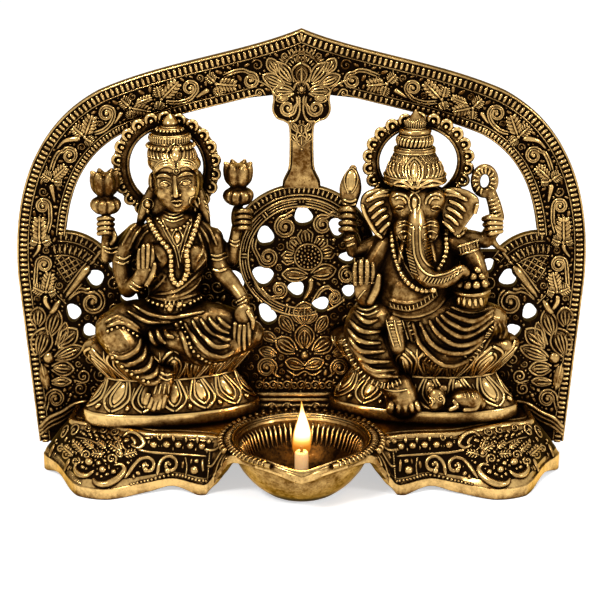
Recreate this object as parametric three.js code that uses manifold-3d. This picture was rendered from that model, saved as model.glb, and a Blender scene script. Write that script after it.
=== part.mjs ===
// Lakshmi and Ganesha oil lamp, cast in antique-gold metal, in millimetres.
// An arched openwork back panel is screwed to a shaped base that carries an oil bowl.
// Two seated figures on lotus plinths stand on the base's platform, and a wax stub with
// a cotton wick stands loose in the bowl.
// X runs to the right, Z up, and the lamp faces -Y. Inside the file the panel's front
// face is at y = 0 and the floor at z = 0; the whole group is then centred front to back.
import * as THREE from "three";
import { mergeVertices } from "three/addons/utils/BufferGeometryUtils.js";
import Module from "manifold-3d";

const wasm = await Module();
wasm.setup();

// Back panel
const PANEL_HALF_WIDTH = 140.2;
const PANEL_PEAK_Z = 218.3;
const PANEL_BOTTOM_Z = 6;
const PANEL_BOTTOM_HALF_WIDTH = 134;
const PANEL_THICKNESS = 5;
const SHOULDER_START_Z = 95.4;
const BAND_WIDTH = 23.5;
const RIM_WIDTH = 5.2;
const INNER_RIM_WIDTH = 4.2;
const FIELD_DEPTH = 0.8;
const FILL_TOP_Z = 108;
const MEDALLION_Z = 105;
const MEDALLION_R = 36.8;
const MEDALLION_RING = [26.5, 30.5];
const MEDALLION_REEDS = [33, 36.8];
const MEDALLION_RELIEF = 0.9;
const FAN_R = 28.2;
const FAN_BELOW_CORNER = 28.3;
const STEM_BOSS_HALF_WIDTH = 13.6;
const STEM_HALF_WIDTH = 5.5;
const STEM_FOOT_HALF_WIDTH = 9.5;

// Base casting
const PLATFORM_Z = 26;
const SHEET = 3;
const REAR_WALL = 3;
const REAR_STEP = 0.9;
const SKIRT_INSIDE_PANEL = 11.3;
const SKIRT_RUN_AT_END = 14.4;
const KERB_INSIDE_SKIRT = 22.9;
const EDGE_THICKNESS = 3.2;
const KERB_STEPS = [[5, 2.6], [3.2, 5], [1.8, 7.5]];

// Oil bowl
const SPOUT_TIP_FROM_CENTRE = 34.1;
const BOWL_CENTRE_Y = -43.8;
const BOWL_HALF_WIDTH = 31.8;
const BOWL_HALF_DEPTH = 28.1;
const BOWL_FLOOR_Z = 4.2;
const BOWL_FOOT_R = 15.5;
const SPOUT_REACH = 3;
const SPOUT_DROP = 2.6;
const SPOUT_SPREAD = 0.32;
const COLLAR_WIDTH = 7.4;
const COLLAR_LIP = 1.3;

// Figures
const LAKSHMI = { x: -64.8, y: -12.5, turn: 9.7, plinthA: 44, plinthB: 15.7 };
const GANESHA = { x: 61, y: -7.5, turn: -6.1, plinthA: 47.3, plinthB: 17.3 };
const PLINTH_HEIGHT = 44;

const SKIRT_HALF_WIDTH = PANEL_HALF_WIDTH - SKIRT_INSIDE_PANEL;
const PLATFORM_HALF_WIDTH = SKIRT_HALF_WIDTH - SKIRT_RUN_AT_END;
const KERB_HALF_WIDTH = SKIRT_HALF_WIDTH - KERB_INSIDE_SKIRT;
const SPOUT_TIP_Y = BOWL_CENTRE_Y - SPOUT_TIP_FROM_CENTRE;

// Fasteners and fits
const CLEAR = 0.3;
const SCREW_R = 2;
const SCREW_HEAD_R = 3.7;
const SCREW_HEAD = 2.2;
const BOSS_R = 4.6;
const BOSS_LENGTH = 7;
const PANEL_SCREW_Z = 15;
const PANEL_SCREW_X = [104, 40];
const PLINTH_SCREW_SPACING = 44;
const PLINTH_SCREW_DEPTH = 9;
const PLINTH_SCREW_FORWARD = 4.5;

// Wax stub and wick
const STUB_R = 3.3;
const STUB_HEIGHT = 20.5;
const STUB_Y = -53;
const WICK_R = 0.85;
const WICK_ABOVE = 3;
const STUB_TOP_Z = BOWL_FLOOR_Z + CLEAR + STUB_HEIGHT;

const UP = new THREE.Vector3(0, 0, 1);
const v3 = (x, y, z) => new THREE.Vector3(x, y, z);
const mirrorX = (p) => v3(-p.x, p.y, p.z);
const mix = THREE.MathUtils.lerp;
const rad = THREE.MathUtils.degToRad;

// A closed three.js geometry becomes a solid once its shared vertices are merged.
function solid(geometry) {
  const bare = new THREE.BufferGeometry();
  bare.setAttribute("position", geometry.getAttribute("position"));
  if (geometry.index) bare.setIndex(geometry.index);
  const merged = mergeVertices(bare, 1e-4);
  const vertProperties = new Float32Array(merged.getAttribute("position").array);
  const triVerts = new Uint32Array(merged.index.array);
  const made = new wasm.Manifold(new wasm.Mesh({ numProp: 3, vertProperties, triVerts }));
  return made;
}

// The cap of a ring is triangulated in the plane that the ring faces most.
function capFaces(ring) {
  const normal = v3(0, 0, 0);
  ring.forEach((p, i) => normal.add(p.clone().cross(ring[(i + 1) % ring.length])));
  const [ax, ay, az] = [Math.abs(normal.x), Math.abs(normal.y), Math.abs(normal.z)];
  let flat = (p) => new THREE.Vector2(p.x, p.y);
  if (ax >= ay && ax >= az) flat = (p) => new THREE.Vector2(p.y, p.z);
  else if (ay >= az) flat = (p) => new THREE.Vector2(p.z, p.x);
  const outline = ring.map(flat);
  const faces = THREE.ShapeUtils.triangulateShape(outline, []);
  return THREE.ShapeUtils.area(outline) < 0 ? faces.map(([a, b, c]) => [a, c, b]) : faces;
}

// Rings of equally many points are skinned into one closed body.
function loft(rings) {
  const n = rings[0].length;
  const points = rings.flat();
  const index = [];
  for (let r = 0; r < rings.length - 1; r += 1) {
    for (let i = 0; i < n; i += 1) {
      const [a, b] = [r * n + i, r * n + ((i + 1) % n)];
      index.push(a, b, b + n, a, b + n, a + n);
    }
  }
  const last = (rings.length - 1) * n;
  capFaces(rings[0]).forEach(([a, b, c]) => index.push(a, c, b));
  capFaces(rings.at(-1)).forEach(([a, b, c]) => index.push(last + a, last + b, last + c));
  const geometry = new THREE.BufferGeometry().setFromPoints(points);
  geometry.setIndex(index);
  return solid(outward(geometry));
}

// Faces are turned round when the body's signed volume is negative.
function outward(geometry) {
  const position = geometry.getAttribute("position");
  const index = [...geometry.index.array];
  const corner = (i) => new THREE.Vector3().fromBufferAttribute(position, index[i]);
  let volume = 0;
  for (let i = 0; i < index.length; i += 3) {
    volume += corner(i).dot(corner(i + 1).cross(corner(i + 2)));
  }
  if (volume < 0) {
    for (let i = 0; i < index.length; i += 3) {
      [index[i + 1], index[i + 2]] = [index[i + 2], index[i + 1]];
    }
  }
  geometry.setIndex(index);
  return geometry;
}

const union = (parts) => parts.reduce((sum, part) => sum.add(part));
const cut = (body, tools) => tools.reduce((rest, tool) => rest.subtract(tool), body);

// An upright plate: a shape drawn in X and Z, between the depths front and back.
function plate(points, front, back) {
  const shape = new THREE.Shape(points);
  const geometry = new THREE.ExtrudeGeometry(shape, { depth: back - front, bevelEnabled: false });
  geometry.rotateX(Math.PI / 2);
  geometry.translate(0, back, 0);
  return solid(geometry);
}

function ellipsePoints(x, z, a, b, sides, turn = 0) {
  return Array.from({ length: sides }, (_, i) => {
    const t = (i / sides) * 2 * Math.PI;
    const p = new THREE.Vector2(a * Math.cos(t), b * Math.sin(t));
    return p.rotateAround(new THREE.Vector2(0, 0), turn).add(new THREE.Vector2(x, z));
  });
}

function box(x0, x1, y0, y1, z0, z1) {
  const geometry = new THREE.BoxGeometry(x1 - x0, y1 - y0, z1 - z0);
  geometry.translate((x0 + x1) / 2, (y0 + y1) / 2, (z0 + z1) / 2);
  return solid(geometry);
}

// A round bar between two points.
function bar(from, to, radius, sides = 12) {
  const along = to.clone().sub(from);
  const geometry = new THREE.CylinderGeometry(radius, radius, along.length(), sides);
  const turn = new THREE.Quaternion().setFromUnitVectors(v3(0, 1, 0), along.clone().normalize());
  geometry.applyQuaternion(turn);
  geometry.translate(...from.clone().add(to).multiplyScalar(0.5).toArray());
  return solid(geometry);
}

// An ellipsoid, tipped in the X-Z plane by an angle in degrees.
function blob(x, y, z, rx, ry, rz, tip = 0, sides = 7, rows = 4) {
  const geometry = new THREE.SphereGeometry(1, sides, rows);
  geometry.rotateX(Math.PI / 2);
  geometry.scale(rx, ry, rz);
  geometry.rotateY(rad(tip));
  geometry.translate(x, y, z);
  return solid(geometry);
}

// A tapered limb with rounded ends through points [x, y, z, radius].
function limb(points, sides = 6, flat = 1) {
  const place = points.map(([x, y, z]) => v3(x, y, z));
  const along = place.map((p, i) => {
    const next = place[Math.min(i + 1, place.length - 1)];
    const before = place[Math.max(i - 1, 0)];
    return next.clone().sub(before).normalize();
  });
  const ring = (centre, axis, radius) => {
    const helper = Math.abs(axis.y) > 0.9 ? v3(1, 0, 0) : v3(0, 1, 0);
    const side = axis.clone().cross(helper).normalize();
    const front = side.clone().cross(axis).normalize();
    return Array.from({ length: sides }, (_, i) => {
      const t = (i / sides) * 2 * Math.PI;
      const out = side.clone().multiplyScalar(radius * Math.cos(t));
      return centre.clone().add(out).add(front.clone().multiplyScalar(radius * flat * Math.sin(t)));
    });
  };
  const rings = place.map((p, i) => ring(p, along[i], points[i][3]));
  const first = points[0][3];
  const end = points.at(-1)[3];
  rings.unshift(ring(place[0].clone().addScaledVector(along[0], -0.7 * first), along[0], 0.45 * first));
  rings.push(ring(place.at(-1).clone().addScaledVector(along.at(-1), 0.7 * end), along.at(-1), 0.45 * end));
  return loft(rings);
}

// A turned form with an oval plan: [z, half width, half depth, x, y] for each ring.
function oval(rings, sides = 8, scallops = 0, depth = 0) {
  return loft(rings.map(([z, a, b, x = 0, y = 0]) => Array.from({ length: sides }, (_, i) => {
    const t = (i / sides) * 2 * Math.PI;
    const swell = 1 + depth * Math.cos(scallops * t);
    return v3(x + a * swell * Math.cos(t), y + b * swell * Math.sin(t), z);
  })));
}

// A flat ring standing upright, such as a halo.
function halo(x, y, z, outerX, outerZ, innerX, innerZ, thickness, outerSides = 20, innerSides = 16) {
  const outer = plate(ellipsePoints(x, z, outerX, outerZ, outerSides), y - thickness / 2, y + thickness / 2);
  const hole = plate(ellipsePoints(x, z, innerX, innerZ, innerSides), y - thickness, y + thickness);
  return outer.subtract(hole);
}

// Panel outline
function panelOutline() {
  const shoulder = new THREE.CubicBezierCurve(
    new THREE.Vector2(PANEL_HALF_WIDTH, SHOULDER_START_Z),
    new THREE.Vector2(PANEL_HALF_WIDTH + 0.7, SHOULDER_START_Z + 35.8),
    new THREE.Vector2(PANEL_HALF_WIDTH - 7.1, PANEL_PEAK_Z - 49.1),
    new THREE.Vector2(PANEL_HALF_WIDTH - 42.6, PANEL_PEAK_Z - 29.9),
  );
  const slope = new THREE.CubicBezierCurve(
    new THREE.Vector2(PANEL_HALF_WIDTH - 42.6, PANEL_PEAK_Z - 29.9),
    new THREE.Vector2(0.475 * PANEL_HALF_WIDTH, PANEL_PEAK_Z - 15.9),
    new THREE.Vector2(0.188 * PANEL_HALF_WIDTH, PANEL_PEAK_Z - 11.4),
    new THREE.Vector2(0, PANEL_PEAK_Z),
  );
  const right = [new THREE.Vector2(PANEL_BOTTOM_HALF_WIDTH, PANEL_BOTTOM_Z)];
  right.push(...shoulder.getPoints(14), ...slope.getPoints(10).slice(1));
  const left = right.slice(0, -1).reverse().map((p) => new THREE.Vector2(-p.x, p.y));
  return [...right, ...left];
}

// A closed outline moved inwards by a distance, each corner along its bisector.
function inset(points, distance) {
  return points.map((p, i) => {
    const before = p.clone().sub(points.at(i - 1)).normalize();
    const after = points[(i + 1) % points.length].clone().sub(p).normalize();
    const normal = new THREE.Vector2(-before.y, before.x).add(new THREE.Vector2(-after.y, after.x));
    const half = normal.length() / 2;
    return p.clone().add(normal.normalize().multiplyScalar(distance / half));
  });
}

// Openings in the casting: [x, z, width, height, tilt in degrees]. The first list is
// round the central flower, from the medallion's middle. The second is mirrored, and
// is placed from the middle of the side fan.
const MEDALLION_HOLES = [
  [0.9, 21.2, 9.3, 9.4, 0],
  [-17.7, 11, 7.9, 10.5, 0],
  [17.5, 15.5, 8, 10, 0],
  [22.5, 0, 8, 6.3, 0],
  [-19.1, -9.7, 10.4, 10.4, 20],
  [-2.7, -16.6, 8.4, 8.4, 0],
  [9.6, -24.7, 8.4, 7.9, 0],
  [23.5, -17.8, 7, 7.3, 0],
  [-17.1, -30, 8, 11.5, 30],
  [31.5, -11.6, 5.5, 10.5, -25],
  [-31.5, -11.6, 5.5, 10.5, 25],
];
const FAN_HOLES = [
  [-15.7, 4, 9, 9.2, 0],
  [-4.3, -14, 7.5, 9.2, 0],
  [-12, -24, 7, 8.4, 0],
  [-32.6, -6, 8.4, 8.4, 0],
  [-25.7, 11, 5.9, 7.3, 0],
];

function panelHoles() {
  const [fanX, fanZ] = fanCentre();
  const hole = (x, z, w, h, tilt) => (
    plate(ellipsePoints(x, z, w / 2, h / 2, 8, rad(tilt)), -2, PANEL_THICKNESS + 1)
  );
  const round = MEDALLION_HOLES.map(([x, z, w, h, tilt]) => hole(x, MEDALLION_Z + z, w, h, tilt));
  const beside = [-1, 1].flatMap((side) => (
    FAN_HOLES.map(([x, z, w, h, tilt]) => hole(side * (fanX + x), fanZ + z, w, h, side * tilt))
  ));
  return [...round, ...beside];
}

// The stem that hangs from the arch to the medallion, as the right half of its outline.
function stemOutline() {
  const top = PANEL_PEAK_Z - BAND_WIDTH;
  const foot = MEDALLION_Z + MEDALLION_R - 4;
  const half = [
    [STEM_FOOT_HALF_WIDTH, 0],
    [STEM_FOOT_HALF_WIDTH - 0.6, 0.105],
    [STEM_HALF_WIDTH, 0.263],
    [STEM_HALF_WIDTH, 0.579],
    [STEM_HALF_WIDTH + 2.4, 0.64],
    [STEM_BOSS_HALF_WIDTH - 2, 0.667],
    [STEM_BOSS_HALF_WIDTH, 0.737],
    [STEM_BOSS_HALF_WIDTH - 0.5, 0.842],
    [STEM_BOSS_HALF_WIDTH + 9, 1],
  ].map(([x, share]) => new THREE.Vector2(x, mix(foot, top, share)));
  return [...half, ...[...half].reverse().map((p) => new THREE.Vector2(-p.x, p.y))];
}

function fanCentre() {
  const cornerX = PANEL_HALF_WIDTH - BAND_WIDTH;
  return [cornerX + 1.3, FILL_TOP_Z + 10.3 - FAN_BELOW_CORNER];
}

function backPanel() {
  const outline = panelOutline();
  const back = PANEL_THICKNESS;
  const body = plate(outline, 0, back);
  const inside = plate(inset(outline, BAND_WIDTH), -1, back + 1);
  const [fanX, fanZ] = fanCentre();
  const fans = [-1, 1].map((side) => (
    plate(ellipsePoints(side * fanX, fanZ, FAN_R, FAN_R, 40), -2, back + 2)
  ));
  const kept = union([
    plate(stemOutline(), -2, back + 2),
    plate(ellipsePoints(0, MEDALLION_Z, MEDALLION_R, MEDALLION_R, 40), -2, back + 2),
    box(-PANEL_HALF_WIDTH, PANEL_HALF_WIDTH, -2, back + 2, 0, FILL_TOP_Z),
    ...fans,
  ]);
  const windows = inside.subtract(kept);
  const rim = inset(outline, RIM_WIDTH);
  const innerRim = inset(outline, BAND_WIDTH - INNER_RIM_WIDTH);
  const field = plate(rim, -1, FIELD_DEPTH).subtract(plate(innerRim, -2, FIELD_DEPTH + 1));
  const ringPlate = (r0, r1) => {
    const outer = ellipsePoints(0, MEDALLION_Z, r1, r1, 40);
    const inner = ellipsePoints(0, MEDALLION_Z, r0, r0, 40);
    return plate(outer, -MEDALLION_RELIEF, 1).subtract(plate(inner, -2, 2));
  };
  const arcTop = box(-60, 60, -3, 3, MEDALLION_Z + 26, PANEL_PEAK_Z);
  const rings = [ringPlate(...MEDALLION_RING), ringPlate(...MEDALLION_REEDS).intersect(arcTop)];
  const screws = panelScrewPlaces().map(([x, z]) => (
    bar(v3(x, -1, z), v3(x, back + 1, z), SCREW_R + CLEAR)
  ));
  return cut(union([cut(body, [windows, field]), ...rings]), [...panelHoles(), ...screws]);
}

function panelScrewPlaces() {
  return PANEL_SCREW_X.flatMap((x) => [[-x, PANEL_SCREW_Z], [x, PANEL_SCREW_Z]]);
}

// Stations of the base's edge from the spout round to the rear, on one side:
// the point of the edge's top, how deep the bright edge is, and the point
// above it where the skirt leaves the platform.
function baseStations() {
  const end = SKIRT_HALF_WIDTH;
  const bowl = BOWL_HALF_WIDTH;
  const tip = SPOUT_TIP_Y;
  const top = PLATFORM_Z;
  const wide = PLATFORM_HALF_WIDTH;
  const crest = bowl + 7.3;
  const corner = bowl + 14.8;
  const wing = (share) => mix(corner, end - 22.4, share);
  const station = (x, y, z, depth, browX, browY) => (
    { edge: v3(x, y, z), depth: Math.min(depth, z), brow: v3(browX, browY, top) }
  );
  const toFloor = top;
  return [
    station(0, tip, top - 3, 4, 0, -46),
    station(5.8, tip + 0.9, top - 1.5, 4, 5, -46),
    station(11.7, tip + 4.6, top - 0.5, 4, 10, -46),
    station(0.75 * bowl, tip + 11.3, top + 0.5, 4, 0.63 * bowl, -46),
    station(bowl + 1.8, tip + 17.9, top, 4.5, bowl - 1.8, -47),
    station(crest, tip + 24, top - 9, 4.5, bowl + 3.7, -45),
    station(crest + 4.8, tip + 28.1, top - 17.5, 5, bowl + 7.2, -42),
    station(corner, tip + 27.5, top - 20, toFloor, bowl + 10.7, -39.8),
    station(corner + 3.9, tip + 27.3, top - 19.7, toFloor, bowl + 15.2, -38.2),
    station(wing(0.267), tip + 31.3, top - 18.5, 4.5, wing(0.19), -36.6),
    station(wing(0.467), tip + 28.7, top - 19.4, 5.5, wing(0.48), -35.2),
    station(wing(0.773), tip + 22.2, top - 20, toFloor, wing(0.698), -29.7),
    station(end - 22.4, tip + 25, top - 20, toFloor, wide - 13, -24.3),
    station(end - 16.3, tip + 31.5, top - 19.7, 6, wide - 6.5, -22.8),
    station(end - 8.3, tip + 47.2, top - 18.5, 5, wide - 1.2, -20.5),
    station(end - 0.6, tip + 56.4, top - 17.5, toFloor, wide, -16.5),
    station(end, tip + 61.6, top - 17.5, toFloor, wide, -12),
    station(end - 3.3, tip + 71.3, top - 17.5, 6, wide - 0.5, -6),
    station(end - 4.4, -CLEAR, top - 17.5, 6, wide - 1, -CLEAR),
  ];
}

// A smooth run through stations, two steps to each.
function smoothRun(points, kind = 0.5) {
  const curve = new THREE.CatmullRomCurve3(points, false, "catmullrom", kind);
  const steps = 2 * (points.length - 1);
  return Array.from({ length: steps + 1 }, (_, i) => curve.getPoint(i / steps));
}

// The sheet of the base: platform, sloping skirt and bright edge, open underneath.
function baseSheet() {
  const stations = baseStations();
  const bothSides = (points) => {
    const right = smoothRun(points);
    return [...right.slice(1).reverse().map(mirrorX), ...right];
  };
  const edge = bothSides(stations.map((s) => s.edge));
  const rearEnd = PLATFORM_HALF_WIDTH - 7.5;
  const firstPast = stations.findIndex((s) => s.brow.x > rearEnd);
  const rearLine = bothSides(stations.map((s, i) => (
    v3(Math.min(s.brow.x, rearEnd) + REAR_STEP * Math.max(i - firstPast, 0), -CLEAR, PLATFORM_Z)
  )));
  const brow = bothSides(stations.map((s) => s.brow));
  const depth = bothSides(stations.map((s) => v3(0, 0, s.depth)));
  const count = edge.length - 1;
  const inward = edge.map((p, i) => {
    const run = edge[Math.min(i + 1, count)].clone().sub(edge[Math.max(i - 1, 0)]);
    const atRear = i === 0 || i === count;
    return atRear ? v3(-Math.sign(p.x), 0, 0) : v3(-run.y, run.x, 0).normalize();
  });
  const rings = edge.map((p, i) => {
    const b = brow[i];
    const rear = rearLine[i];
    const slope = p.clone().lerp(b, 0.5);
    slope.z += 0.6;
    const floorGap = Math.max(p.z - depth[i].z, 0);
    const under = (point, inset, drop) => point.clone().addScaledVector(inward[i], inset)
      .addScaledVector(UP, -drop);
    const edgeInner = under(p, EDGE_THICKNESS, 0).setZ(floorGap);
    return [
      rear,
      b,
      slope,
      p,
      p.clone().setZ(floorGap),
      edgeInner,
      under(slope, 0.6 * SHEET, 0.8 * SHEET),
      under(b, 0.3 * SHEET, SHEET),
      rear.clone().setZ(PLATFORM_Z - SHEET),
    ];
  });
  return loft(rings);
}

// Rings of the bowl: an oval with a pouring spout at the front.
function bowlRing(scale, z, grow = 0, spout = 1, sides = 32) {
  return Array.from({ length: sides }, (_, i) => {
    const t = (i / sides) * 2 * Math.PI;
    const fromFront = Math.abs(THREE.MathUtils.euclideanModulo(t + Math.PI, 2 * Math.PI) - Math.PI);
    const pull = spout * Math.exp(-((fromFront / SPOUT_SPREAD) ** 2));
    const x = (BOWL_HALF_WIDTH * scale + grow) * Math.sin(t);
    const y = -(BOWL_HALF_DEPTH * scale + grow) * Math.cos(t) - SPOUT_REACH * pull;
    return v3(x, BOWL_CENTRE_Y + y, z - SPOUT_DROP * pull);
  });
}

function bowlShell() {
  const foot = BOWL_FOOT_R / BOWL_HALF_WIDTH;
  const wall = [[foot, 0], [foot + 0.06, 0.045], [0.72, 0.21], [0.87, 0.42], [0.98, 0.635], [1.05, 0.79]];
  const rings = wall.map(([scale, share]) => bowlRing(scale, share * PLATFORM_Z, 0, 0));
  const rim = bowlRing(1.06, PLATFORM_Z, 0.6, 1);
  return loft([...rings, bowlRing(1.06, 0.9 * PLATFORM_Z, 0.6, 0.8), rim]);
}

function bowlHollow() {
  const wall = [[0.46, 0], [0.54, 0.055], [0.67, 0.22], [0.8, 0.45], [0.9, 0.68], [0.955, 0.86]];
  const rings = wall.map(([scale, share]) => (
    bowlRing(scale, mix(BOWL_FLOOR_Z, PLATFORM_Z, share), 0, share > 0.5 ? 0.5 : 0)
  ));
  const lip = PLATFORM_Z + COLLAR_LIP;
  return loft([...rings, bowlRing(1, lip, 0, 1), bowlRing(1, lip + 12, 0, 1)]);
}

// The collar round the rim: a bead along the inner edge and a low outer step.
function bowlCollar() {
  const lip = loft([
    bowlRing(1, PLATFORM_Z - 1.5, 2.6, 1),
    bowlRing(1, PLATFORM_Z + 0.9, 2.6, 1),
    bowlRing(1, PLATFORM_Z + COLLAR_LIP, 1.6, 1),
  ]);
  const step = loft([
    bowlRing(1, PLATFORM_Z - 1.5, COLLAR_WIDTH, 0),
    bowlRing(1, PLATFORM_Z + 0.5, COLLAR_WIDTH - 0.8, 0),
  ]);
  const behind = box(-60, 60, BOWL_CENTRE_Y - 4, 0, 0, 60);
  return lip.add(step.intersect(behind));
}

// The stepped moulding along the rear of the platform.
function rearKerb() {
  const steps = KERB_STEPS.map(([depth, height]) => (
    box(-KERB_HALF_WIDTH, KERB_HALF_WIDTH, -CLEAR - depth, -CLEAR, PLATFORM_Z - 1, PLATFORM_Z + height)
  ));
  return union(steps);
}

// The rear wall stands on the floor and closes the back of the hollow underneath.
function rearWall() {
  const end = SKIRT_HALF_WIDTH - 4.4;
  const half = [[end, 0], [end, PLATFORM_Z - 17.5], [PLATFORM_HALF_WIDTH - 1, PLATFORM_Z - 0.5]];
  const right = half.map(([x, z]) => new THREE.Vector2(x, z));
  const left = [...right].reverse().map((p) => new THREE.Vector2(-p.x, p.y));
  return plate([...right, ...left], -CLEAR - REAR_WALL, -CLEAR);
}

function plinthScrewPlaces(figure) {
  const turn = rad(figure.turn);
  return [-1, 1].map((side) => {
    const along = (side * PLINTH_SCREW_SPACING) / 2;
    return [figure.x + along * Math.cos(turn), figure.y - PLINTH_SCREW_FORWARD + along * Math.sin(turn)];
  });
}

// The collar and the spout's flare stop where a plinth stands.
function plinthSeat(figure) {
  const [a, b] = [figure.plinthA + CLEAR, figure.plinthB + CLEAR];
  const room = oval([[PLATFORM_Z, a, b], [PLATFORM_Z + 12, a, b]], 32).rotate([0, 0, figure.turn]);
  const kerbFront = -CLEAR - KERB_STEPS[0][0];
  return room.translate([figure.x, figure.y, 0]).intersect(box(-400, 400, -200, kerbFront, 0, 80));
}

function baseTray() {
  const wallInner = -CLEAR - REAR_WALL;
  const bosses = panelScrewPlaces().map(([x, z]) => (
    bar(v3(x, wallInner - BOSS_LENGTH, z), v3(x, wallInner + 1, z), BOSS_R)
  ));
  const body = union([baseSheet(), rearWall(), rearKerb(), bowlShell(), bowlCollar(), ...bosses]);
  const tapped = panelScrewPlaces().map(([x, z]) => (
    bar(v3(x, wallInner - BOSS_LENGTH + 1.2, z), v3(x, 1, z), SCREW_R + CLEAR)
  ));
  const through = [LAKSHMI, GANESHA].flatMap(plinthScrewPlaces).map(([x, y]) => (
    bar(v3(x, y, PLATFORM_Z - SHEET - 4), v3(x, y, PLATFORM_Z + 2), SCREW_R + CLEAR)
  ));
  const seats = [LAKSHMI, GANESHA].map(plinthSeat);
  return cut(body, [bowlHollow(), ...tapped, ...through, ...seats]);
}

// The lotus plinth: a plain ledge, a lower tier of turned-down petals, a waist and an
// upper tier of turned-up petals, oval in plan.
function lotusPlinth(figure) {
  const { plinthA: a, plinthB: b } = figure;
  const petals = 12;
  const ledge = oval([[0, a, b], [6.4, a, b], [7.2, a - 1, b - 1]], 28);
  const lower = oval([
    [6.8, a - 1.4, b - 1.2],
    [17.5, a - 9, b - 4],
    [23, a - 11.5, b - 5],
  ], 2 * petals, petals, 0.014);
  const upper = oval([
    [22.5, a - 11.5, b - 5],
    [34, a - 3.5, b - 0.5],
    [38, a - 1.2, b + 0.6],
    [41.5, a - 2.6, b - 0.4],
    [PLINTH_HEIGHT, a - 7, b - 3],
  ], 2 * petals, petals, 0.014);
  const plinth = union([ledge, lower, upper]);
  return plinth.rotate([0, 0, figure.turn]);
}

// Lakshmi sits at ease with her right knee out and that foot on a bud of the plinth.
// All places are from the middle of the plinth's underside.
function lakshmiBody() {
  const torso = oval([
    [42, 17, 11, 2, -3],
    [50, 17, 10.5, 2, -3],
    [60, 12.5, 8.6, 2.5, -3],
    [68, 11, 7.8, 2.8, -3.5],
    [78, 13, 8.6, 3, -3.5],
    [90, 16.4, 9, 3.6, -3],
    [96.5, 16.6, 7.8, 4.3, -2],
    [100.5, 10, 6, 4.4, -1.5],
  ], 10);
  const bust = [blob(-3.6, -9.5, 88, 6.2, 5.2, 6.2), blob(12.5, -9.5, 87.6, 6.2, 5.2, 6.2)];
  const neck = limb([[4.3, -1.5, 98, 4.6], [5.2, -2.5, 113, 4.4]]);
  const hair = blob(4.4, 0.6, 121, 12, 8.4, 12.6);
  const locks = [limb([[-6.6, 1.2, 117, 4], [-12, 1.2, 108, 4.2], [-15, 1, 97, 3]]),
    limb([[14, 1.2, 116, 4], [18, 1.2, 106, 4.2], [20, 1, 95, 3]])];
  const head = blob(5.6, -4.5, 122.2, 10, 9, 13, 0, 8, 5);
  const nose = limb([[5.8, -12.8, 124.6, 1.1], [5.8, -14.2, 118.6, 1.6]], 4);
  const ears = [blob(-6.2, -1, 121.6, 2.6, 3.2, 5), blob(15.6, -1, 122.4, 2.4, 3.2, 5)];
  const earrings = [blob(-8.2, -1.5, 112.4, 3.4, 3, 3.8), blob(14.6, -1.5, 113.6, 3.4, 3, 3.8)];
  const crown = oval([
    [130, 11, 9.6, 4, -3],
    [133.6, 12.4, 10.4, 3.8, -2.7],
    [140, 10.4, 8.4, 3, -1.4],
    [141.6, 11, 8.8, 2.9, -1],
    [143.2, 9.8, 7.8, 2.7, -0.7],
    [144, 11.2, 8.9, 2.6, -0.4],
    [146.6, 11, 8.8, 2.6, -0.2],
    [147.2, 6.6, 5.8, 2.5, 0.2],
    [149.4, 6.2, 5.4, 2.5, 0.5],
    [151.4, 4.2, 3.9, 2.5, 1],
    [154.4, 1.2, 1.2, 2.5, 1.6],
  ]);
  const crownLeaf = blob(5.6, -11.4, 137, 3.4, 2.2, 5.4);
  return [torso, ...bust, neck, hair, ...locks, head, nose, ...ears, ...earrings, crown, crownLeaf];
}

function lakshmiArms() {
  return [
    limb([[-14.5, -2.4, 97, 5.6], [-22.5, -4, 83, 5.4], [-18.6, -9, 69.5, 5]]),
    limb([[-18.6, -9, 69.5, 4.8], [-13.8, -14.4, 76.5, 4], [-12, -16, 80.5, 3.4]]),
    blob(-11.4, -16.6, 86, 4.9, 2.3, 7.2, 4),
    limb([[-13.6, -16.6, 89, 1.7], [-13.2, -16.4, 96.6, 1.4]], 5),
    limb([[-10, -16.6, 89, 1.9], [-9.4, -16.4, 97, 1.5]], 5),
    limb([[-15, 0.5, 96, 5], [-24.5, 0.5, 88, 4.4], [-29.4, -0.5, 83.5, 4]]),
    limb([[-29.4, -0.5, 83.5, 3.9], [-28.9, -1.6, 91, 3], [-28.8, -2.4, 96, 2.8]]),
    blob(-28.9, -2.8, 100, 4.2, 3.8, 7),
    limb([[22.4, -1.2, 93.5, 5.6], [24, -3.6, 80, 5.2], [31.4, -7, 71.6, 4.6]]),
    limb([[31.4, -7, 71.6, 4.4], [36, -11.6, 66.6, 3.6], [37, -14, 62, 3.4]]),
    blob(37.8, -16.6, 55.5, 5.2, 2.6, 7, 8),
    limb([[35.6, -18, 51, 2.2], [35, -18.8, 43.6, 1.6]], 5),
    limb([[38.8, -17.6, 51, 2.2], [38.4, -18.6, 44.4, 1.6]], 5),
    limb([[20, 1.2, 94, 5], [26.6, 0.8, 86.6, 4.4], [30.5, 0.5, 82, 4]]),
    limb([[30.5, 0.5, 82, 3.9], [32.4, -0.4, 92, 3], [33.6, -1, 99, 2.8]]),
    blob(34.6, -1.5, 104, 4.2, 3.8, 7),
  ];
}

// A lotus bud on its round bulb, held upright in a rear hand. Height z is the bulb's middle.
function lotusBud(x, y, z) {
  return oval([
    [z - 5.2, 3, 3, x, y],
    [z - 0.6, 6.9, 5.4, x, y],
    [z + 4.2, 3, 3, x, y],
    [z + 8, 6, 5.4, x, y],
    [z + 14, 6.6, 5.6, x, y],
    [z + 16, 4.4, 3.8, x, y],
  ], 7);
}

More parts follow.
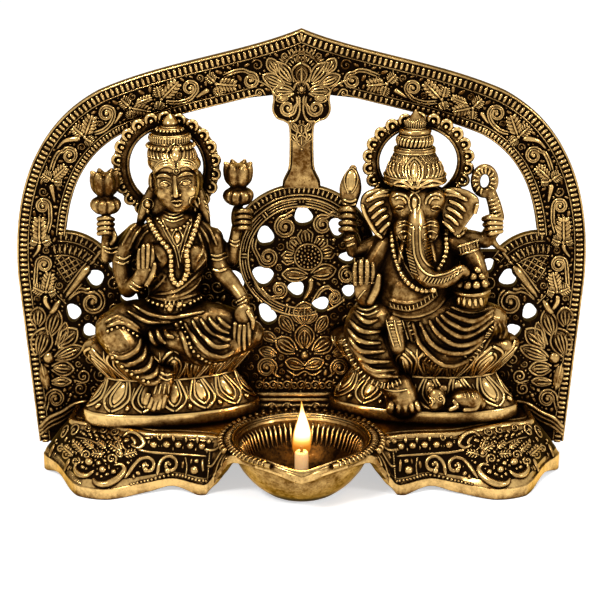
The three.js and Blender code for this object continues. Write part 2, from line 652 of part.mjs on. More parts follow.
function lakshmiLegs() {
  return [
    limb([[-8, -3, 52, 10.5], [-19, -9, 53.5, 10], [-26, -14, 51, 8.6]], 8),
    limb([[-25, -14, 50, 8.6], [-17.6, -16.4, 38.5, 8.4], [-9.5, -17.6, 29, 6]], 8),
    limb([[-2.6, -17.4, 27.6, 4], [-4.2, -18, 20.6, 4.6], [-8.2, -16.6, 13.6, 4]]),
    limb([[8, -4, 52, 10.5], [26, -9, 51.5, 10], [40, -10.5, 47.6, 6.6]], 8),
    limb([[38, -11.5, 46, 6.4], [22, -17, 42.5, 6.8], [2, -15.5, 46.5, 5]], 8),
    limb([[2, -15.5, 46.8, 4], [-6.5, -15.8, 48.2, 3.2]]),
    blob(18.5, -11.5, 43.5, 17.5, 8.6, 12, -6),
  ];
}

function lakshmiFigure() {
  const parts = [
    lotusPlinth(LAKSHMI),
    ...lakshmiBody(),
    ...lakshmiArms(),
    lotusBud(-29, -2.5, 110.9),
    lotusBud(34.6, -1.5, 115.1),
    ...lakshmiLegs(),
    halo(-0.1, 6.4, 127.3, 27, 27.5, 18.5, 19.5, 3.4),
    limb([[-16, 3, 97, 3], [-20.8, 5.6, 112, 3]]),
    limb([[22, 3, 96, 3], [20.8, 5.6, 111, 3]]),
    blob(2, 5, 106, 15, 3, 12),
  ];
  return seatFigure(union(parts), LAKSHMI);
}

// Ganesha sits with his left foot forward on the plinth and his trunk curled to his left.
function ganeshaBody() {
  const torso = oval([
    [42, 20, 12, -5, -3],
    [52, 22, 12.6, -6, -4],
    [62, 22.5, 14, -6.5, -4.6],
    [72, 22, 13.4, -6.5, -4],
    [82, 20.5, 10.5, -5.5, -3],
    [91, 19, 8.8, -4.8, -2.4],
    [97, 11, 7, -5.4, -2.4],
  ], 10);
  const belly = blob(-6.8, -10, 67.5, 15, 9.4, 11.5, 0, 8, 6);
  const head = [blob(-6.4, -6, 111, 13, 10.5, 12.8, 0, 8, 6), blob(-6.4, -9, 101, 10.6, 8.6, 9.6, 0, 8, 6)];
  const temples = [blob(-13, -11.6, 115, 5, 4.4, 5.4), blob(0.2, -11.6, 115, 5, 4.4, 5.4)];
  const trunk = limb([
    [-6.2, -14.4, 110, 4.2],
    [-6, -18, 96, 4.9],
    [-5.2, -19.8, 87, 5],
    [-3.2, -20.8, 81.2, 4.8],
    [0.8, -21.4, 77.6, 4.4],
    [6.8, -21.8, 77.2, 4],
    [12, -21.8, 79.6, 3.4],
    [17, -20.8, 81.4, 2.4],
  ], 8);
  const tusks = [limb([[-11.6, -14, 98, 1.8], [-13.6, -17, 91, 1.2]], 5),
    limb([[0.4, -14, 98, 1.8], [4.2, -17, 92.4, 1.2]], 5)];
  const crown = oval([
    [120, 12.8, 10.4, -6.4, -5.6],
    [123.6, 14.8, 11, -6.4, -5.2],
    [129, 13.6, 10, -6.4, -4.2],
    [134, 10, 8.2, -6.4, -3],
    [136.6, 9.2, 7.4, -6.4, -2.4],
    [140.5, 7.8, 6.6, -6.4, -1.8],
    [144.9, 6.8, 5.8, -6.3, -1],
    [148.2, 4.8, 4.4, -6.1, -0.4],
    [150, 2.4, 2.4, -5.6, 0.2],
    [155.6, 1.3, 1.3, -5.4, 0.6],
  ]);
  return [torso, belly, ...head, ...temples, trunk, ...tusks, crown];
}

// A fan-shaped ear: an upright plate with a waved outer edge.
function ganeshaEar(side) {
  const centre = -6.4;
  const reach = side < 0 ? 24.6 : 29.4;
  const outline = [
    [8, 118],
    [0.5 * reach, 119.5],
    [0.8 * reach, 118],
    [reach, 113],
    [0.97 * reach, 107],
    [0.84 * reach, 101],
    [0.72 * reach, 94.5],
    [0.6 * reach, 92.5],
    [8, 98],
  ].map(([x, z]) => new THREE.Vector2(centre + side * x, z));
  return plate(side < 0 ? outline.reverse() : outline, -8, -4.6);
}

function ganeshaArms() {
  return [
    limb([[-21, -3.6, 90, 6], [-28, -8, 76, 5.4], [-30, -14, 66, 5]]),
    limb([[-30, -14, 66, 5], [-29.2, -17.2, 71, 4]]),
    blob(-30, -18.4, 77.6, 5.4, 2.6, 8, 0),
    limb([[-32.6, -18.4, 82, 1.8], [-32.6, -18.4, 88, 1.5]], 5),
    limb([[-28.8, -18.4, 82, 2], [-28.6, -18.4, 88.6, 1.6]], 5),
    limb([[-20, -1, 91, 5.4], [-29, -2.5, 87, 4.6], [-35.8, -4.5, 86, 4]]),
    limb([[-35.8, -4.5, 86, 3.9], [-36.4, -5.8, 94, 3.2]]),
    blob(-38, -5.6, 100.4, 4.4, 3.8, 5.6),
    limb([[-38, -5.6, 104, 2.4], [-38, -5.4, 110, 3.6], [-37.6, -5, 117, 5.4], [-36.4, -4.6, 127, 1.8]], 8, 0.62),
    limb([[12.4, -3.6, 90.5, 6.2], [20.4, -7, 86.5, 5.8], [23.4, -12, 75, 5]]),
    limb([[24.4, -11, 75, 4.8], [24, -14.4, 65, 4]]),
    blob(21.4, -16, 62.4, 7, 5, 3.6),
    oval([[62, 4.4, 4, 21.4, -17], [64, 7, 5.6, 21.4, -17.2], [70.4, 8.8, 6.8, 21.4, -17.2], [71.4, 7.4, 5.8, 21.4, -17.2],
      [75, 6, 4.6, 21.4, -16.8], [79, 2.6, 2.4, 21.2, -16.4]], 12),
    limb([[14, -1.5, 92, 5.2], [28, -3.4, 91, 4]]),
    limb([[28, -3.4, 91, 3.8], [30.6, -3.8, 97, 3.3]]),
    blob(31, -4, 100, 4.4, 3.8, 5.6),
  ];
}

// The rope noose in the right rear hand: a small loop over a hanging strand.
function ganeshaNoose() {
  const loop = halo(26.8, -2.8, 120.6, 7, 7.9, 2.4, 3.6, 4.2, 14, 8);
  const strand = limb([[30, -2.8, 114.6, 2.5], [32, -3, 109, 2.5], [32.2, -3.4, 102, 2.4], [28.6, -3.4, 91, 1.8]], 5);
  return [loop, strand];
}

function ganeshaLegs() {
  return [
    limb([[-16, -4, 54, 11], [-28, -12, 50, 10], [-31.6, -15, 43, 8.6]], 8),
    limb([[-31, -14, 44, 9.2], [-27.6, -15.6, 33, 9], [-21, -16, 26, 6]], 8),
    limb([[-20.4, -16, 24, 5], [-15.4, -17, 18, 5.2]]),
    blob(-12.4, -16.8, 16, 8.6, 5.4, 6, 14, 8, 5),
    blob(-8.6, -17.4, 12.4, 7, 4.6, 3.8, 10),
    limb([[0, -6, 55, 11], [18, -9.6, 54, 10.6], [33, -11, 52.6, 7.2]], 8),
    blob(12.6, -10.6, 45, 20.6, 9.4, 15, 0, 10, 6),
    blob(9, -12, 38, 14, 8.6, 10, 0, 8, 5),
    blob(35.6, -9.6, 48.6, 4.6, 4, 5.4),
    limb([[-19.6, -16, 48, 4.4], [-20, -18, 36, 5]], 8, 0.6),
  ];
}

// The mouse at the foot of the plinth.
function ganeshaMouse() {
  return [blob(18, -15.8, 13, 8.6, 4.9, 5.8), blob(5, -16.6, 13.6, 5, 4.4, 5.8)];
}

function ganeshaFigure() {
  const parts = [
    lotusPlinth(GANESHA),
    ...ganeshaBody(),
    ganeshaEar(-1),
    ganeshaEar(1),
    ...ganeshaArms(),
    ...ganeshaNoose(),
    ...ganeshaLegs(),
    ...ganeshaMouse(),
    halo(-4.9, 2.2, 129.5, 27, 24, 19.5, 17.5, 3.4),
    blob(-6, 1.2, 104, 21, 3.6, 16),
  ];
  return seatFigure(union(parts), GANESHA);
}

// A figure is set on the platform, bored for its screws and trimmed flat at the back
// where it stands against the panel and the kerb.
function seatFigure(figure, place) {
  const seated = figure.translate([place.x, place.y, PLATFORM_Z + CLEAR]);
  const tall = PANEL_PEAK_Z + 20;
  const panelSide = box(-200, 200, -MEDALLION_RELIEF - CLEAR, 60, 0, tall);
  const kerbs = KERB_STEPS.map(([depth, height]) => (
    box(-200, 200, -2 * CLEAR - depth, 60, 0, PLATFORM_Z + height + CLEAR)
  ));
  const bores = plinthScrewPlaces(place).map(([x, y]) => (
    bar(v3(x, y, PLATFORM_Z - 1), v3(x, y, PLATFORM_Z + PLINTH_SCREW_DEPTH + 1), SCREW_R + CLEAR)
  ));
  return cut(seated, [panelSide, ...kerbs, ...bores]);
}

// A round-head screw: its head under the seat at "from", its shank along the direction.
function screw(from, direction, length) {
  const tip = from.clone().addScaledVector(direction, length);
  const back = from.clone().addScaledVector(direction, -SCREW_HEAD);
  return bar(from.clone().addScaledVector(direction, -0.5), tip, SCREW_R, 6)
    .add(bar(back, from, SCREW_HEAD_R, 10));
}

function panelScrew([x, z]) {
  const seat = v3(x, PANEL_THICKNESS + CLEAR, z);
  const reach = PANEL_THICKNESS + 2 * CLEAR + REAR_WALL + BOSS_LENGTH - 2;
  return screw(seat, v3(0, -1, 0), reach);
}

function plinthScrew([x, y]) {
  const seat = v3(x, y, PLATFORM_Z - SHEET - CLEAR);
  return screw(seat, UP, SHEET + CLEAR + PLINTH_SCREW_DEPTH);
}

// The stub is turned, with a slightly domed top and a bore for the wick.
function waxStub() {
  const base = BOWL_FLOOR_Z + CLEAR;
  const profile = [
    [WICK_R + 0.2, base],
    [STUB_R, base],
    [STUB_R, STUB_TOP_Z - 1.2],
    [STUB_R - 0.9, STUB_TOP_Z - 0.2],
    [WICK_R + 0.2, STUB_TOP_Z],
    [WICK_R + 0.2, base],
  ].map(([r, z]) => new THREE.Vector2(r, z));
  const geometry = new THREE.LatheGeometry(profile, 16);
  geometry.rotateX(Math.PI / 2);
  geometry.translate(0, STUB_Y, 0);
  return solid(outward(mergedOnly(geometry)));
}

function mergedOnly(geometry) {
  const bare = new THREE.BufferGeometry();
  bare.setAttribute("position", geometry.getAttribute("position"));
  bare.setIndex(geometry.index);
  return mergeVertices(bare, 1e-4);
}

function cottonWick() {
  const base = BOWL_FLOOR_Z + CLEAR;
  const core = bar(v3(0, STUB_Y, base), v3(0, STUB_Y, STUB_TOP_Z + WICK_ABOVE - 0.8), WICK_R, 10);
  return core.add(blob(0, STUB_Y, STUB_TOP_Z + WICK_ABOVE - 1.2, 1.1, 1.1, 1.5, 0, 8, 5));
}

const castGold = { color: 0xb98a3a, roughness: 0.38, metalness: 1 };
const FINISHES = {
  back_panel: castGold,
  base_tray: castGold,
  lakshmi_figure: castGold,
  ganesha_figure: castGold,
  screw: { color: 0x8f8a80, roughness: 0.35, metalness: 1 },
  wax_stub: { color: 0xf0dfbf, roughness: 0.55, metalness: 0 },
  cotton_wick: { color: 0x2a211c, roughness: 0.95, metalness: 0 },
};

function addPiece(group, name, body, finish) {
  const { numProp, vertProperties, triVerts } = body.getMesh();
  if (numProp !== 3) throw new Error(`${name} has more than plain positions`);
  const geometry = new THREE.BufferGeometry();
  geometry.setAttribute("position", new THREE.BufferAttribute(new Float32Array(vertProperties), 3));
  geometry.setIndex([...triVerts]);
  geometry.computeVertexNormals();
  const mesh = new THREE.Mesh(geometry, new THREE.MeshStandardMaterial(FINISHES[finish]));
  mesh.name = name;
  group.add(mesh);
}

const lamp = new THREE.Group();
const BACK_Y = PANEL_THICKNESS + CLEAR + SCREW_HEAD;
lamp.position.y = -(SPOUT_TIP_Y + BACK_Y) / 2;

addPiece(lamp, "back_panel", backPanel(), "back_panel");
addPiece(lamp, "base_tray", baseTray(), "base_tray");
addPiece(lamp, "lakshmi_figure", lakshmiFigure(), "lakshmi_figure");
addPiece(lamp, "ganesha_figure", ganeshaFigure(), "ganesha_figure");
addPiece(lamp, "wax_stub", waxStub(), "wax_stub");
addPiece(lamp, "cotton_wick", cottonWick(), "cotton_wick");
panelScrewPlaces().forEach((place, i) => {
  addPiece(lamp, `panel_screw_${i + 1}`, panelScrew(place), "screw");
});
plinthScrewPlaces(LAKSHMI).forEach((place, i) => {
  addPiece(lamp, `lakshmi_screw_${i + 1}`, plinthScrew(place), "screw");
});
plinthScrewPlaces(GANESHA).forEach((place, i) => {
  addPiece(lamp, `ganesha_screw_${i + 1}`, plinthScrew(place), "screw");
});

export default lamp;
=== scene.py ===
import bisect
import heapq
import math
import random

import bmesh
import bpy
from bpy.props import FloatProperty, FloatVectorProperty, IntProperty, PointerProperty
from mathutils import Matrix, Vector
from mathutils.bvhtree import BVHTree


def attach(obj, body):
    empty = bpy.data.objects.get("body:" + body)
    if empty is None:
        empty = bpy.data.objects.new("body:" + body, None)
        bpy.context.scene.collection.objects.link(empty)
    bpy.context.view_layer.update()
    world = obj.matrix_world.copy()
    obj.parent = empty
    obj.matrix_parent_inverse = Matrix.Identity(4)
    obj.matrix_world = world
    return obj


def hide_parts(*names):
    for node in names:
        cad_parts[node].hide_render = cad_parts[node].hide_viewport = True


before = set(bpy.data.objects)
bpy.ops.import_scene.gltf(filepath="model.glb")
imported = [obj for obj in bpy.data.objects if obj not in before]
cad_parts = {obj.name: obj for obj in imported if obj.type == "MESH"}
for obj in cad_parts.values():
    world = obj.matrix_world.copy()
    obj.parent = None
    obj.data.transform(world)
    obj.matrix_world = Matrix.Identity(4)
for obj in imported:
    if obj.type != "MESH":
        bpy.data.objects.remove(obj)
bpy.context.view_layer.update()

bl_info = {
    "name": "Lakshmi and Ganesha Oil Lamp",
    "version": (1, 0, 0),
    "blender": (4, 5, 0),
    "location": "View3D > Sidebar > Oil Lamp",
    "description": "Models a cast oil lamp with two seated figures under a pierced arch",
    "category": "Add Mesh",
}

# The lamp's pieces are drawn in millimetres, with the panel's front face at y = 0 and
# the floor at z = 0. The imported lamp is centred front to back, so places move by this.
TO_CENTRE_Y = 35.2
MM = 0.001
TO_ROW = Matrix.Scale(MM, 4) @ Matrix.Translation((0, TO_CENTRE_Y, 0))

# The photograph's view, found from the lamp's own proportions.
VIEW_PITCH = math.radians(20)
VIEW_DISTANCE = 900
VIEW_FOCUS = 1810.6
VIEW_MIDDLE = (301.5, 300)
VIEW_HEIGHT = 82.8
PHOTO_SIDE = 600
SENSOR_WIDTH = 36
EYE = Vector((0, -VIEW_DISTANCE * math.cos(VIEW_PITCH),
              VIEW_HEIGHT + VIEW_DISTANCE * math.sin(VIEW_PITCH)))
AHEAD = Vector((0, math.cos(VIEW_PITCH), -math.sin(VIEW_PITCH)))
ABOVE = Vector((0, math.sin(VIEW_PITCH), math.cos(VIEW_PITCH)))
RIGHT = Vector((1, 0, 0))


def sight(px, py):
    """The direction from the eye through a point of the 600 x 600 photograph."""
    across = (px - VIEW_MIDDLE[0]) / VIEW_FOCUS
    up = (VIEW_MIDDLE[1] - py) / VIEW_FOCUS
    return (AHEAD + RIGHT * across + ABOVE * up).normalized()


def inside(x, y, ring):
    """Whether a place is within a closed ring of places."""
    count = 0
    for (x0, y0), (x1, y1) in zip(ring, ring[1:] + ring[:1]):
        if (y0 > y) != (y1 > y) and x < x0 + (x1 - x0) * (y - y0) / (y1 - y0):
            count += 1
    return count % 2 == 1


def in_opening(x, z):
    """Whether a place of the panel's face is in one of its openings."""
    return any(box[0] < x < box[1] and box[2] < z < box[3] and inside(x, z, ring)
               for ring, box in OPENING_BOXES)


def on_panel(px, py):
    """The place on the panel's front face under a point of the photograph."""
    ray = sight(px, py)
    place = EYE + ray * (-EYE.y / ray.y)
    return (None if in_opening(place.x, place.z) else place), Vector((0, -1, 0))


def flat(x, z):
    """A place on the panel's front face, in millimetres."""
    return (None if in_opening(x, z) else Vector((x, 0, z))), Vector((0, -1, 0))


# Sizes of the lamp, repeated from its part, in millimetres
PANEL_HALF_WIDTH = 140.2
PANEL_PEAK_Z = 218.3
PANEL_BOTTOM = (134, 6)
PANEL_THICKNESS = 5
SHOULDER_START_Z = 95.4
BAND = 23.5
RIM = 5.2
INNER_RIM = 4.2
FIELD_DEPTH = 0.8
MEDALLION_Z = 105
MEDALLION_R = 36.8
FAN_CENTRE = (118, 90)
FAN_R = 28.2


def new_mesh(bm, name):
    mesh = bpy.data.meshes.new(name)
    bm.to_mesh(mesh)
    bm.free()
    return mesh


def placed(name, data):
    """A new object of the scene that holds some data."""
    made = bpy.data.objects.new(name, data)
    bpy.context.scene.collection.objects.link(made)
    return made


def opened(mesh):
    """A mesh as a bmesh, and the mesh removed."""
    bm = bmesh.new()
    bm.from_mesh(mesh)
    bpy.data.meshes.remove(mesh)
    return bm


def evaluated(data, kind=None, **settings):
    """The mesh that data becomes by its own bevel or by one modifier, and the data removed."""
    held = placed("held", data)
    if kind:
        change = held.modifiers.new("change", kind)
        for key, value in settings.items():
            setattr(change, key, value)
    depsgraph = bpy.context.evaluated_depsgraph_get()
    mesh = bpy.data.meshes.new_from_object(held.evaluated_get(depsgraph))
    bpy.data.objects.remove(held)
    store = bpy.data.curves if isinstance(data, bpy.types.Curve) else bpy.data.meshes
    store.remove(data)
    return mesh


def circle(sides):
    """The cosine and sine of each of the equal steps round a circle."""
    return [(math.cos(2 * math.pi * k / sides), math.sin(2 * math.pi * k / sides)) for k in range(sides)]


def add_piece(name, mesh, material, body="lamp", sharp=None):
    """A mesh drawn in millimetres becomes a finished piece in the lamp's own frame."""
    mesh.transform(TO_ROW)
    mesh.name = name
    if mesh.polygons:
        mesh.shade_smooth()
        if sharp is not None:
            mesh.set_sharp_from_angle(angle=math.radians(sharp))
    piece = placed(name, mesh)
    mesh.materials.clear()
    mesh.materials.append(material)
    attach(piece, body)
    return piece


def joined(meshes):
    """Several meshes as one, each freed."""
    bm = bmesh.new()
    for mesh in meshes:
        bm.from_mesh(mesh)
        bpy.data.meshes.remove(mesh)
    return new_mesh(bm, "joined")


def smooth_points(points, steps):
    """A run through points by Catmull-Rom, with a number of steps to each span."""
    if len(points) < 3 or steps < 2:
        return [tuple(p) for p in points]
    run = []
    last = len(points) - 1
    for i in range(last):
        a, b = points[max(i - 1, 0)], points[i]
        c, d = points[i + 1], points[min(i + 2, last)]
        for k in range(steps):
            t = k / steps
            run.append(tuple(
                0.5 * (2 * q + (r - p) * t + (2 * p - 5 * q + 4 * r - s) * t * t
                       + (3 * q - p - 3 * r + s) * t ** 3)
                for p, q, r, s in zip(a, b, c, d)
            ))
    run.append(tuple(points[-1]))
    return run


def unit_ball():
    bm = bmesh.new()
    bmesh.ops.create_icosphere(bm, subdivisions=2, radius=1)
    places = [v.co.copy() for v in bm.verts]
    sides = [[v.index for v in face.verts] for face in bm.faces]
    bm.free()
    return places, sides


class Relief:
    """Raised ornament, drawn on a surface and later made one mesh.

    The surface is a function from the drawing's own two numbers to a place and the
    direction outwards there."""

    def __init__(self, on, up=-1, bold=1.0):
        self.on = on
        self.up = up
        self.bold = bold
        self.lines = []
        self.domes = []

    def line(self, points, width=0.55, steps=4, taper=True, lift=0.0):
        """A ridge through points. Width is its radius, or one radius for each point."""
        widths = width if isinstance(width, (list, tuple)) else [width] * len(points)
        run = smooth_points([(*p[:2], w) for p, w in zip(points, widths)], steps)
        places = []
        last = len(run) - 1
        for i, (u, v, w) in enumerate(run):
            place, out = self.on(u, v)
            if place is not None:
                share = 0.45 if taper and i in (0, last) else 1.0
                places.append((place + out * lift, w * share * self.bold))
            if (place is None or i == last) and places:
                if len(places) > 1:
                    self.lines.append(places)
                places = []

    def spiral(self, centre, radius, start, turns, sense=1, tail=(), width=0.55, gap=None, eye=0.16):
        """A volute: one ridge, or two side by side, winding in from a tail."""
        gaps = [0] if gap is None else [0, gap]
        steps = max(int(abs(turns) * 10), 6)
        for inset in gaps:
            points = [tuple(p) for p in tail]
            if inset and tail:
                points = self.beside(list(tail), inset * -sense)
            run = []
            for i in range(steps + 1):
                t = i / steps
                r = (radius - inset) * (1 - t) ** 0.75 + radius * eye * t
                a = math.radians(start) + sense * turns * 2 * math.pi * t
                run.append((centre[0] + r * math.cos(a), centre[1] + self.up * r * math.sin(a)))
            self.line(points + run, width, steps=2)
        self.dome(centre, radius * eye * 1.6, radius * eye * 1.6, 0.9)

    def beside(self, points, distance):
        moved = []
        for i, p in enumerate(points):
            a = points[max(i - 1, 0)]
            b = points[min(i + 1, len(points) - 1)]
            dx, dy = b[0] - a[0], b[1] - a[1]
            size = math.hypot(dx, dy) or 1
            moved.append((p[0] + dy / size * distance * self.up, p[1] - dx / size * distance * self.up))
        return moved

    def dome(self, centre, a, b, height, turn=0.0, lift=0.0):
        """A low oval swelling. Its half sizes a and b are in the drawing's own unit."""
        place, out = self.on(*centre)
        if place is None:
            return
        ct, st = math.cos(math.radians(turn)), math.sin(math.radians(turn))
        ends = [self.on(centre[0] + a * ct, centre[1] + self.up * a * st),
                self.on(centre[0] - b * st, centre[1] + self.up * b * ct)]
        if any(e[0] is None for e in ends):
            return
        axes = [e[0] - place for e in ends]
        axes = [x - out * x.dot(out) for x in axes]
        self.domes.append((place + out * lift, axes[0], axes[1], out * height))

    def lobe(self, base, tip, width, leaflets=5, height=0.8, line=0.36):
        """One lobe of a leaf: a midrib with slanting leaflets that make its toothed edge."""
        du, dv = tip[0] - base[0], tip[1] - base[1]
        size = math.hypot(du, dv)
        turn = math.degrees(math.atan2(self.up * dv, du))
        nu, nv = -dv / size, du / size
        width *= 1.25
        at = lambda along, side: (base[0] + du * along + nu * side, base[1] + dv * along + nv * side)
        if not leaflets:
            self.dome(at(0.52, 0), size * 0.5, width * 0.5, height, turn)
        self.line([at(0, 0), at(0.5, 0), at(0.95, 0)], [line * 1.9, line * 1.5, line], 2, lift=height * 0.5)
        self.dome(at(0.88, 0), size * 0.15, width * 0.14, height, turn)
        for k in range(leaflets):
            start = 0.06 + 0.68 * k / max(leaflets - 1, 1)
            reach = width * 0.54 * math.sin(math.pi * (0.3 + 0.6 * start))
            for side in (-1, 1):
                lean = math.degrees(math.atan2(side * reach, size * 0.24))
                length = math.hypot(reach, size * 0.24) / 2
                self.dome(at(start + 0.13, side * reach * 0.55), length * 1.02, size * 0.1, height,
                          turn + self.up * lean)

    def petal(self, base, tip, width, ribs=3, line=0.5, height=0.7, point=0.3, foot=0.25, raised=0.0):
        """A fluted petal: an outline that comes to a point, with ribs inside it."""
        du, dv = tip[0] - base[0], tip[1] - base[1]
        size = math.hypot(du, dv)
        nu, nv = -dv / size, du / size
        at = lambda along, side: (base[0] + du * along + nu * side, base[1] + dv * along + nv * side)
        edge = [(0, foot), (0.3, 0.85), (0.6, 1.0), (0.85, 0.62), (1.0, point * 0.12)]
        for side in (-1, 1):
            self.line([at(t, side * s * width / 2) for t, s in edge], line, 3, taper=False, lift=raised)
        if height:
            turn = math.degrees(math.atan2(self.up * dv, du))
            self.dome(at(0.5, 0), size * 0.44, width * 0.4, height / self.bold ** 4, turn, raised)
        for k in range(ribs):
            share = 0 if ribs == 1 else (k / (ribs - 1) * 2 - 1) * 0.62
            reach = 0.82 - 0.2 * abs(share)
            points = [at(0.08, share * foot * width / 2), at(0.45, share * 0.8 * width / 2),
                      at(reach, share * 0.72 * width / 2)]
            self.line(points, line * (0.72 if self.bold < 1.1 else 1.0), 2,
                      lift=raised + height * 0.7 / self.bold ** 4)

    def arc_reeds(self, centre, inner, outer, start, end, pitch, width=0.55):
        """Short ridges that point at a centre, along an arc given in degrees."""
        length = math.radians(abs(end - start)) * (inner + outer) / 2
        count = max(int(round(length / pitch)), 1)
        for i in range(count + 1):
            a = math.radians(start + (end - start) * i / count)
            ends = [(centre[0] + r * math.cos(a), centre[1] + self.up * r * math.sin(a))
                    for r in (inner, 0.5 * (inner + outer), outer)]
            self.line(ends, [width * 0.8, width, width * 0.8], 1)

    def arc(self, centre, radius, start, end, width=0.5, steps=18):
        points = []
        for i in range(steps + 1):
            a = math.radians(start + (end - start) * i / steps)
            points.append((centre[0] + radius * math.cos(a), centre[1] + self.up * radius * math.sin(a)))
        self.line(points, width, 1, taper=abs(end - start) < 359)

    def net(self, corners, pitch, turn, width=0.35):
        """Crossing ridges over a region with straight sides."""
        for lean in (turn, turn + 90):
            a = math.radians(lean)
            along = (math.cos(a), math.sin(a))
            across = (-along[1], along[0])
            spread = [c[0] * across[0] + c[1] * across[1] for c in corners]
            offset = math.ceil(min(spread) / pitch) * pitch
            while offset < max(spread):
                cuts = []
                for (x0, y0), (x1, y1) in zip(corners, corners[1:] + corners[:1]):
                    d0 = x0 * across[0] + y0 * across[1] - offset
                    d1 = x1 * across[0] + y1 * across[1] - offset
                    if d0 * d1 < 0:
                        t = d0 / (d0 - d1)
                        cuts.append((x0 + (x1 - x0) * t, y0 + (y1 - y0) * t))
                cuts.sort(key=lambda c: c[0] * along[0] + c[1] * along[1])
                for first, second in zip(cuts[::2], cuts[1::2]):
                    middle = ((first[0] + second[0]) / 2, (first[1] + second[1]) / 2)
                    self.line([first, middle, second], width, 2)
                offset += pitch

    def keep(self, allowed):
        """Leave out what stands where it isn't allowed, such as behind the panel's face."""
        lines = []
        for run in self.lines:
            part = []
            for place, width in run + [(None, 0)]:
                if place is not None and allowed(place):
                    part.append((place, width))
                elif part:
                    if len(part) > 1:
                        lines.append(part)
                    part = []
        self.lines = lines
        self.domes = [dome for dome in self.domes if allowed(dome[0])]
        return self

    def meshes(self, mirrored=False, sides=1):
        """The drawing as meshes, on both sides of the lamp where it is mirrored."""
        drawn = joined(([self.ridge_mesh(sides)] if self.lines else []) + [self.dome_mesh()])
        if not mirrored:
            return [drawn]
        bm = opened(drawn.copy())
        bmesh.ops.scale(bm, vec=(-1, 1, 1), verts=bm.verts)
        bmesh.ops.reverse_faces(bm, faces=bm.faces)
        return [drawn, new_mesh(bm, "mirrored")]

    def ridge_mesh(self, sides):
        curve = bpy.data.curves.new("ridges", "CURVE")
        curve.dimensions = "3D"
        curve.bevel_depth = 1
        curve.bevel_resolution = sides
        curve.use_fill_caps = True
        for places in self.lines:
            spline = curve.splines.new("POLY")
            spline.points.add(len(places) - 1)
            for point, (place, width) in zip(spline.points, places):
                point.co = (*place, 1)
                point.radius = width
        return evaluated(curve)

    def dome_mesh(self):
        ball, sides_of_ball = unit_ball()
        places, faces = [], []
        for place, a, b, c in self.domes:
            first = len(places)
            step = -1 if a.cross(b).dot(c) < 0 else 1
            places += [place + a * v.x + b * v.y + c * v.z for v in ball]
            faces += [[first + i for i in side[::step]] for side in sides_of_ball]
        mesh = bpy.data.meshes.new("domes")
        mesh.from_pydata(places, [], faces)
        return mesh


# The panel's outline, as the part draws it
def bezier(p0, p1, p2, p3, steps):
    run = []
    for i in range(steps + 1):
        t = i / steps
        s = 1 - t
        run.append(tuple(s ** 3 * a + 3 * s * s * t * b + 3 * s * t * t * c + t ** 3 * d
                         for a, b, c, d in zip(p0, p1, p2, p3)))
    return run


def panel_outline(steps=40):
    """The arch from its right foot over the peak to its left foot, anticlockwise."""
    w, peak = PANEL_HALF_WIDTH, PANEL_PEAK_Z
    turn = (w - 42.6, peak - 29.9)
    shoulder = bezier((w, SHOULDER_START_Z), (w + 0.7, SHOULDER_START_Z + 35.8),
                      (w - 7.1, peak - 49.1), turn, steps)
    slope = bezier(turn, (0.475 * w, peak - 15.9), (0.188 * w, peak - 11.4), (0, peak), steps)
    foot = [(PANEL_BOTTOM[0] + (w - PANEL_BOTTOM[0]) * i / 20,
             PANEL_BOTTOM[1] + (SHOULDER_START_Z - PANEL_BOTTOM[1]) * i / 20)
            for i in range(20)]
    right = foot + shoulder + slope[1:]
    return right + [(-x, z) for x, z in reversed(right[:-1])]


class Border:
    """Places along the arch: how far along it, and how far in from its edge."""

    def __init__(self):
        self.points = [Vector(p) for p in panel_outline()]
        self.along = [0.0]
        for a, b in zip(self.points, self.points[1:]):
            self.along.append(self.along[-1] + (b - a).length)
        self.length = self.along[-1]
        self.inward = []
        last = len(self.points) - 1
        for i in range(last + 1):
            run = self.points[min(i + 1, last)] - self.points[max(i - 1, 0)]
            self.inward.append(Vector((-run.y, run.x)).normalized())

    def at(self, s, inset):
        s = min(max(s, 0.0), self.length)
        high = bisect.bisect_right(self.along, s, 1, len(self.along) - 1)
        low = high - 1
        t = (s - self.along[low]) / (self.along[high] - self.along[low])
        place = self.points[low].lerp(self.points[high], t)
        inward = self.inward[low].lerp(self.inward[high], t).normalized()
        return tuple(place + inward * inset)


def inset_outline(points, distance):
    """The outline moved inwards, without the points that its feet swallow."""
    moved = []
    count = len(points)
    lowest = points[0][1] + distance
    for i, p in enumerate(points):
        before = (Vector(p) - Vector(points[i - 1])).normalized()
        after = (Vector(points[(i + 1) % count]) - Vector(p)).normalized()
        normal = Vector((-before.y, before.x)) + Vector((-after.y, after.x))
        half = normal.length / 2
        place = Vector(p) + normal.normalized() * (distance / half)
        swallowed = 0 < i < count - 1 and place.y < lowest
        if not swallowed and not (moved and (Vector(moved[-1]) - place).length < 0.15):
            moved.append(tuple(place))
    return moved


# The panel's small openings, as the part has them: [x, z, width, height, tilt in degrees]
MEDALLION_HOLES = [
    (0.9, 21.2, 9.3, 9.4, 0), (-17.7, 11, 7.9, 10.5, 0), (17.5, 15.5, 8, 10, 0),
    (22.5, 0, 8, 6.3, 0), (-19.1, -9.7, 10.4, 10.4, 20), (-2.7, -16.6, 8.4, 8.4, 0),
    (9.6, -24.7, 8.4, 7.9, 0), (23.5, -17.8, 7, 7.3, 0), (-17.1, -30, 8, 11.5, 30),
    (31.5, -11.6, 5.5, 10.5, -25), (-31.5, -11.6, 5.5, 10.5, 25),
]
FAN_HOLES = [
    (-15.7, 4, 9, 9.2, 0), (-4.3, -14, 7.5, 9.2, 0), (-12, -24, 7, 8.4, 0),
    (-32.6, -6, 8.4, 8.4, 0), (-25.7, 11, 5.9, 7.3, 0),
]


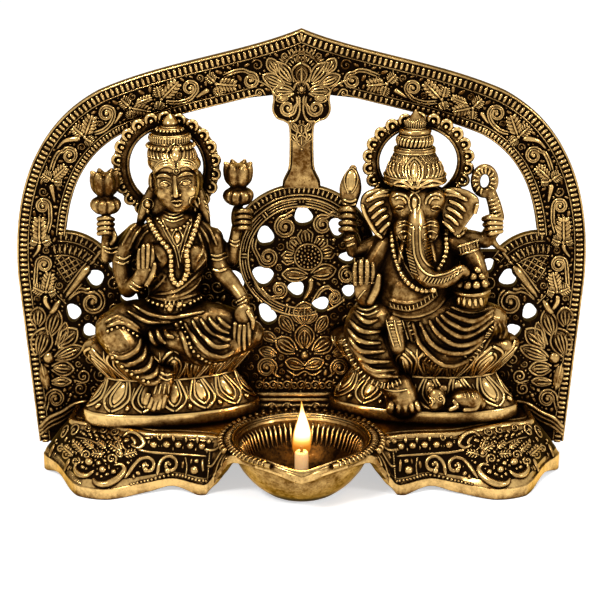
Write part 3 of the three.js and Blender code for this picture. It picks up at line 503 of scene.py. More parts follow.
def cast_hole(x, z, width, height, tilt, wobble=0.08, sides=30):
    """A rounded opening, a little uneven as cast ones are."""
    points = []
    lean = math.radians(tilt)
    for i in range(sides):
        t = 2 * math.pi * i / sides
        swell = 1 + wobble * math.cos(3 * t + x) - 0.5 * wobble * math.cos(2 * t - z)
        a, b = width / 2 * swell * math.cos(t), height / 2 * swell * math.sin(t)
        points.append((x + a * math.cos(lean) - b * math.sin(lean),
                       z + a * math.sin(lean) + b * math.cos(lean)))
    return points


def panel_holes():
    holes = [cast_hole(x, MEDALLION_Z + z, w, h, tilt) for x, z, w, h, tilt in MEDALLION_HOLES]
    for side in (-1, 1):
        for x, z, w, h, tilt in FAN_HOLES:
            holes.append(cast_hole(side * (FAN_CENTRE[0] + x), FAN_CENTRE[1] + z, w, h, side * tilt))
    return holes


OPENINGS = panel_holes()
OPENING_BOXES = [(ring, (min(p[0] for p in ring), max(p[0] for p in ring), min(p[1] for p in ring),
                         max(p[1] for p in ring)))
                 for ring in OPENINGS]


def stem_edge():
    """The right edge of the stem from the medallion up to the arch."""
    top = PANEL_PEAK_Z - BAND
    foot = MEDALLION_Z + MEDALLION_R - 4
    half = [(9.3, 0.05), (8.9, 0.105), (6.4, 0.2), (5.5, 0.3), (5.5, 0.579), (7.9, 0.64), (11.6, 0.667),
            (13.6, 0.737), (13.1, 0.842), (15.2, 0.93), (22.6, 1.0)]
    points = [(x, foot + (top - foot) * share) for x, share in half]
    return smooth_points(points, 5)


def window(side):
    """The large opening between the arch, the stem, the medallion and the fan."""
    inner = [p for p in inset_outline(panel_outline(), BAND) if p[0] < -24 and p[1] > 118.4]
    arch = sorted(inner, key=lambda p: math.atan2(p[1] - 60, p[0]), reverse=True)
    stem = [(-x, z) for x, z in reversed(stem_edge()) if z < 187.5]
    ring = [(MEDALLION_R * math.cos(math.radians(a)), MEDALLION_Z + MEDALLION_R * math.sin(math.radians(a)))
            for a in [105 + 70 * i / 30 for i in range(31)]]
    fan = [(-FAN_CENTRE[0] + FAN_R * math.cos(math.radians(a)),
            FAN_CENTRE[1] + FAN_R * math.sin(math.radians(a)))
           for a in [40 + 46 * i / 20 for i in range(21)]]
    outline = arch + stem + ring + fan
    return [(side * -x, z) for x, z in outline]


WINDOWS = [window(-1), window(1)]


def flat_layer(outlines, front, back, bevel):
    """A sheet of the panel between two depths, from outlines that alternate solid and open."""
    curve = bpy.data.curves.new("layer", "CURVE")
    curve.dimensions = "2D"
    curve.fill_mode = "BOTH"
    curve.extrude = (back - front) / 2 - bevel
    curve.bevel_depth = bevel
    curve.bevel_resolution = 1
    curve.offset = -bevel
    for outline in outlines:
        spline = curve.splines.new("POLY")
        spline.points.add(len(outline) - 1)
        for point, (x, z) in zip(spline.points, outline):
            point.co = (x, z, 0, 1)
        spline.use_cyclic_u = True
    mesh = evaluated(curve)
    stand = Matrix.Translation((0, (front + back) / 2, 0)) @ Matrix.Rotation(math.radians(90), 4, "X")
    mesh.transform(stand)
    return mesh


def panel_plate():
    outline = panel_outline()
    openings = WINDOWS + OPENINGS
    back = flat_layer([outline] + openings, FIELD_DEPTH, PANEL_THICKNESS, 0.3)
    rims = [outline, inset_outline(outline, RIM), inset_outline(outline, BAND - INNER_RIM)]
    front = flat_layer(rims + openings, 0, FIELD_DEPTH + 0.4, 0.25)
    return joined([back, front])


def arch_border():
    """The rows of reeds that edge the arch on both sides of its vine."""
    border = Border()
    relief = Relief(flat, up=1)
    edge = [border.at(border.length * i / 260, 0.55) for i in range(261)]
    relief.line(edge, 0.55, 1, taper=False, lift=-0.1)
    thin = [border.at(border.length * i / 260, 5.5) for i in range(261)]
    relief.line(thin, 0.34, 1, taper=False)
    count = int(border.length / 2.65)
    for i in range(count + 1):
        s = border.length * i / count
        relief.line([border.at(s, d) for d in (1.5, 2.0, 4.3, 4.9)], [0.6, 0.92, 0.92, 0.6], 1, False, -0.15)
        inner = border.at(s, 21.2)
        if inner[1] > 116.5 and abs(inner[0]) > 24:
            relief.line([border.at(s, d) for d in (19.9, 20.3, 22.2, 22.6)], [0.5, 0.8, 0.8, 0.5],
                        1, False, -0.1)
    for inset, width in ((19.2, 0.34), (23.0, 0.42)):
        run = [border.at(border.length * i / 260, inset) for i in range(261)]
        for side in (-1, 1):
            half = [p for p in run if side * p[0] > 20 and p[1] > 115]
            relief.line(half, width, 1, taper=False)
    return relief


def vine(relief):
    """The running vine of the arch's left half, drawn over the photograph."""
    v = relief.spiral
    v((44.3, 264.5), 8.8, 165, 1.45, -1, [(33.8, 286), (34.6, 276)], 0.5, 2.6)
    v((43, 206), 8.2, 0, 1.45, 1, [(48.5, 233), (51.5, 222), (51.6, 213)], 0.5, 2.6)
    v((69.5, 155.5), 9.2, 150, 1.45, -1, [(50, 170), (53, 160), (57.5, 152)], 0.5, 2.6)
    v((106.5, 113.5), 9.2, -20, 1.45, 1, [(95, 134.5), (104, 131.5), (111.5, 124.5)], 0.5, 2.6)
    v((190, 88), 9.0, -60, 1.45, 1, [(166, 103.3), (178, 104), (190, 100.5)], 0.5, 2.6)
    v((250.5, 80.5), 9.0, 100, 1.4, -1, [(223, 75), (235, 70), (244, 69)], 0.5, 2.6)
    leaf = relief.lobe
    for base, tip, width in (
        ((46, 290), (50.5, 272), 10), ((44.5, 292), (33, 287), 9), ((48, 292.5), (56, 290), 9),
        ((39.5, 241), (39.5, 216.5), 11.5), ((38, 242.5), (30.5, 240), 8), ((42, 242.5), (51, 239), 9),
        ((54, 178), (67, 166), 9), ((51.5, 179.5), (42.5, 173.5), 10), ((54, 181.5), (62.5, 182), 8),
        ((85.5, 135), (92.5, 115), 11), ((83.5, 135.5), (73, 126), 10), ((85.5, 138), (93, 143), 9),
        ((129.5, 106.5), (121, 98.5), 10), ((132, 108), (151, 112), 10), ((130, 110), (131, 119), 8),
        ((136, 103.5), (152, 97), 6.5), ((160.5, 97.5), (157, 86.5), 9), ((163, 98), (178.5, 81.5), 10),
        ((161, 101), (158.5, 110), 9), ((215, 82), (207, 74.5), 9), ((218, 84), (237, 85.5), 11),
        ((216.5, 86), (220, 96), 8.5),
    ):
        leaf(base, tip, width)
    stalk = relief.line
    stalk([(46, 295), (46, 302), (51.5, 310)], [0.9, 1.3, 0.8])
    stalk([(40, 244), (38.5, 250), (33, 257)], [1.1, 0.8, 0.4])
    stalk([(51.5, 184), (53, 192), (55, 202)], [1.4, 1.1, 0.5])
    stalk([(80.5, 138.5), (72, 139), (64, 141.5), (57, 149)], [1.3, 1.2, 0.8, 0.4])
    stalk([(122, 112), (118.5, 118), (114.5, 123.5)], [1.2, 0.8, 0.4])
    stalk([(209, 89.5), (203, 93), (196, 98)], [1.3, 1.0, 0.5])
    for spot in ((46.3, 291.5), (40, 242.5), (53, 180.3), (84.8, 136.8), (130.3, 108), (161.5, 99.3),
                 (216.3, 83.8)):
        relief.dome(spot, 2.2, 2.2, 1.1)


def peak_lotus(relief):
    """The lotus under the peak and the volutes of its boss, left half."""
    for base, tip, width in (
        ((292.5, 83), (275.5, 62.5), 14), ((284, 85), (263, 75.5), 12),
        ((278, 73), (268, 58.5), 11), ((294, 91.5), (272.5, 91), 13), ((288, 97.5), (276, 99.5), 7),
    ):
        relief.petal(base, tip, width, 3)
    relief.spiral((287.5, 108), 9.0, 10, 1.35, -1, [(298.5, 96), (300, 102)], 0.6, 2.4)
    relief.line([(298.8, 99), (299.8, 110), (296, 120), (288, 121.5)], 0.6)
    relief.line([(294, 123), (298, 129), (296, 136), (297.5, 141)], 0.55)
    relief.petal((297, 131), (291.5, 122.5), 5, 1, 0.4)
    relief.petal((297, 142), (290.5, 134), 5, 1, 0.4)
    relief.spiral((259, 93), 4.2, 40, 1.2, 1, [(266, 96)], 0.4)


def side_fan(relief):
    """The half lotus, volutes and ribbon leaf down the panel's left side."""
    petal = relief.petal
    for base, tip, width, ribs in (
        ((37.5, 326), (38.5, 307), 15, 3), ((50, 335), (58, 310), 15, 3), ((38, 356), (45.5, 328), 21, 4),
        ((57, 346), (77.5, 329.5), 17, 3), ((55, 358), (83, 347), 13, 3), ((52, 367.5), (74, 369), 14, 3),
        ((52, 382), (71.5, 381), 8, 2), ((60, 347), (66, 322), 9, 2),
    ):
        petal(base, tip, width, ribs, 0.62, 0.9)
    relief.dome((48.8, 357.5), 6, 6, 2.0)
    relief.lobe((41.5, 363), (48, 390), 9, 0, 1.2)
    v = relief.spiral
    v((93, 302), 14.5, 120, 1.4, -1, [(66, 297), (72, 291), (81, 287.5)], 0.75, 4.0)
    v((56, 398.5), 10.5, 200, 1.4, -1, [(44, 409), (45.5, 402)], 0.6, 3.4)
    v((83.5, 376), 6.5, -60, 1.3, 1, [(76, 384)], 0.55)
    v((80.5, 388.5), 6.5, 60, 1.3, -1, [(74, 380)], 0.55)
    v((105, 326), 5, 0, 1.2, 1, [(97, 336)], 0.5)
    line = relief.line
    line([(100.5, 252), (94, 260)], 1.7, 2)
    for k in range(3):
        line([(86.5 + 2.2 * k, 259.5 + 2.6 * k - 5.2 * 0.3), (96 + 1.6 * k - 1, 268.5 + 1.0 * k - 5)], 0.5, 2)
    line([(90, 266), (79, 280), (66.5, 296)], [2.3, 1.9, 1.0], 3)
    line([(86.5, 262.5), (75, 277), (63.5, 292.5)], [0.6, 0.6, 0.4], 3, lift=0.5)
    line([(92.5, 269.5), (82, 283), (69, 298)], [0.6, 0.6, 0.4], 3, lift=0.5)
    line([(57.5, 295), (66, 303.5)], 0.8, 2)
    line([(54.5, 299), (63, 307)], 0.8, 2)
    line([(60, 300), (54, 310), (49, 313)], [1.3, 1.5, 0.7], 3)
    for k, width in enumerate((1.1, 0.9, 0.8)):
        drop = 4.6 * k
        line([(89, 401 + drop * 0.9), (75, 404 + drop), (62, 412 + drop), (49, 418 + drop),
              (39.5, 428 + drop * 0.8)], width, 4)
    for spot in ((70.5, 318.5), (96, 318), (92, 343), (65, 390), (71, 395)):
        relief.dome(spot, 2.4, 2.4, 1.0)


def fan_net(relief):
    """The reeds and the netting of the left fan, in the panel's own millimetres."""
    centre = (-FAN_CENTRE[0], FAN_CENTRE[1])
    relief.arc_reeds(centre, 24.2, 27.5, 90, 33, 2.5, 0.85)
    relief.arc(centre, 28.0, 91, 32, 0.4)
    relief.arc(centre, 23.6, 94, 32, 0.36)
    relief.arc_reeds(centre, 17.4, 22.0, 100, 40, 2.7, 1.0)
    relief.arc(centre, 16.3, 104, 34, 0.4)
    corners = []
    for i in range(11):
        a = math.radians(102 - 64 * i / 10)
        corners.append((centre[0] + 15.8 * math.cos(a), centre[1] + 15.8 * math.sin(a)))
    corners += [(centre[0] + 3.4, centre[1] + 1.2), (centre[0] - 2.2, centre[1] + 5)]
    relief.net(corners, 2.6, 30, 0.5)


def medallion_ring(relief):
    centre = (0, MEDALLION_Z)
    for radius, width in ((26.4, 0.55), (30.5, 0.6)):
        relief.arc(centre, radius, 0, 360, width, 72)
    breaks = [90, 129, 178, 208, 256, 300, 335, 2, 50]
    ordered = sorted(b % 360 for b in breaks)
    for first, second in zip(ordered, ordered[1:] + [ordered[0] + 360]):
        for turn in (first - 1.6, first + 1.6):
            a = math.radians(turn)
            ends = [(centre[0] + r * math.cos(a), centre[1] + r * math.sin(a)) for r in (25.9, 28.4, 31)]
            relief.line(ends, 0.5, 1)
        for radius in (27.8, 29.2):
            relief.arc(centre, radius, first + 4, second - 4, 0.36, 14)
    relief.arc_reeds(centre, 33.3, 36.2, 45, 135, 2.4, 0.82)
    relief.arc(centre, 32.4, 44, 136, 0.42, 30)
    relief.arc(centre, 36.6, 44, 136, 0.36, 30)


def medallion_flower(relief):
    """What fills the medallion and the panel below it, drawn over the photograph."""
    v = relief.spiral
    v((285.5, 227), 12, 90, 1.6, 1, [(298, 208.5), (291, 211.5)], 0.62, 3.2)
    v((323, 224.5), 10.5, 60, 1.5, 1, [(341, 214), (333, 211.5)], 0.62, 3.2)
    v((268, 257), 11, 180, 1.5, 1, [(253.5, 238), (252, 247)], 0.62, 3.2)
    v((279, 289.5), 9, -110, 1.4, 1, [(253, 280), (259, 290), (268, 299)], 0.62, 3.0)
    v((347, 275), 9.5, 60, 1.3, 1, [], 0.62, 3.0)
    v((334, 297), 7.5, 100, 1.3, -1, [(312, 302), (319, 290), (328, 285.5)], 0.6, 2.6)
    v((266.5, 367.7), 11, -40, 1.7, 1, [(281, 377)], 0.55, 3.0)
    v((340, 367.7), 10, 220, 1.5, -1, [(328, 377)], 0.55, 3.0)
    middle = (308.4, 256.8)
    for k in range(36):
        ring, place = (1, k) if k < 6 else ((2, k - 6) if k < 18 else (3, k - 18))
        a = 2 * math.pi * place / (6 * ring) + 0.3 * ring
        relief.dome((middle[0] + 3.7 * ring * math.cos(a), middle[1] + 3.5 * ring * math.sin(a)),
                    1.5, 1.5, 0.7)
    relief.dome(middle, 1.5, 1.5, 0.8)
    ring_points = [(middle[0] + 13.8 * math.cos(2 * math.pi * i / 30),
                    middle[1] + 12.8 * math.sin(2 * math.pi * i / 30))
                   for i in range(31)]
    relief.line(ring_points, 0.5, 1, taper=False)
    for turn, reach, width in ((98, 28, 15), (139, 26, 14), (183, 27, 13), (49, 26, 13), (13, 27, 13)):
        a = math.radians(turn)
        ends = [(middle[0] + r * math.cos(a), middle[1] - r * math.sin(a)) for r in (14.5, reach)]
        relief.petal(ends[0], ends[1], width, 3, 0.5, 0.8, point=3.2, foot=0.7)
    petal = relief.petal
    for base, tip, width, ribs in (
        ((307.5, 275.5), (282, 274), 13, 2), ((311.5, 274.5), (336, 269), 15, 2),
        ((304.6, 323.5), (304.6, 301.5), 22, 1), ((304.6, 323), (304.6, 307), 13, 3),
        ((304.6, 348), (304.6, 324.5), 19, 1), ((304.6, 347.5), (304.6, 330), 12, 3),
        ((292.5, 331.5), (280, 315.5), 12, 3), ((316.7, 331.5), (327, 316), 11, 3),
        ((296, 351.5), (276, 339), 16, 3), ((313, 351.5), (333, 339), 16, 3),
        ((304, 366.5), (285.5, 361), 11, 2), ((305.2, 366.5), (323.5, 361), 11, 2),
        ((276, 354), (259, 349.5), 10, 3), ((333, 354), (347, 350), 10, 3), ((276, 340), (262, 333), 9, 2),
    ):
        petal(base, tip, width, ribs, 0.5, 0.8)
    for k in range(5):
        lean = (k - 2) * 4.3
        relief.petal((304.6 + lean * 0.45, 323), (304.6 + lean * 1.5, 311 + abs(lean) * 0.45), 4,
                     0, 0.36, 0.6)
    relief.line([(311, 277.5), (310.5, 288), (303.5, 300.5)], [1.5, 1.6, 0.7])
    relief.dome((304.6, 355), 4.6, 4.6, 1.9)
    relief.line([(287, 370), (296, 375), (304.6, 371), (313, 375), (322, 370)], 0.45)
    for k in range(7):
        x = 262 + 14 * k
        relief.spiral((x - 3, 385), 4.6, 0, 1.3, 1, [(x - 1.5, 391)], 0.45)
        relief.spiral((x + 4.2, 386), 4.0, 180, 1.2, -1, [(x + 2, 379)], 0.45)
    for spot in ((296, 243), (258, 300), (264, 311), (344, 300), (338, 254), (334, 240),
                 (299, 291), (287, 305)):
        relief.dome(spot, 2.2, 2.2, 0.9)


def peak_middle(relief):
    """The parts of the peak's lotus that stand on the middle line."""
    relief.petal((301.5, 84), (301.5, 63), 19, 1, 0.6, 1.0)
    relief.petal((301.5, 82), (301.5, 69), 10, 1, 0.5, 0.7)
    relief.line([(293.5, 89.5), (296, 84), (301.5, 81.7), (307, 84), (309.5, 89.5)], 0.65)
    relief.line([(301.5, 84.5), (305, 89), (301.5, 93.5), (298, 89), (301.5, 84.5)], 0.5, 1)
    relief.dome((301.5, 89), 3, 3.6, 1.4)
    relief.petal((301.5, 134), (301.5, 124), 9, 1, 0.5, 0.9)
    relief.petal((301.5, 146), (301.5, 135), 10, 1, 0.5, 0.9)
    relief.dome((301.5, 149), 1.8, 1.8, 1)


def peak_reeds(relief):
    centre = (0, 198.1)
    relief.arc_reeds(centre, 9.4, 12.4, 22, 158, 1.75, 0.52)
    relief.arc(centre, 8.7, 20, 160, 0.36)
    relief.arc_reeds(centre, 5.4, 7.8, 20, 160, 1.6, 0.48)
    for side in (-1, 1):
        relief.line([(side * x, z) for x, z in stem_edge() if z > 150], 0.5, 1, taper=False)


def fill_gaps(relief, marks, allowed, regions, least=0.75, most=4.4):
    """Curls and grains that fill what the drawn ornament leaves free.

    Each mark is a place and the reach that is already taken there. The widest gaps are
    filled first."""
    cell = 6.0
    step = 0.7
    cells = {}

    def put(mark):
        cells.setdefault((int(mark[0] // cell), int(mark[1] // cell)), []).append(mark)

    def room(u, v):
        i, j = int(u // cell), int(v // cell)
        found = [math.hypot(u - mu, v - mv) - r for di in (-1, 0, 1) for dj in (-1, 0, 1)
                 for mu, mv, r in cells.get((i + di, j + dj), ())]
        return min(found, default=cell)

    for mark in marks:
        put(mark)
    scatter = random.Random(7)
    for u0, u1, v0, v1 in regions:
        spots = []
        for i in range(int((u1 - u0) / step)):
            for j in range(int((v1 - v0) / step)):
                u, v = u0 + step * i, v0 + step * j
                free = room(u, v)
                if free > least and allowed(u, v):
                    spots.append((-free, u, v))
        heapq.heapify(spots)
        while spots:
            free, u, v = heapq.heappop(spots)
            now = room(u, v)
            if now < -free - 0.05:
                if now > least:
                    heapq.heappush(spots, (-now, u, v))
                continue
            r = min(now, most) - 0.2
            if r > 1.9:
                relief.spiral((u, v), r - 0.45, scatter.uniform(0, 360), 1.25,
                              scatter.choice((-1, 1)), [], 0.5)
            elif r > 1.15:
                relief.dome((u, v), r * 1.1, r * 0.6, 0.9, scatter.uniform(0, 180))
            else:
                relief.dome((u, v), r * 0.85, r * 0.85, 0.8)
            put((u, v, r))
    return relief


def taken(reliefs, second):
    """The marks that drawn ornament makes. Second is the axis across from X: 1 in plan, 2 on the panel."""
    marks = [(place.x, place[second], width) for drawn in reliefs for run in drawn.lines
             for place, width in run]
    return marks + [(place.x, place[second], 0.8 * min(a.length, b.length))
                    for drawn in reliefs for place, a, b, _ in drawn.domes]


def panel_curls(reliefs, regions):
    marks = taken(reliefs, 2) + [(x, z, 5.2) for x, z in panel_outline(30)]
    for hole in OPENINGS + WINDOWS:
        for (x0, z0), (x1, z1) in zip(hole, hole[1:] + hole[:1]):
            steps = max(int(math.hypot(x1 - x0, z1 - z0)), 1)
            marks += [(x0 + (x1 - x0) * k / steps, z0 + (z1 - z0) * k / steps, 1.1) for k in range(steps)]
    rim = panel_outline(6)
    free = lambda x, z: (inside(x, z, rim) and not in_opening(x, z)
                         and not any(inside(x, z, w) for w in WINDOWS))
    return fill_gaps(Relief(flat, up=1, bold=1.1), marks, free, regions)


def stem_face():
    """The smooth face of the stem between its foot and its boss."""
    right = [(x - 0.9, z) for x, z in stem_edge() if 139 < z < 165]
    return flat_layer([right + [(-x, z) for x, z in reversed(right)]], -0.35, 0.2, 0.25)


# The base casting's sizes, repeated from its part, in millimetres
PLATFORM_Z = 26
SHEET = 3
CLEAR = 0.3
SKIRT_HALF_WIDTH = PANEL_HALF_WIDTH - 11.3
PLATFORM_HALF_WIDTH = SKIRT_HALF_WIDTH - 14.4
KERB_HALF_WIDTH = SKIRT_HALF_WIDTH - 22.9
KERB_STEPS = ((5, 2.6), (3.2, 5), (1.8, 7.5))
BOWL_CENTRE_Y = -43.8
BOWL_HALF_WIDTH = 31.8
BOWL_HALF_DEPTH = 28.1
BOWL_FLOOR_Z = 4.2
BOWL_FOOT_R = 15.5
SPOUT_TIP_Y = BOWL_CENTRE_Y - 34.1
BOWL_REEDS = 66
REAR_HALF_WIDTH = SKIRT_HALF_WIDTH - 4.4
WING_END_Z = PLATFORM_Z - 17.5
REAR_WALL = 3
BOSS_R = 4.6
BOSS_TIP_R = 4.2
BOSS_DEPTH = 7
PANEL_SCREW_X = (104, 40)
PANEL_SCREW_Z = 15
PLINTH_SCREW_OUT = 22
PLINTH_SCREW_FORWARD = 4.5


def skin(bm, rings, closed=True, capped=False):
    """A grid whose vertices are set on rings of equally many places. Returns its vertices."""
    rows, columns = len(rings), len(rings[0]) + (1 if closed else 0)
    made = bmesh.ops.create_grid(bm, x_segments=columns - 1, y_segments=rows - 1, size=1)["verts"]
    ends = {0: [], rows - 1: []}
    for vertex in made:
        column = round((vertex.co.x + 1) / 2 * (columns - 1))
        row = round((vertex.co.y + 1) / 2 * (rows - 1))
        vertex.co = rings[row][column % len(rings[0])]
        if row in ends:
            ends[row].append(vertex)
    if closed:
        bmesh.ops.remove_doubles(bm, verts=made, dist=1e-5)
    kept = [v for v in made if v.is_valid]
    if capped:
        for row in ends:
            around = {v for v in ends[row] if v.is_valid}
            edges = [e for v in around for e in v.link_edges if e.is_boundary and e.other_vert(v) in around]
            bmesh.ops.contextual_create(bm, geom=list(set(edges)))
    return kept


def finished(bm, name):
    bmesh.ops.recalc_face_normals(bm, faces=bm.faces)
    return new_mesh(bm, name)


def base_stations():
    """The base's right edge from the spout to the rear: its top, its depth and the brow."""
    end, bowl, tip = SKIRT_HALF_WIDTH, BOWL_HALF_WIDTH, SPOUT_TIP_Y
    top, wide = PLATFORM_Z, PLATFORM_HALF_WIDTH
    crest, corner = bowl + 7.3, bowl + 14.8
    wing = lambda share: corner + (end - 22.4 - corner) * share
    rows = (
        (0, tip, top - 3, 4, 0, -46),
        (5.8, tip + 0.9, top - 1.5, 4, 5, -46),
        (11.7, tip + 4.6, top - 0.5, 4, 10, -46),
        (0.75 * bowl, tip + 11.3, top + 0.5, 4, 0.63 * bowl, -46),
        (bowl + 1.8, tip + 17.9, top, 4.5, bowl - 1.8, -47),
        (crest, tip + 24, top - 9, 4.5, bowl + 3.7, -45),
        (crest + 4.8, tip + 28.1, top - 17.5, 5, bowl + 7.2, -42),
        (corner, tip + 27.5, top - 20, top, bowl + 10.7, -39.8),
        (corner + 3.9, tip + 27.3, top - 19.7, top, bowl + 15.2, -38.2),
        (wing(0.267), tip + 31.3, top - 18.5, 4.5, wing(0.19), -36.6),
        (wing(0.467), tip + 28.7, top - 19.4, 5.5, wing(0.48), -35.2),
        (wing(0.773), tip + 22.2, top - 20, top, wing(0.698), -29.7),
        (end - 22.4, tip + 25, top - 20, top, wide - 13, -24.3),
        (end - 16.3, tip + 31.5, top - 19.7, 6, wide - 6.5, -22.8),
        (end - 8.3, tip + 47.2, top - 18.5, 5, wide - 1.2, -20.5),
        (end - 0.6, tip + 56.4, top - 17.5, top, wide, -16.5),
        (end, tip + 61.6, top - 17.5, top, wide, -12),
        (end - 3.3, tip + 71.3, top - 17.5, 6, wide - 0.5, -6),
        (REAR_HALF_WIDTH, -CLEAR, WING_END_Z, 6, wide - 1, -CLEAR),
    )
    return [(x, y, z, min(depth, z), bx, by) for x, y, z, depth, bx, by in rows]


def both_sides(points, steps):
    right = [Vector(p) for p in smooth_points(points, steps)]
    return [Vector((-p.x, p.y, p.z)) for p in reversed(right[1:])] + right


def base_runs(steps=6):
    """The base's edge, brow, rear line and edge depth, from its left end to its right end."""
    rows = base_stations()
    rear_end = PLATFORM_HALF_WIDTH - 7.5
    first = next(i for i, r in enumerate(rows) if r[4] > rear_end)
    edge = both_sides([r[:3] for r in rows], steps)
    brow = both_sides([(r[4], r[5], PLATFORM_Z) for r in rows], steps)
    rear = both_sides([(min(r[4], rear_end) + 0.9 * max(i - first, 0), -CLEAR, PLATFORM_Z)
                       for i, r in enumerate(rows)], steps)
    depth = both_sides([(0, 0, r[3]) for r in rows], steps)
    return edge, brow, rear, depth


def base_sheet(bm):
    edge, brow, rear, depth = base_runs()
    last = len(edge) - 1
    sections = []
    for i, p in enumerate(edge):
        run = edge[min(i + 1, last)] - edge[max(i - 1, 0)]
        inward = Vector((-run.y, run.x, 0)).normalized()
        if i in (0, last):
            inward = Vector((-math.copysign(1, p.x), 0, 0))
        b, r = brow[i], rear[i]
        low = max(p.z - depth[i].z, 0)
        slope = [b.lerp(p, t) + Vector((0, 0, 1.1 * math.sin(math.pi * t)))
                 for t in (0.12, 0.3, 0.5, 0.7, 0.88)]
        down = Vector((0, 0, -1))
        lip = p + inward * 0.9
        lip.z = p.z + 0.1
        section = [r, r.lerp(b, 0.5), b.lerp(r, 0.04), b, *slope, lip, p + down * 0.35,
                   Vector((p.x, p.y, low + 0.4)), Vector((p.x, p.y, low)) + inward * 0.4]
        section.append(Vector((p.x, p.y, low)) + inward * 3.2)
        for t, inset, drop in ((0.7, 2.2, 2.4), (0.4, 1.4, 2.7), (0.0, 0.9, 3.0)):
            section.append(b.lerp(p, t) + inward * inset + down * drop)
        section.append(r.lerp(b, 0.5) + down * SHEET)
        section.append(r + down * SHEET)
        sections.append(section)
    skin(bm, sections, closed=True, capped=True)


def bowl_ring(scale, z, grow=0.0, spout=1.0, sides=144, ripple=0.0):
    ring = []
    for i in range(sides):
        t = 2 * math.pi * i / sides
        from_front = abs((t + math.pi) % (2 * math.pi) - math.pi)
        pull = spout * math.exp(-((from_front / 0.32) ** 2))
        wave = ripple * (0.5 + 0.5 * math.cos(BOWL_REEDS * t)) * min(max((from_front - 0.75) / 0.3, 0), 1)
        x = (BOWL_HALF_WIDTH * scale + grow + wave) * math.sin(t)
        y = -(BOWL_HALF_DEPTH * scale + grow + wave) * math.cos(t) - 3 * pull
        ring.append(Vector((x, BOWL_CENTRE_Y + y, z - 2.6 * pull)))
    return ring


def bowl_wall(bm):
    """The oil bowl as one skin, from the middle of its floor over the rim to its foot."""
    top, floor = PLATFORM_Z, BOWL_FLOOR_Z
    deep = top - floor
    foot = BOWL_FOOT_R / BOWL_HALF_WIDTH
    rings = [bowl_ring(scale, floor + share * deep, 0, 0) for scale, share in
             ((0.02, 0), (0.2, 0), (0.38, 0.0), (0.46, 0.008), (0.54, 0.055), (0.61, 0.13), (0.67, 0.22),
              (0.74, 0.33), (0.8, 0.45))]
    rings += [bowl_ring(scale, floor + share * deep, 0, pull, ripple=ripple) for scale, share, pull, ripple in
              ((0.845, 0.55, 0.2, 0.0), (0.87, 0.60, 0.3, -0.2), (0.905, 0.70, 0.5, -1.0),
               (0.925, 0.78, 0.6, -1.1), (0.945, 0.86, 0.75, -0.9), (0.955, 0.9, 0.85, 0.0),
               (0.975, 0.96, 0.95, 0.0))]
    rings += [bowl_ring(1, z, grow, 1) for z, grow in
              ((top + 0.6, 0.1), (top + 1.3, 0.7), (top + 1.5, 1.5), (top + 1.1, 2.3), (top + 0.2, 2.7),
               (top - 1.5, 2.8))]
    rings += [bowl_ring(1.06, 0.9 * top, 0.4, 0.8), bowl_ring(1.05, 0.79 * top, 0, 0)]
    rings += [bowl_ring(scale, share * top, 0, 0) for scale, share in
              ((0.98, 0.635), (0.93, 0.52), (0.87, 0.42), (0.8, 0.31), (0.72, 0.21), (0.63, 0.12),
               (foot + 0.06, 0.045), (foot + 0.01, 0.012), (foot - 0.02, 0), (0.2, 0), (0.02, 0))]
    skin(bm, rings, closed=True, capped=True)


def rear_kerb(bm):
    """Three stepped mouldings with rolled edges along the back of the platform."""
    section = []
    height = PLATFORM_Z - 1
    for depth, rise in KERB_STEPS:
        y, z = -CLEAR - depth, PLATFORM_Z + rise
        section += [(y, height), (y, z - 1.1), (y + 0.35, z - 0.35), (y + 1.1, z)]
        height = z
    section += [(-CLEAR, height), (-CLEAR, PLATFORM_Z - 1)]
    rings = [[Vector((x, y, z)) for y, z in section]
             for x in (-KERB_HALF_WIDTH, -KERB_HALF_WIDTH / 3, KERB_HALF_WIDTH / 3, KERB_HALF_WIDTH)]
    skin(bm, rings, closed=True, capped=True)


def rear_wall_mesh():
    end = REAR_HALF_WIDTH
    right = [(end, 0), (end, WING_END_Z), (PLATFORM_HALF_WIDTH - 1, PLATFORM_Z - 0.5)]
    return flat_layer([right + [(-x, z) for x, z in reversed(right)]], -CLEAR - REAR_WALL, -CLEAR, 0.2)


def panel_screw_places():
    return [(side * x, PANEL_SCREW_Z) for x in PANEL_SCREW_X for side in (-1, 1)]


def plinth_screw_places(figure):
    turn = math.radians(figure["turn"])
    return [(figure["x"] + side * PLINTH_SCREW_OUT * math.cos(turn),
             figure["y"] - PLINTH_SCREW_FORWARD + side * PLINTH_SCREW_OUT * math.sin(turn))
            for side in (-1, 1)]


def base_mesh():
    """The base casting: its sheet cut out for the bowl, the bowl, kerb, rear wall and bosses."""
    bm = bmesh.new()
    base_sheet(bm)
    sheet = finished(bm, "sheet")
    bm = bmesh.new()
    skin(bm, [bowl_ring(1, z, 0.9, 1) for z in (-4, 12, 50)], closed=True, capped=True)
    hollow = finished(bm, "hollow")
    sheet = cut_by(sheet, hollow)
    bm = bmesh.new()
    bowl_wall(bm)
    rear_kerb(bm)
    for x, z in panel_screw_places():
        middle = Matrix.Translation((x, -CLEAR - REAR_WALL - BOSS_DEPTH / 2, z))
        bmesh.ops.create_cone(bm, cap_ends=True, segments=32, radius1=BOSS_R, radius2=BOSS_TIP_R,
                              depth=BOSS_DEPTH, matrix=middle @ Matrix.Rotation(math.radians(90), 4, "X"))
    return joined([sheet, finished(bm, "bowl"), rear_wall_mesh()])


def cut_by(mesh, cutter):
    """A mesh with another taken out of it."""
    tool = placed("tool", cutter)
    result = evaluated(mesh, "BOOLEAN", operation="DIFFERENCE", solver="EXACT", object=tool)
    bpy.data.objects.remove(tool)
    bpy.data.meshes.remove(cutter)
    return result


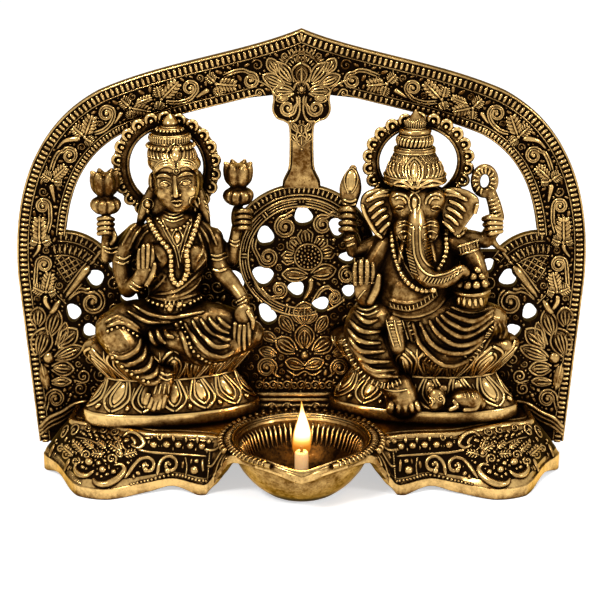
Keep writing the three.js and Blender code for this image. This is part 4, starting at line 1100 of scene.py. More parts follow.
def tree_of(mesh):
    bm = bmesh.new()
    bm.from_mesh(mesh)
    tree = BVHTree.FromBMesh(bm)
    bm.free()
    return tree


def met(tree, start, along):
    """Where a line first meets a surface, and the direction outwards there."""
    place, normal, _, _ = tree.ray_cast(start, along)
    if place is None:
        return None, None
    return place, (normal if normal.dot(along) < 0 else -normal)


def seen_on(tree):
    """Finds the place on a surface under a point of the photograph."""
    return lambda px, py: met(tree, EYE, sight(px, py))


def under(tree):
    """Finds the place on a surface straight under a point in plan."""
    return lambda x, y: met(tree, Vector((x, y, 80)), Vector((0, 0, -1)))


def wing_ornament(relief):
    """The ornament of the base's left wing, drawn over the photograph."""
    line, dome, spiral = relief.line, relief.dome, relief.spiral
    for px, py in ((153.9, 445), (166.7, 444.8), (178.5, 445), (190.7, 446), (202.4, 446.6)):
        dome((px, py), 4.3, 4.0, 2.1)
    line([(138, 449.6), (150, 452.2), (170, 453.8), (190, 455), (206, 456.3)], [0.7, 0.9, 0.8, 0.8, 0.6])
    spiral((147.3, 465.5), 8.4, 120, 1.05, -1, [(125, 478), (132, 468), (138.5, 460.5)], 1.15)
    spiral((169.8, 464.5), 9.0, 150, 1.15, -1, [(157.5, 475), (158.6, 466)], 1.15)
    dome((145.6, 470), 3.4, 3.4, 1.6)
    dome((167.5, 470.5), 3.6, 3.6, 1.6)
    dome((196.7, 461.2), 3.0, 2.8, 1.3)
    dome((194.7, 469.9), 5.0, 4.8, 2.3)
    for k in range(18):
        t = k / 17
        dome((210 - 2.4 * t, 452 + 28.5 * t), 1.1, 1.1, 0.55)
        dome((185.6 + 1.4 * math.sin(math.pi * t), 458 + 18 * t), 1.0, 1.0, 0.5)
    beads = [(131, 484.5), (141, 482), (151.4, 479.6), (164, 476), (176.9, 474.6), (186, 477),
             (196, 479.8), (206, 481)]
    run = smooth_points(beads, 3)
    for px, py in run:
        dome((px, py), 1.8, 1.7, 0.9)
    line([(93, 478), (97, 483.5), (107, 484), (118, 478), (124.5, 470), (121, 464.5), (114, 465.5)],
         [0.6, 1.5, 2.0, 1.9, 1.6, 1.2, 0.7])
    line([(77, 461.5), (75.5, 469), (80, 475), (88, 475.5), (94.5, 470)], [0.6, 1.3, 1.7, 1.4, 0.8])
    for px, py, r in ((89.5, 462.3, 4.6), (102.9, 469.9, 4.1), (113.8, 472.3, 3.4), (99, 463.6, 3.0),
                      (120.8, 453.5, 3.0), (105, 461, 2.2), (128, 463, 2.2), (131, 470.5, 2.0),
                      (83, 467.5, 2.4)):
        dome((px, py), r, r * 0.95, 0.5 * r)
    spiral((111.8, 459), 5.0, -40, 1.2, 1, [(118, 465)], 0.7)
    spiral((121, 453.5), 6.5, 20, 0.95, 1, [(131, 458)], 0.6)
    line([(123, 437), (130, 432), (139, 435), (144, 443.5), (138, 448), (131, 444.5)],
         [0.6, 1.2, 1.3, 1.2, 1.0, 0.7])
    line([(131, 437), (135, 441.5), (134, 446)], [0.8, 1.0, 0.6])
    for base, tip, width in (((122, 452), (109, 444), 7), ((122, 450), (117, 437.5), 6),
                             ((124, 455.5), (137, 452), 7), ((106, 449), (98, 441.5), 6),
                             ((104, 455), (92, 454), 7), ((94, 449), (84, 441), 6),
                             ((83, 452), (75, 443), 7), ((74, 456), (64, 447), 7)):
        relief.lobe(base, tip, width, 4, 1.1, 0.5)
    for k in range(6):
        dome((84 + 6.3 * k, 434.2 + 0.9 * k), 2.9, 1.7, 1.1, -35)
    line([(76, 437), (88, 440), (99, 445), (107, 450)], [0.4, 0.7, 0.7, 0.5])
    for px, py, r, start, sense in ((67, 455.5, 4.6, 30, 1), (76, 461, 4.2, 60, -1),
                                    (86.5, 455, 4.6, 200, -1), (61, 449, 3.6, 0, 1)):
        spiral((px, py), r, start, 1.2, sense, [], 0.65)
    for k in range(16):
        dome((57 + 5.4 * (k % 8) + (k // 8) * 2.4, 443.5 + 6 * (k // 8) + 0.9 * (k % 8)), 1.2, 1.1, 0.7)


def wing_rib_rows(relief):
    """Fine ribs beside the side edges, in plan."""
    edge, brow, _, _ = base_runs(12)
    for i in range(8, 72):
        p, b = edge[i], brow[i]
        inward = (b - p).normalized()
        ends = [p + inward * d for d in (1.2, 2.2, 3.4)]
        if abs(p.x) > 100:
            relief.line([(q.x, q.y) for q in ends], [0.3, 0.4, 0.3], 1)


def brow_lip(relief):
    """The rolled lip where the platform ends."""
    _, brow, _, _ = base_runs(4)
    for side in (-1, 1):
        run = [(p.x, p.y + 0.8) for p in brow if side * p.x > BOWL_HALF_WIDTH + 9]
        relief.line(run, 2.0, 1, taper=True, lift=-1.0)
        relief.line([(x * 0.985, y + 4.2) for x, y in run], 0.9, 1, taper=True, lift=-0.4)


def base_finishes(mesh, names):
    """Each face's finish by number: field of the wings, bowl's inside, or the polished edge and outside."""
    field = wing_field()
    bowl = [(p.x, p.y) for p in bowl_ring(0.97, 0, sides=48)]
    outside = [(p.x, p.y) for p in bowl_ring(1.06, 0, 1, sides=48)]
    numbers = []
    for face in mesh.polygons:
        c, n = face.center, face.normal
        by_bowl = abs(c.x) < BOWL_HALF_WIDTH + 4
        label = "ground"
        if by_bowl and n.z > 0.1 and inside(c.x, c.y, bowl):
            label = "hollow"
        elif by_bowl and n.z < 0.4 and inside(c.x, c.y, outside):
            label = "polished"
        elif abs(n.z) < 0.7 and c.z < 9 and c.y < -6:
            label = "polished"
        elif n.z > 0.3 and abs(c.x) > BOWL_HALF_WIDTH + 11 and inside(c.x, c.y, field):
            label = "field"
        numbers.append(names.index(label))
    return numbers


def wing_field():
    """The outline in plan of the chased field of the base."""
    edge, brow, _, _ = base_runs(1)
    near = [(p.lerp(q, 0.13).x, p.lerp(q, 0.13).y) for p, q in zip(edge, brow)]
    return near + [(p.lerp(q, 0.93).x, p.lerp(q, 0.93).y) for p, q in zip(edge, brow)][::-1]


def wing_curls(wing, surface):
    """Small curls and grains between the left wing's scrolls."""
    field = wing_field()
    marks = taken([wing], 1) + [(x, y, 0.5) for x, y in field]
    free = lambda x, y: x < -BOWL_HALF_WIDTH - 12 and inside(x, y, field)
    left, front = min(p[0] for p in field), min(p[1] for p in field)
    return fill_gaps(Relief(surface, up=1, bold=1.25), marks, free,
                     [(left, -BOWL_HALF_WIDTH, front, -20)], 0.7, 3.2)


def bowl_border(relief):
    """A raised collar of notches and scallops round the bowl, ribs on its flares and bars down its inside."""
    def spokes(count, grows, least):
        """Places out from the bowl's lip, one row of them for each spoke that stands clear of the spout."""
        for rows in zip(*(bowl_ring(1, 0, grow, 1, sides=count) for grow in grows)):
            if math.atan2(abs(rows[0].x), BOWL_CENTRE_Y - rows[0].y) > least:
                yield rows

    def raised(rows, heights, widths):
        relief.lines.append([(Vector((p.x, p.y, z)), w) for p, z, w in zip(rows, heights, widths)])

    top = PLATFORM_Z
    collar = [p for (p,) in spokes(180, (4.0,), 0.45)]
    raised(collar, [top + 0.5] * len(collar), [1.4] * len(collar))
    for rows in spokes(84, (2.2, 3.2, 4.4, 5.7), 0.5):
        raised(rows, (top + 1.2, top + 1.7, top + 1.4, top + 0.5), (0.5, 0.85, 0.9, 0.7))
    for (p,) in spokes(62, (7.4,), 1.2):
        out = (p - Vector((0, BOWL_CENTRE_Y, p.z))).normalized()
        across = Vector((-out.y, out.x, 0))
        relief.domes.append((Vector((p.x, p.y, top + 0.5)), out * 1.75, across * 1.5, Vector((0, 0, 1.7))))
    for rows in spokes(BOWL_REEDS, (-5.8, -4.4, -2.8, -1.4), 0.7):
        relief.line([q[:2] for q in rows], [0.5, 0.8, 0.85, 0.6], 1)
    for grow, width in ((0.3, 0.5), (1.5, 0.75)):
        whole = [q[:2] for q in bowl_ring(1, 0, grow, 1)]
        relief.line(whole + whole[:1], width, 1, taper=False, lift=-0.1)
    for side in (-1, 1):
        for k in range(8):
            t = math.radians(56 + 5.5 * k)
            at = lambda grow, lean: (side * (BOWL_HALF_WIDTH + grow) * math.sin(t + lean),
                                     BOWL_CENTRE_Y - (BOWL_HALF_DEPTH + grow) * math.cos(t + lean))
            relief.line([at(6.2 + 2 * i, 0.012 * i) for i in range(3 + k // 2)],
                        [0.7] + [0.9] * (2 + k // 2), 2)


def behind_bowl(relief):
    """Four scrolls on the platform behind the bowl."""
    spiral = relief.spiral
    for px, sense in ((272, -1), (287, 1), (316, -1), (331, 1)):
        spiral((px, 409), 6.0, 90 - 60 * sense, 1.25, sense, [(px + 9 * sense, 405)], 0.6)
        relief.dome((px, 409), 1.8, 1.8, 1.0)
    for px in (263, 301.5, 340):
        relief.dome((px, 411), 2.4, 2.0, 1.1)


# Figures. Their places are from the middle of each plinth's underside, in millimetres.
LAKSHMI = {"name": "lakshmi", "x": -64.8, "y": -12.5, "turn": 9.7, "a": 44, "b": 15.7}
GANESHA = {"name": "ganesha", "x": 61, "y": -7.5, "turn": -6.1, "a": 47.3, "b": 17.3}
PLINTH_PETALS = 14
PLINTH_SIDES = 168


class Clay:
    """The masses of a figure, gathered in one bmesh before they are fused."""

    def __init__(self, figure):
        self.figure = figure
        self.bm = bmesh.new()

    def blob(self, x, y, z, rx, ry, rz, tip=0, lean=0):
        shape = (Matrix.Translation((x, y, z)) @ Matrix.Rotation(math.radians(tip), 4, "Y")
                 @ Matrix.Rotation(math.radians(lean), 4, "X") @ Matrix.Diagonal((rx, ry, rz, 1)))
        bmesh.ops.create_uvsphere(self.bm, u_segments=24, v_segments=14, radius=1, matrix=shape)

    def limb(self, points, flat=1.0, sides=18, steps=4):
        """A tapered limb with rounded ends through points [x, y, z, radius]."""
        run = smooth_points(points, steps)
        centres = [Vector(p[:3]) for p in run]
        last = len(run) - 1
        rings = []
        front = None
        for i, p in enumerate(run):
            along = (centres[min(i + 1, last)] - centres[max(i - 1, 0)]).normalized()
            helper = Vector((0, 1, 0)) if abs(along.y) < 0.9 else Vector((0, 0, 1))
            side = along.cross(helper).normalized()
            front = side.cross(along).normalized()
            ring = lambda c, r: [c + side * (r * cos) + front * (r * flat * sin)
                                 for cos, sin in circle(sides)]
            ends = ((-0.97, 0.22), (-0.8, 0.6), (-0.42, 0.9)) if i == 0 else ()
            rings += [ring(centres[i] + along * (d * p[3]), r * p[3]) for d, r in ends]
            rings.append(ring(centres[i], p[3]))
            ends = ((0.42, 0.9), (0.8, 0.6), (0.97, 0.22)) if i == last else ()
            rings += [ring(centres[i] + along * (d * p[3]), r * p[3]) for d, r in ends]
        skin(self.bm, rings, closed=True, capped=True)

    def oval(self, rows, sides=40, steps=4, swell=None):
        """A turned form with an oval plan: [z, half width, half depth, x, y] for each row."""
        rows = [tuple(r) + (0,) * (5 - len(r)) for r in rows]
        rings = []
        for z, a, b, x, y in smooth_points(rows, steps):
            ring = []
            for k, (cos, sin) in enumerate(circle(sides)):
                grow = swell(k / sides, z) if swell else 1
                ring.append(Vector((x + a * cos * grow, y + b * sin * grow, z)))
            rings.append(ring)
        skin(self.bm, rings, closed=True, capped=True)

    def seen(self, px, py, depth):
        """The place in the photograph's view of a point at a depth, in the figure's own millimetres."""
        ray = sight(px, py)
        place = EYE + ray * ((self.figure["y"] + depth - EYE.y) / ray.y)
        return (place.x - self.figure["x"], depth, place.z - PLATFORM_Z - CLEAR)

    def lean_over(self, first, pivot, degrees):
        """Masses made since the vertex count "first" are turned sideways about a pivot."""
        self.bm.verts.ensure_lookup_table()
        bmesh.ops.rotate(self.bm, verts=self.bm.verts[first:], cent=pivot,
                         matrix=Matrix.Rotation(math.radians(degrees), 3, "Y"))

    def ring(self, x, y, z, outer, inner, thick, rows=64):
        """A flat upright ring with rounded edges, oval in front view."""
        sections = []
        for i in range(rows):
            t = 2 * math.pi * i / rows
            mid = ((outer[0] + inner[0]) / 2, (outer[1] + inner[1]) / 2)
            half = ((outer[0] - inner[0]) / 2, (outer[1] - inner[1]) / 2)
            section = []
            for k in range(12):
                s = 2 * math.pi * k / 12
                across = math.copysign(abs(math.cos(s)) ** 0.6, math.cos(s))
                deep = math.copysign(abs(math.sin(s)) ** 0.6, math.sin(s))
                section.append(Vector((x + (mid[0] + half[0] * across) * math.cos(t), y + thick / 2 * deep,
                                       z + (mid[1] + half[1] * across) * math.sin(t))))
            sections.append(section)
        skin(self.bm, sections + sections[:1], closed=True)
        bmesh.ops.remove_doubles(self.bm, verts=self.bm.verts, dist=1e-5)

    def mesh(self):
        place = Vector((self.figure["x"], self.figure["y"], PLATFORM_Z + CLEAR))
        bmesh.ops.translate(self.bm, vec=place, verts=self.bm.verts)
        return finished(self.bm, "clay")


def fused(mesh, voxel, smoothing=2):
    """Overlapping masses fused to one skin, softened a little."""
    bm = opened(evaluated(mesh, "REMESH", mode="VOXEL", voxel_size=voxel))
    for _ in range(smoothing):
        bmesh.ops.smooth_vert(bm, verts=bm.verts, factor=0.5, use_axis_x=True, use_axis_y=True,
                              use_axis_z=True)
    return new_mesh(bm, "fused")


def trimmed(mesh, back=-1.2):
    """A figure's back, made flat where it stands against the panel."""
    bm = opened(mesh)
    geometry = bm.verts[:] + bm.edges[:] + bm.faces[:]
    cut = bmesh.ops.bisect_plane(bm, geom=geometry, plane_co=(0, back, 0), plane_no=(0, 1, 0),
                                 clear_outer=True)
    rim = [e for e in cut["geom_cut"] if isinstance(e, bmesh.types.BMEdge)]
    bmesh.ops.holes_fill(bm, edges=rim, sides=0)
    return new_mesh(bm, "trimmed")


class Turned:
    """The surface of an oval turned form, drawn on by angle in degrees and height."""

    def __init__(self, figure, rows, turn=0.0, even=False):
        self.figure, self.turn = figure, math.radians(turn)
        self.rows = smooth_points([tuple(r) + (0,) * (5 - len(r)) for r in rows], 6)
        self.even = even
        if even:
            a, b = max(r[1] for r in self.rows), max(r[2] for r in self.rows)
            steps = 360
            run = [0.0]
            for k in range(steps):
                t0, t1 = 2 * math.pi * k / steps, 2 * math.pi * (k + 1) / steps
                run.append(run[-1] + math.hypot(a * (math.cos(t1) - math.cos(t0)),
                                                b * (math.sin(t1) - math.sin(t0))))
            self.table = [r / run[-1] * 360 for r in run]

    def angle(self, u):
        if not self.even:
            return math.radians(u)
        u = u % 360
        high = bisect.bisect_right(self.table, u, 1, 360)
        low = high - 1
        return math.radians(low + (u - self.table[low]) / (self.table[high] - self.table[low]))

    def place(self, u, z):
        rows = self.rows
        z = min(max(z, rows[0][0]), rows[-1][0])
        for r0, r1 in zip(rows, rows[1:]):
            if r0[0] <= z <= r1[0]:
                break
        t = (z - r0[0]) / (r1[0] - r0[0]) if r1[0] > r0[0] else 0
        _, a, b, x, y = (p + (q - p) * t for p, q in zip(r0, r1))
        turn = self.angle(u)
        px, py = a * math.cos(turn), b * math.sin(turn)
        c, s = math.cos(self.turn), math.sin(self.turn)
        return Vector((self.figure["x"] + x + px * c - py * s,
                       self.figure["y"] + y + px * s + py * c, PLATFORM_Z + CLEAR + z))

    def __call__(self, u, z):
        place = self.place(u, z)
        du = self.place(u + 1, z) - self.place(u - 1, z)
        dz = self.place(u, z + 0.3) - self.place(u, z - 0.3)
        out = du.cross(dz)
        return place, (out.normalized() if out.length > 1e-9 else Vector((0, -1, 0)))


def plinth_rows(figure):
    a, b = figure["a"], figure["b"]
    return [
        (0, a - 0.5, b - 0.5), (0.5, a, b), (5.6, a, b), (6.8, a - 0.7, b - 0.7), (7.4, a - 1.8, b - 1.6),
        (12, a - 5, b - 2.8), (17.5, a - 9, b - 4), (22, a - 11.8, b - 5.3), (23, a - 12.2, b - 5.5),
        (24, a - 11.8, b - 5.2), (29, a - 7.6, b - 2.6), (34, a - 3.5, b - 0.5), (38, a - 1.2, b + 0.6),
        (41.5, a - 2.6, b - 0.4), (43.4, a - 5.5, b - 2), (44, a - 8, b - 4),
    ]


def plinth_mesh(figure):
    rows = plinth_rows(figure)
    bm = bmesh.new()
    rings = []
    for z, a, b in smooth_points(rows, 3):
        lobes = 0.0
        if 8 < z < 22:
            lobes = 0.010 * math.sin((z - 8) / 14 * math.pi)
        if z > 24:
            lobes = 0.016 * min((z - 24) / 10, 1)
        ring = []
        for k, (cos, sin) in enumerate(circle(PLINTH_SIDES)):
            swell = 1 + lobes * math.cos(PLINTH_PETALS * (2 * math.pi * k / PLINTH_SIDES))
            ring.append(Vector((a * swell * cos, b * swell * sin, z)))
        rings.append(ring)
    skin(bm, rings, closed=True, capped=True)
    place = Matrix.Translation((figure["x"], figure["y"], PLATFORM_Z + CLEAR))
    stand = place @ Matrix.Rotation(math.radians(figure["turn"]), 4, "Z")
    bmesh.ops.transform(bm, matrix=stand, verts=bm.verts)
    return finished(bm, "plinth")


def plinth_ornament(figure, lower=12, upper=14, shift=0.0):
    """Down-turned petals with balls between them, and up-turned petals above the waist."""
    surface = Turned(figure, plinth_rows(figure), figure["turn"], even=True)
    relief = Relief(surface, up=1)
    pitch = 360 / lower
    for k in range(lower):
        u = 270 + shift + pitch * k
        relief.petal((u, 22.4), (u, 7.9), pitch * 0.86, 0, 0.8, 0, foot=0.5, point=0.5)
        relief.petal((u, 22.2), (u, 10.2), pitch * 0.5, 0, 0.75, 0.9, foot=0.5, point=0.6)
        relief.petal((u, 21.6), (u, 13.4), pitch * 0.2, 0, 0.45, 0.5)
        relief.dome((u + pitch / 2, 9.8), 2.6, 1.7, 1.9)
        relief.line([(u + pitch / 2, 19.5), (u + pitch / 2, 13.4)], 0.8, 3)
    pitch = 360 / upper
    for k in range(upper):
        v = 270 + shift + pitch * k
        relief.petal((v, 23.6), (v, 40.6), pitch * 0.94, 0, 0.9, 0, foot=0.45, point=0.6)
        relief.petal((v, 23.9), (v, 37.4), pitch * 0.58, 0, 0.8, 0.9, foot=0.5, point=0.8)
        relief.line([(v, 24.5), (v, 30), (v, 34.5)], 0.5, 2, lift=0.8)
        relief.line([(v + pitch / 2, 24.5), (v + pitch / 2, 32), (v + pitch / 2, 40)], 0.7, 2)
    relief.line([(u, 23.1) for u in range(0, 361, 4)], 0.9, 1, taper=False)
    return relief


def front_of(tree, figure):
    """Finds the place on a figure straight behind a point in front view, in its own millimetres."""
    def on(x, z):
        start = Vector((figure["x"] + x, -200, PLATFORM_Z + CLEAR + z))
        return met(tree, start, Vector((0, 1, 0)))
    return on


def beads(relief, points, pitch, radius, steps=8):
    """A string of beads through points of the drawing."""
    run = smooth_points(points, steps)
    places = [relief.on(*p[:2]) for p in run]
    reach = pitch
    last = None
    for place, out in places:
        if place is None:
            last = None
            continue
        if last is not None:
            reach += (place - last).length
        last = place
        if reach >= pitch:
            reach = 0.0
            side = out.orthogonal().normalized()
            relief.domes.append((place + out * radius * 0.35, side * radius, out.cross(side) * radius,
                                 out * radius))


def comb(relief, points, pitch, reach, width=0.4, steps=8):
    """Short teeth across a hem."""
    run = smooth_points(points, steps)
    places = [relief.on(*p[:2]) for p in run]
    gone = 0.0
    for (p0, _), (p1, n1) in zip(places, places[1:]):
        if p0 is None or p1 is None:
            continue
        gone += (p1 - p0).length
        if gone >= pitch and (p1 - p0).length > 1e-6:
            gone = 0.0
            across = (p1 - p0).normalized().cross(n1).normalized() * reach / 2
            relief.lines.append([(p1 - across, width * 0.7), (p1 + n1 * 0.15, width),
                                 (p1 + across, width * 0.7)])


def halo_face(figure, x, y, z):
    """The front of a flat ring, drawn on in millimetres from its middle."""
    place = Vector((figure["x"] + x, figure["y"] + y, PLATFORM_Z + CLEAR + z))
    return lambda u, v: (place + Vector((u, 0, v)), Vector((0, -1, 0)))


def halo_ring(clay, x, y, z, outer, inner):
    """A flat ring with a raised narrow ring along its inner edge."""
    narrow = 1.6
    clay.ring(x, y, z, (outer[0] - 1.4, outer[1] - 1.4), (inner[0] + 1, inner[1] + 1), 3)
    clay.ring(x, y - 0.4, z, (inner[0] + narrow, inner[1] + narrow), inner, 3.2)


def halo_ornament(relief, outer, inner, count=22):
    """Hooked beads all round a ring: a ball and an open curl round it."""
    for k in range(count):
        t = 2 * math.pi * (k + 0.5) / count
        radial = (math.cos(t), math.sin(t))
        middle = tuple((inner[i] + 2 + outer[i]) / 2 * radial[i] for i in (0, 1))
        lean = math.degrees(t)
        relief.dome((middle[0] - radial[0] * 0.5, middle[1] - radial[1] * 0.5), 1.35, 1.2, 1.5, lean)
        relief.arc(middle, 2.45, lean - 125, lean + 125, 1.05, 14)
        gap = t + math.pi / count
        relief.line([tuple((outer[i] - deep) * (math.cos, math.sin)[i](gap) for i in (0, 1))
                     for deep in (5.4, 1.6)], 0.7, 1)


def hand_fingers(clay, fingers):
    """Fingers drawn in the photograph's points: [px, py, depth, radius] each."""
    for finger in fingers:
        clay.limb([clay.seen(*p[:3]) + (p[3],) for p in finger], sides=12)


def lotus_bud(clay, x, y, z):
    """A grooved bulb with a half-open bud above it, held in a raised hand. Height z is the bulb's middle."""
    ribs = lambda u, at: 1.05 - 0.24 * max(0, math.cos(9 * 2 * math.pi * u)) ** 4
    clay.oval([(z - 5, 2.2, 2.2, x, y), (z - 4, 5.2, 4.2, x, y), (z - 1, 7.2, 5.6, x, y),
               (z + 2, 6.4, 5, x, y), (z + 4.2, 3, 2.8, x, y)], sides=72, swell=ribs)
    clay.oval([(z + 3.6, 2.6, 2.4, x, y), (z + 7, 4.2, 3.8, x, y), (z + 12.6, 4.8, 4.4, x, y),
               (z + 15, 3, 2.8, x, y), (z + 15.8, 1, 1, x, y)])
    for k in range(6):
        t = math.radians(k * 60 - 60)
        c, s = math.cos(t), math.sin(t)
        clay.limb([(x + 2.2 * c, y + 2 * s, z + 4.6, 1.5), (x + 4 * c, y + 3.6 * s, z + 8, 2.6),
                   (x + 4.4 * c, y + 3.9 * s, z + 12, 2.9),
                   (x + 5.2 * c, y + 4.6 * s, z + 14.4, 2.2),
                   (x + 6 * c, y + 5.2 * s, z + 15.6, 1.1)], sides=16)


def calm_face(clay, x, y, z, k, tilt):
    """A plain, evenly proportioned face on a head of its own: eyes at half its height,
    the nose to a quarter, the mouth below it. Sizes are for a head 25 mm tall."""
    first = len(clay.bm.verts)
    at = lambda dx, dy, dz: (x + dx * k, y + dy * k, z + dz * k)
    clay.oval([(z + dz * k, a * k, b * k, x, y + dy * k) for dz, a, b, dy in (
        (-12.5, 2, 1.8, -3.2), (-12, 3.6, 3.1, -2.9), (-10, 6.1, 5.4, -1.9), (-7, 8.1, 7.1, -0.9),
        (-3, 9.2, 8, -0.2), (1, 9.4, 8.2, 0.1), (4.4, 9.1, 8.1, 0.4), (7, 8.2, 7.4, 0.8),
        (9.6, 3, 3.4, 1.2))], sides=48)
    for side in (-1, 1):
        clay.limb([at(side * 1.6, -7.7, 3.1) + (0.6 * k,), at(side * 4, -7.4, 4.1) + (0.8 * k,),
                   at(side * 7, -5.4, 3.1) + (0.6 * k,)])
        clay.blob(*at(side * 3.9, -6.9, 0.2), 2.5 * k, 1.3 * k, 1.25 * k)
        clay.blob(*at(side * 4.9, -4.7, -4), 3.4 * k, 2.7 * k, 3.4 * k)
        clay.blob(*at(side * 1.4, -8.4, -4.3), 0.95 * k, 0.9 * k, 0.75 * k)
    clay.limb([at(0, -7.9, 3.4) + (0.8 * k,), at(0, -8.7, -0.6) + (0.85 * k,), at(0, -9.5, -4) + (1.2 * k,)])
    clay.limb([at(-3, -6.3, -7) + (0.4 * k,), at(-1, -7.8, -6.7) + (0.8 * k,), at(0, -7.8, -7) + (0.75 * k,),
               at(1, -7.8, -6.7) + (0.8 * k,), at(3, -6.3, -7) + (0.4 * k,)])
    clay.limb([at(-2.3, -6.3, -8.2) + (0.5 * k,), at(0, -7.5, -8.7) + (1.05 * k,),
               at(2.3, -6.3, -8.2) + (0.5 * k,)])
    clay.blob(*at(0, -5.3, -11), 2.4 * k, 1.7 * k, 1.5 * k)
    clay.lean_over(first, (x, y, z - 12 * k), tilt)


def face_lines(relief, x, z, k, tilt):
    """Brows, eyelids and the line of the lips, drawn in front view."""
    turn = math.radians(tilt)
    foot = z - 12 * k
    c, s = math.cos(turn), math.sin(turn)
    at = lambda dx, dz: (x + dx * k * c + (dz + 12) * k * s, foot - dx * k * s + (dz + 12) * k * c)
    for side in (-1, 1):
        for row, width in ((((1.4, 3.1), (3.6, 4.5), (5.8, 4.3), (7.6, 2.6)), 0.36),
                           (((1.5, -0.1), (3, 1.2), (5, 1.2), (6.9, -0.1)), 0.38),
                           (((1.7, -0.5), (3.6, -1.2), (5.4, -1), (6.6, -0.4)), 0.28)):
            relief.line([at(side * a, b) for a, b in row], width * k, 4)
        relief.dome(at(side * 3.9, 0.1), 0.95 * k, 0.8 * k, 0.3 * k)
    relief.line([at(a, b) for a, b in ((-2.7, -7.3), (-0.9, -6.5), (0, -6.8), (0.9, -6.5), (2.7, -7.3))],
                [0.3, 0.55, 0.5, 0.55, 0.3], 3)
    relief.line([at(a, b) for a, b in ((-2.1, -8.1), (0, -8.8), (2.1, -8.1))], [0.35, 0.75, 0.35], 3)


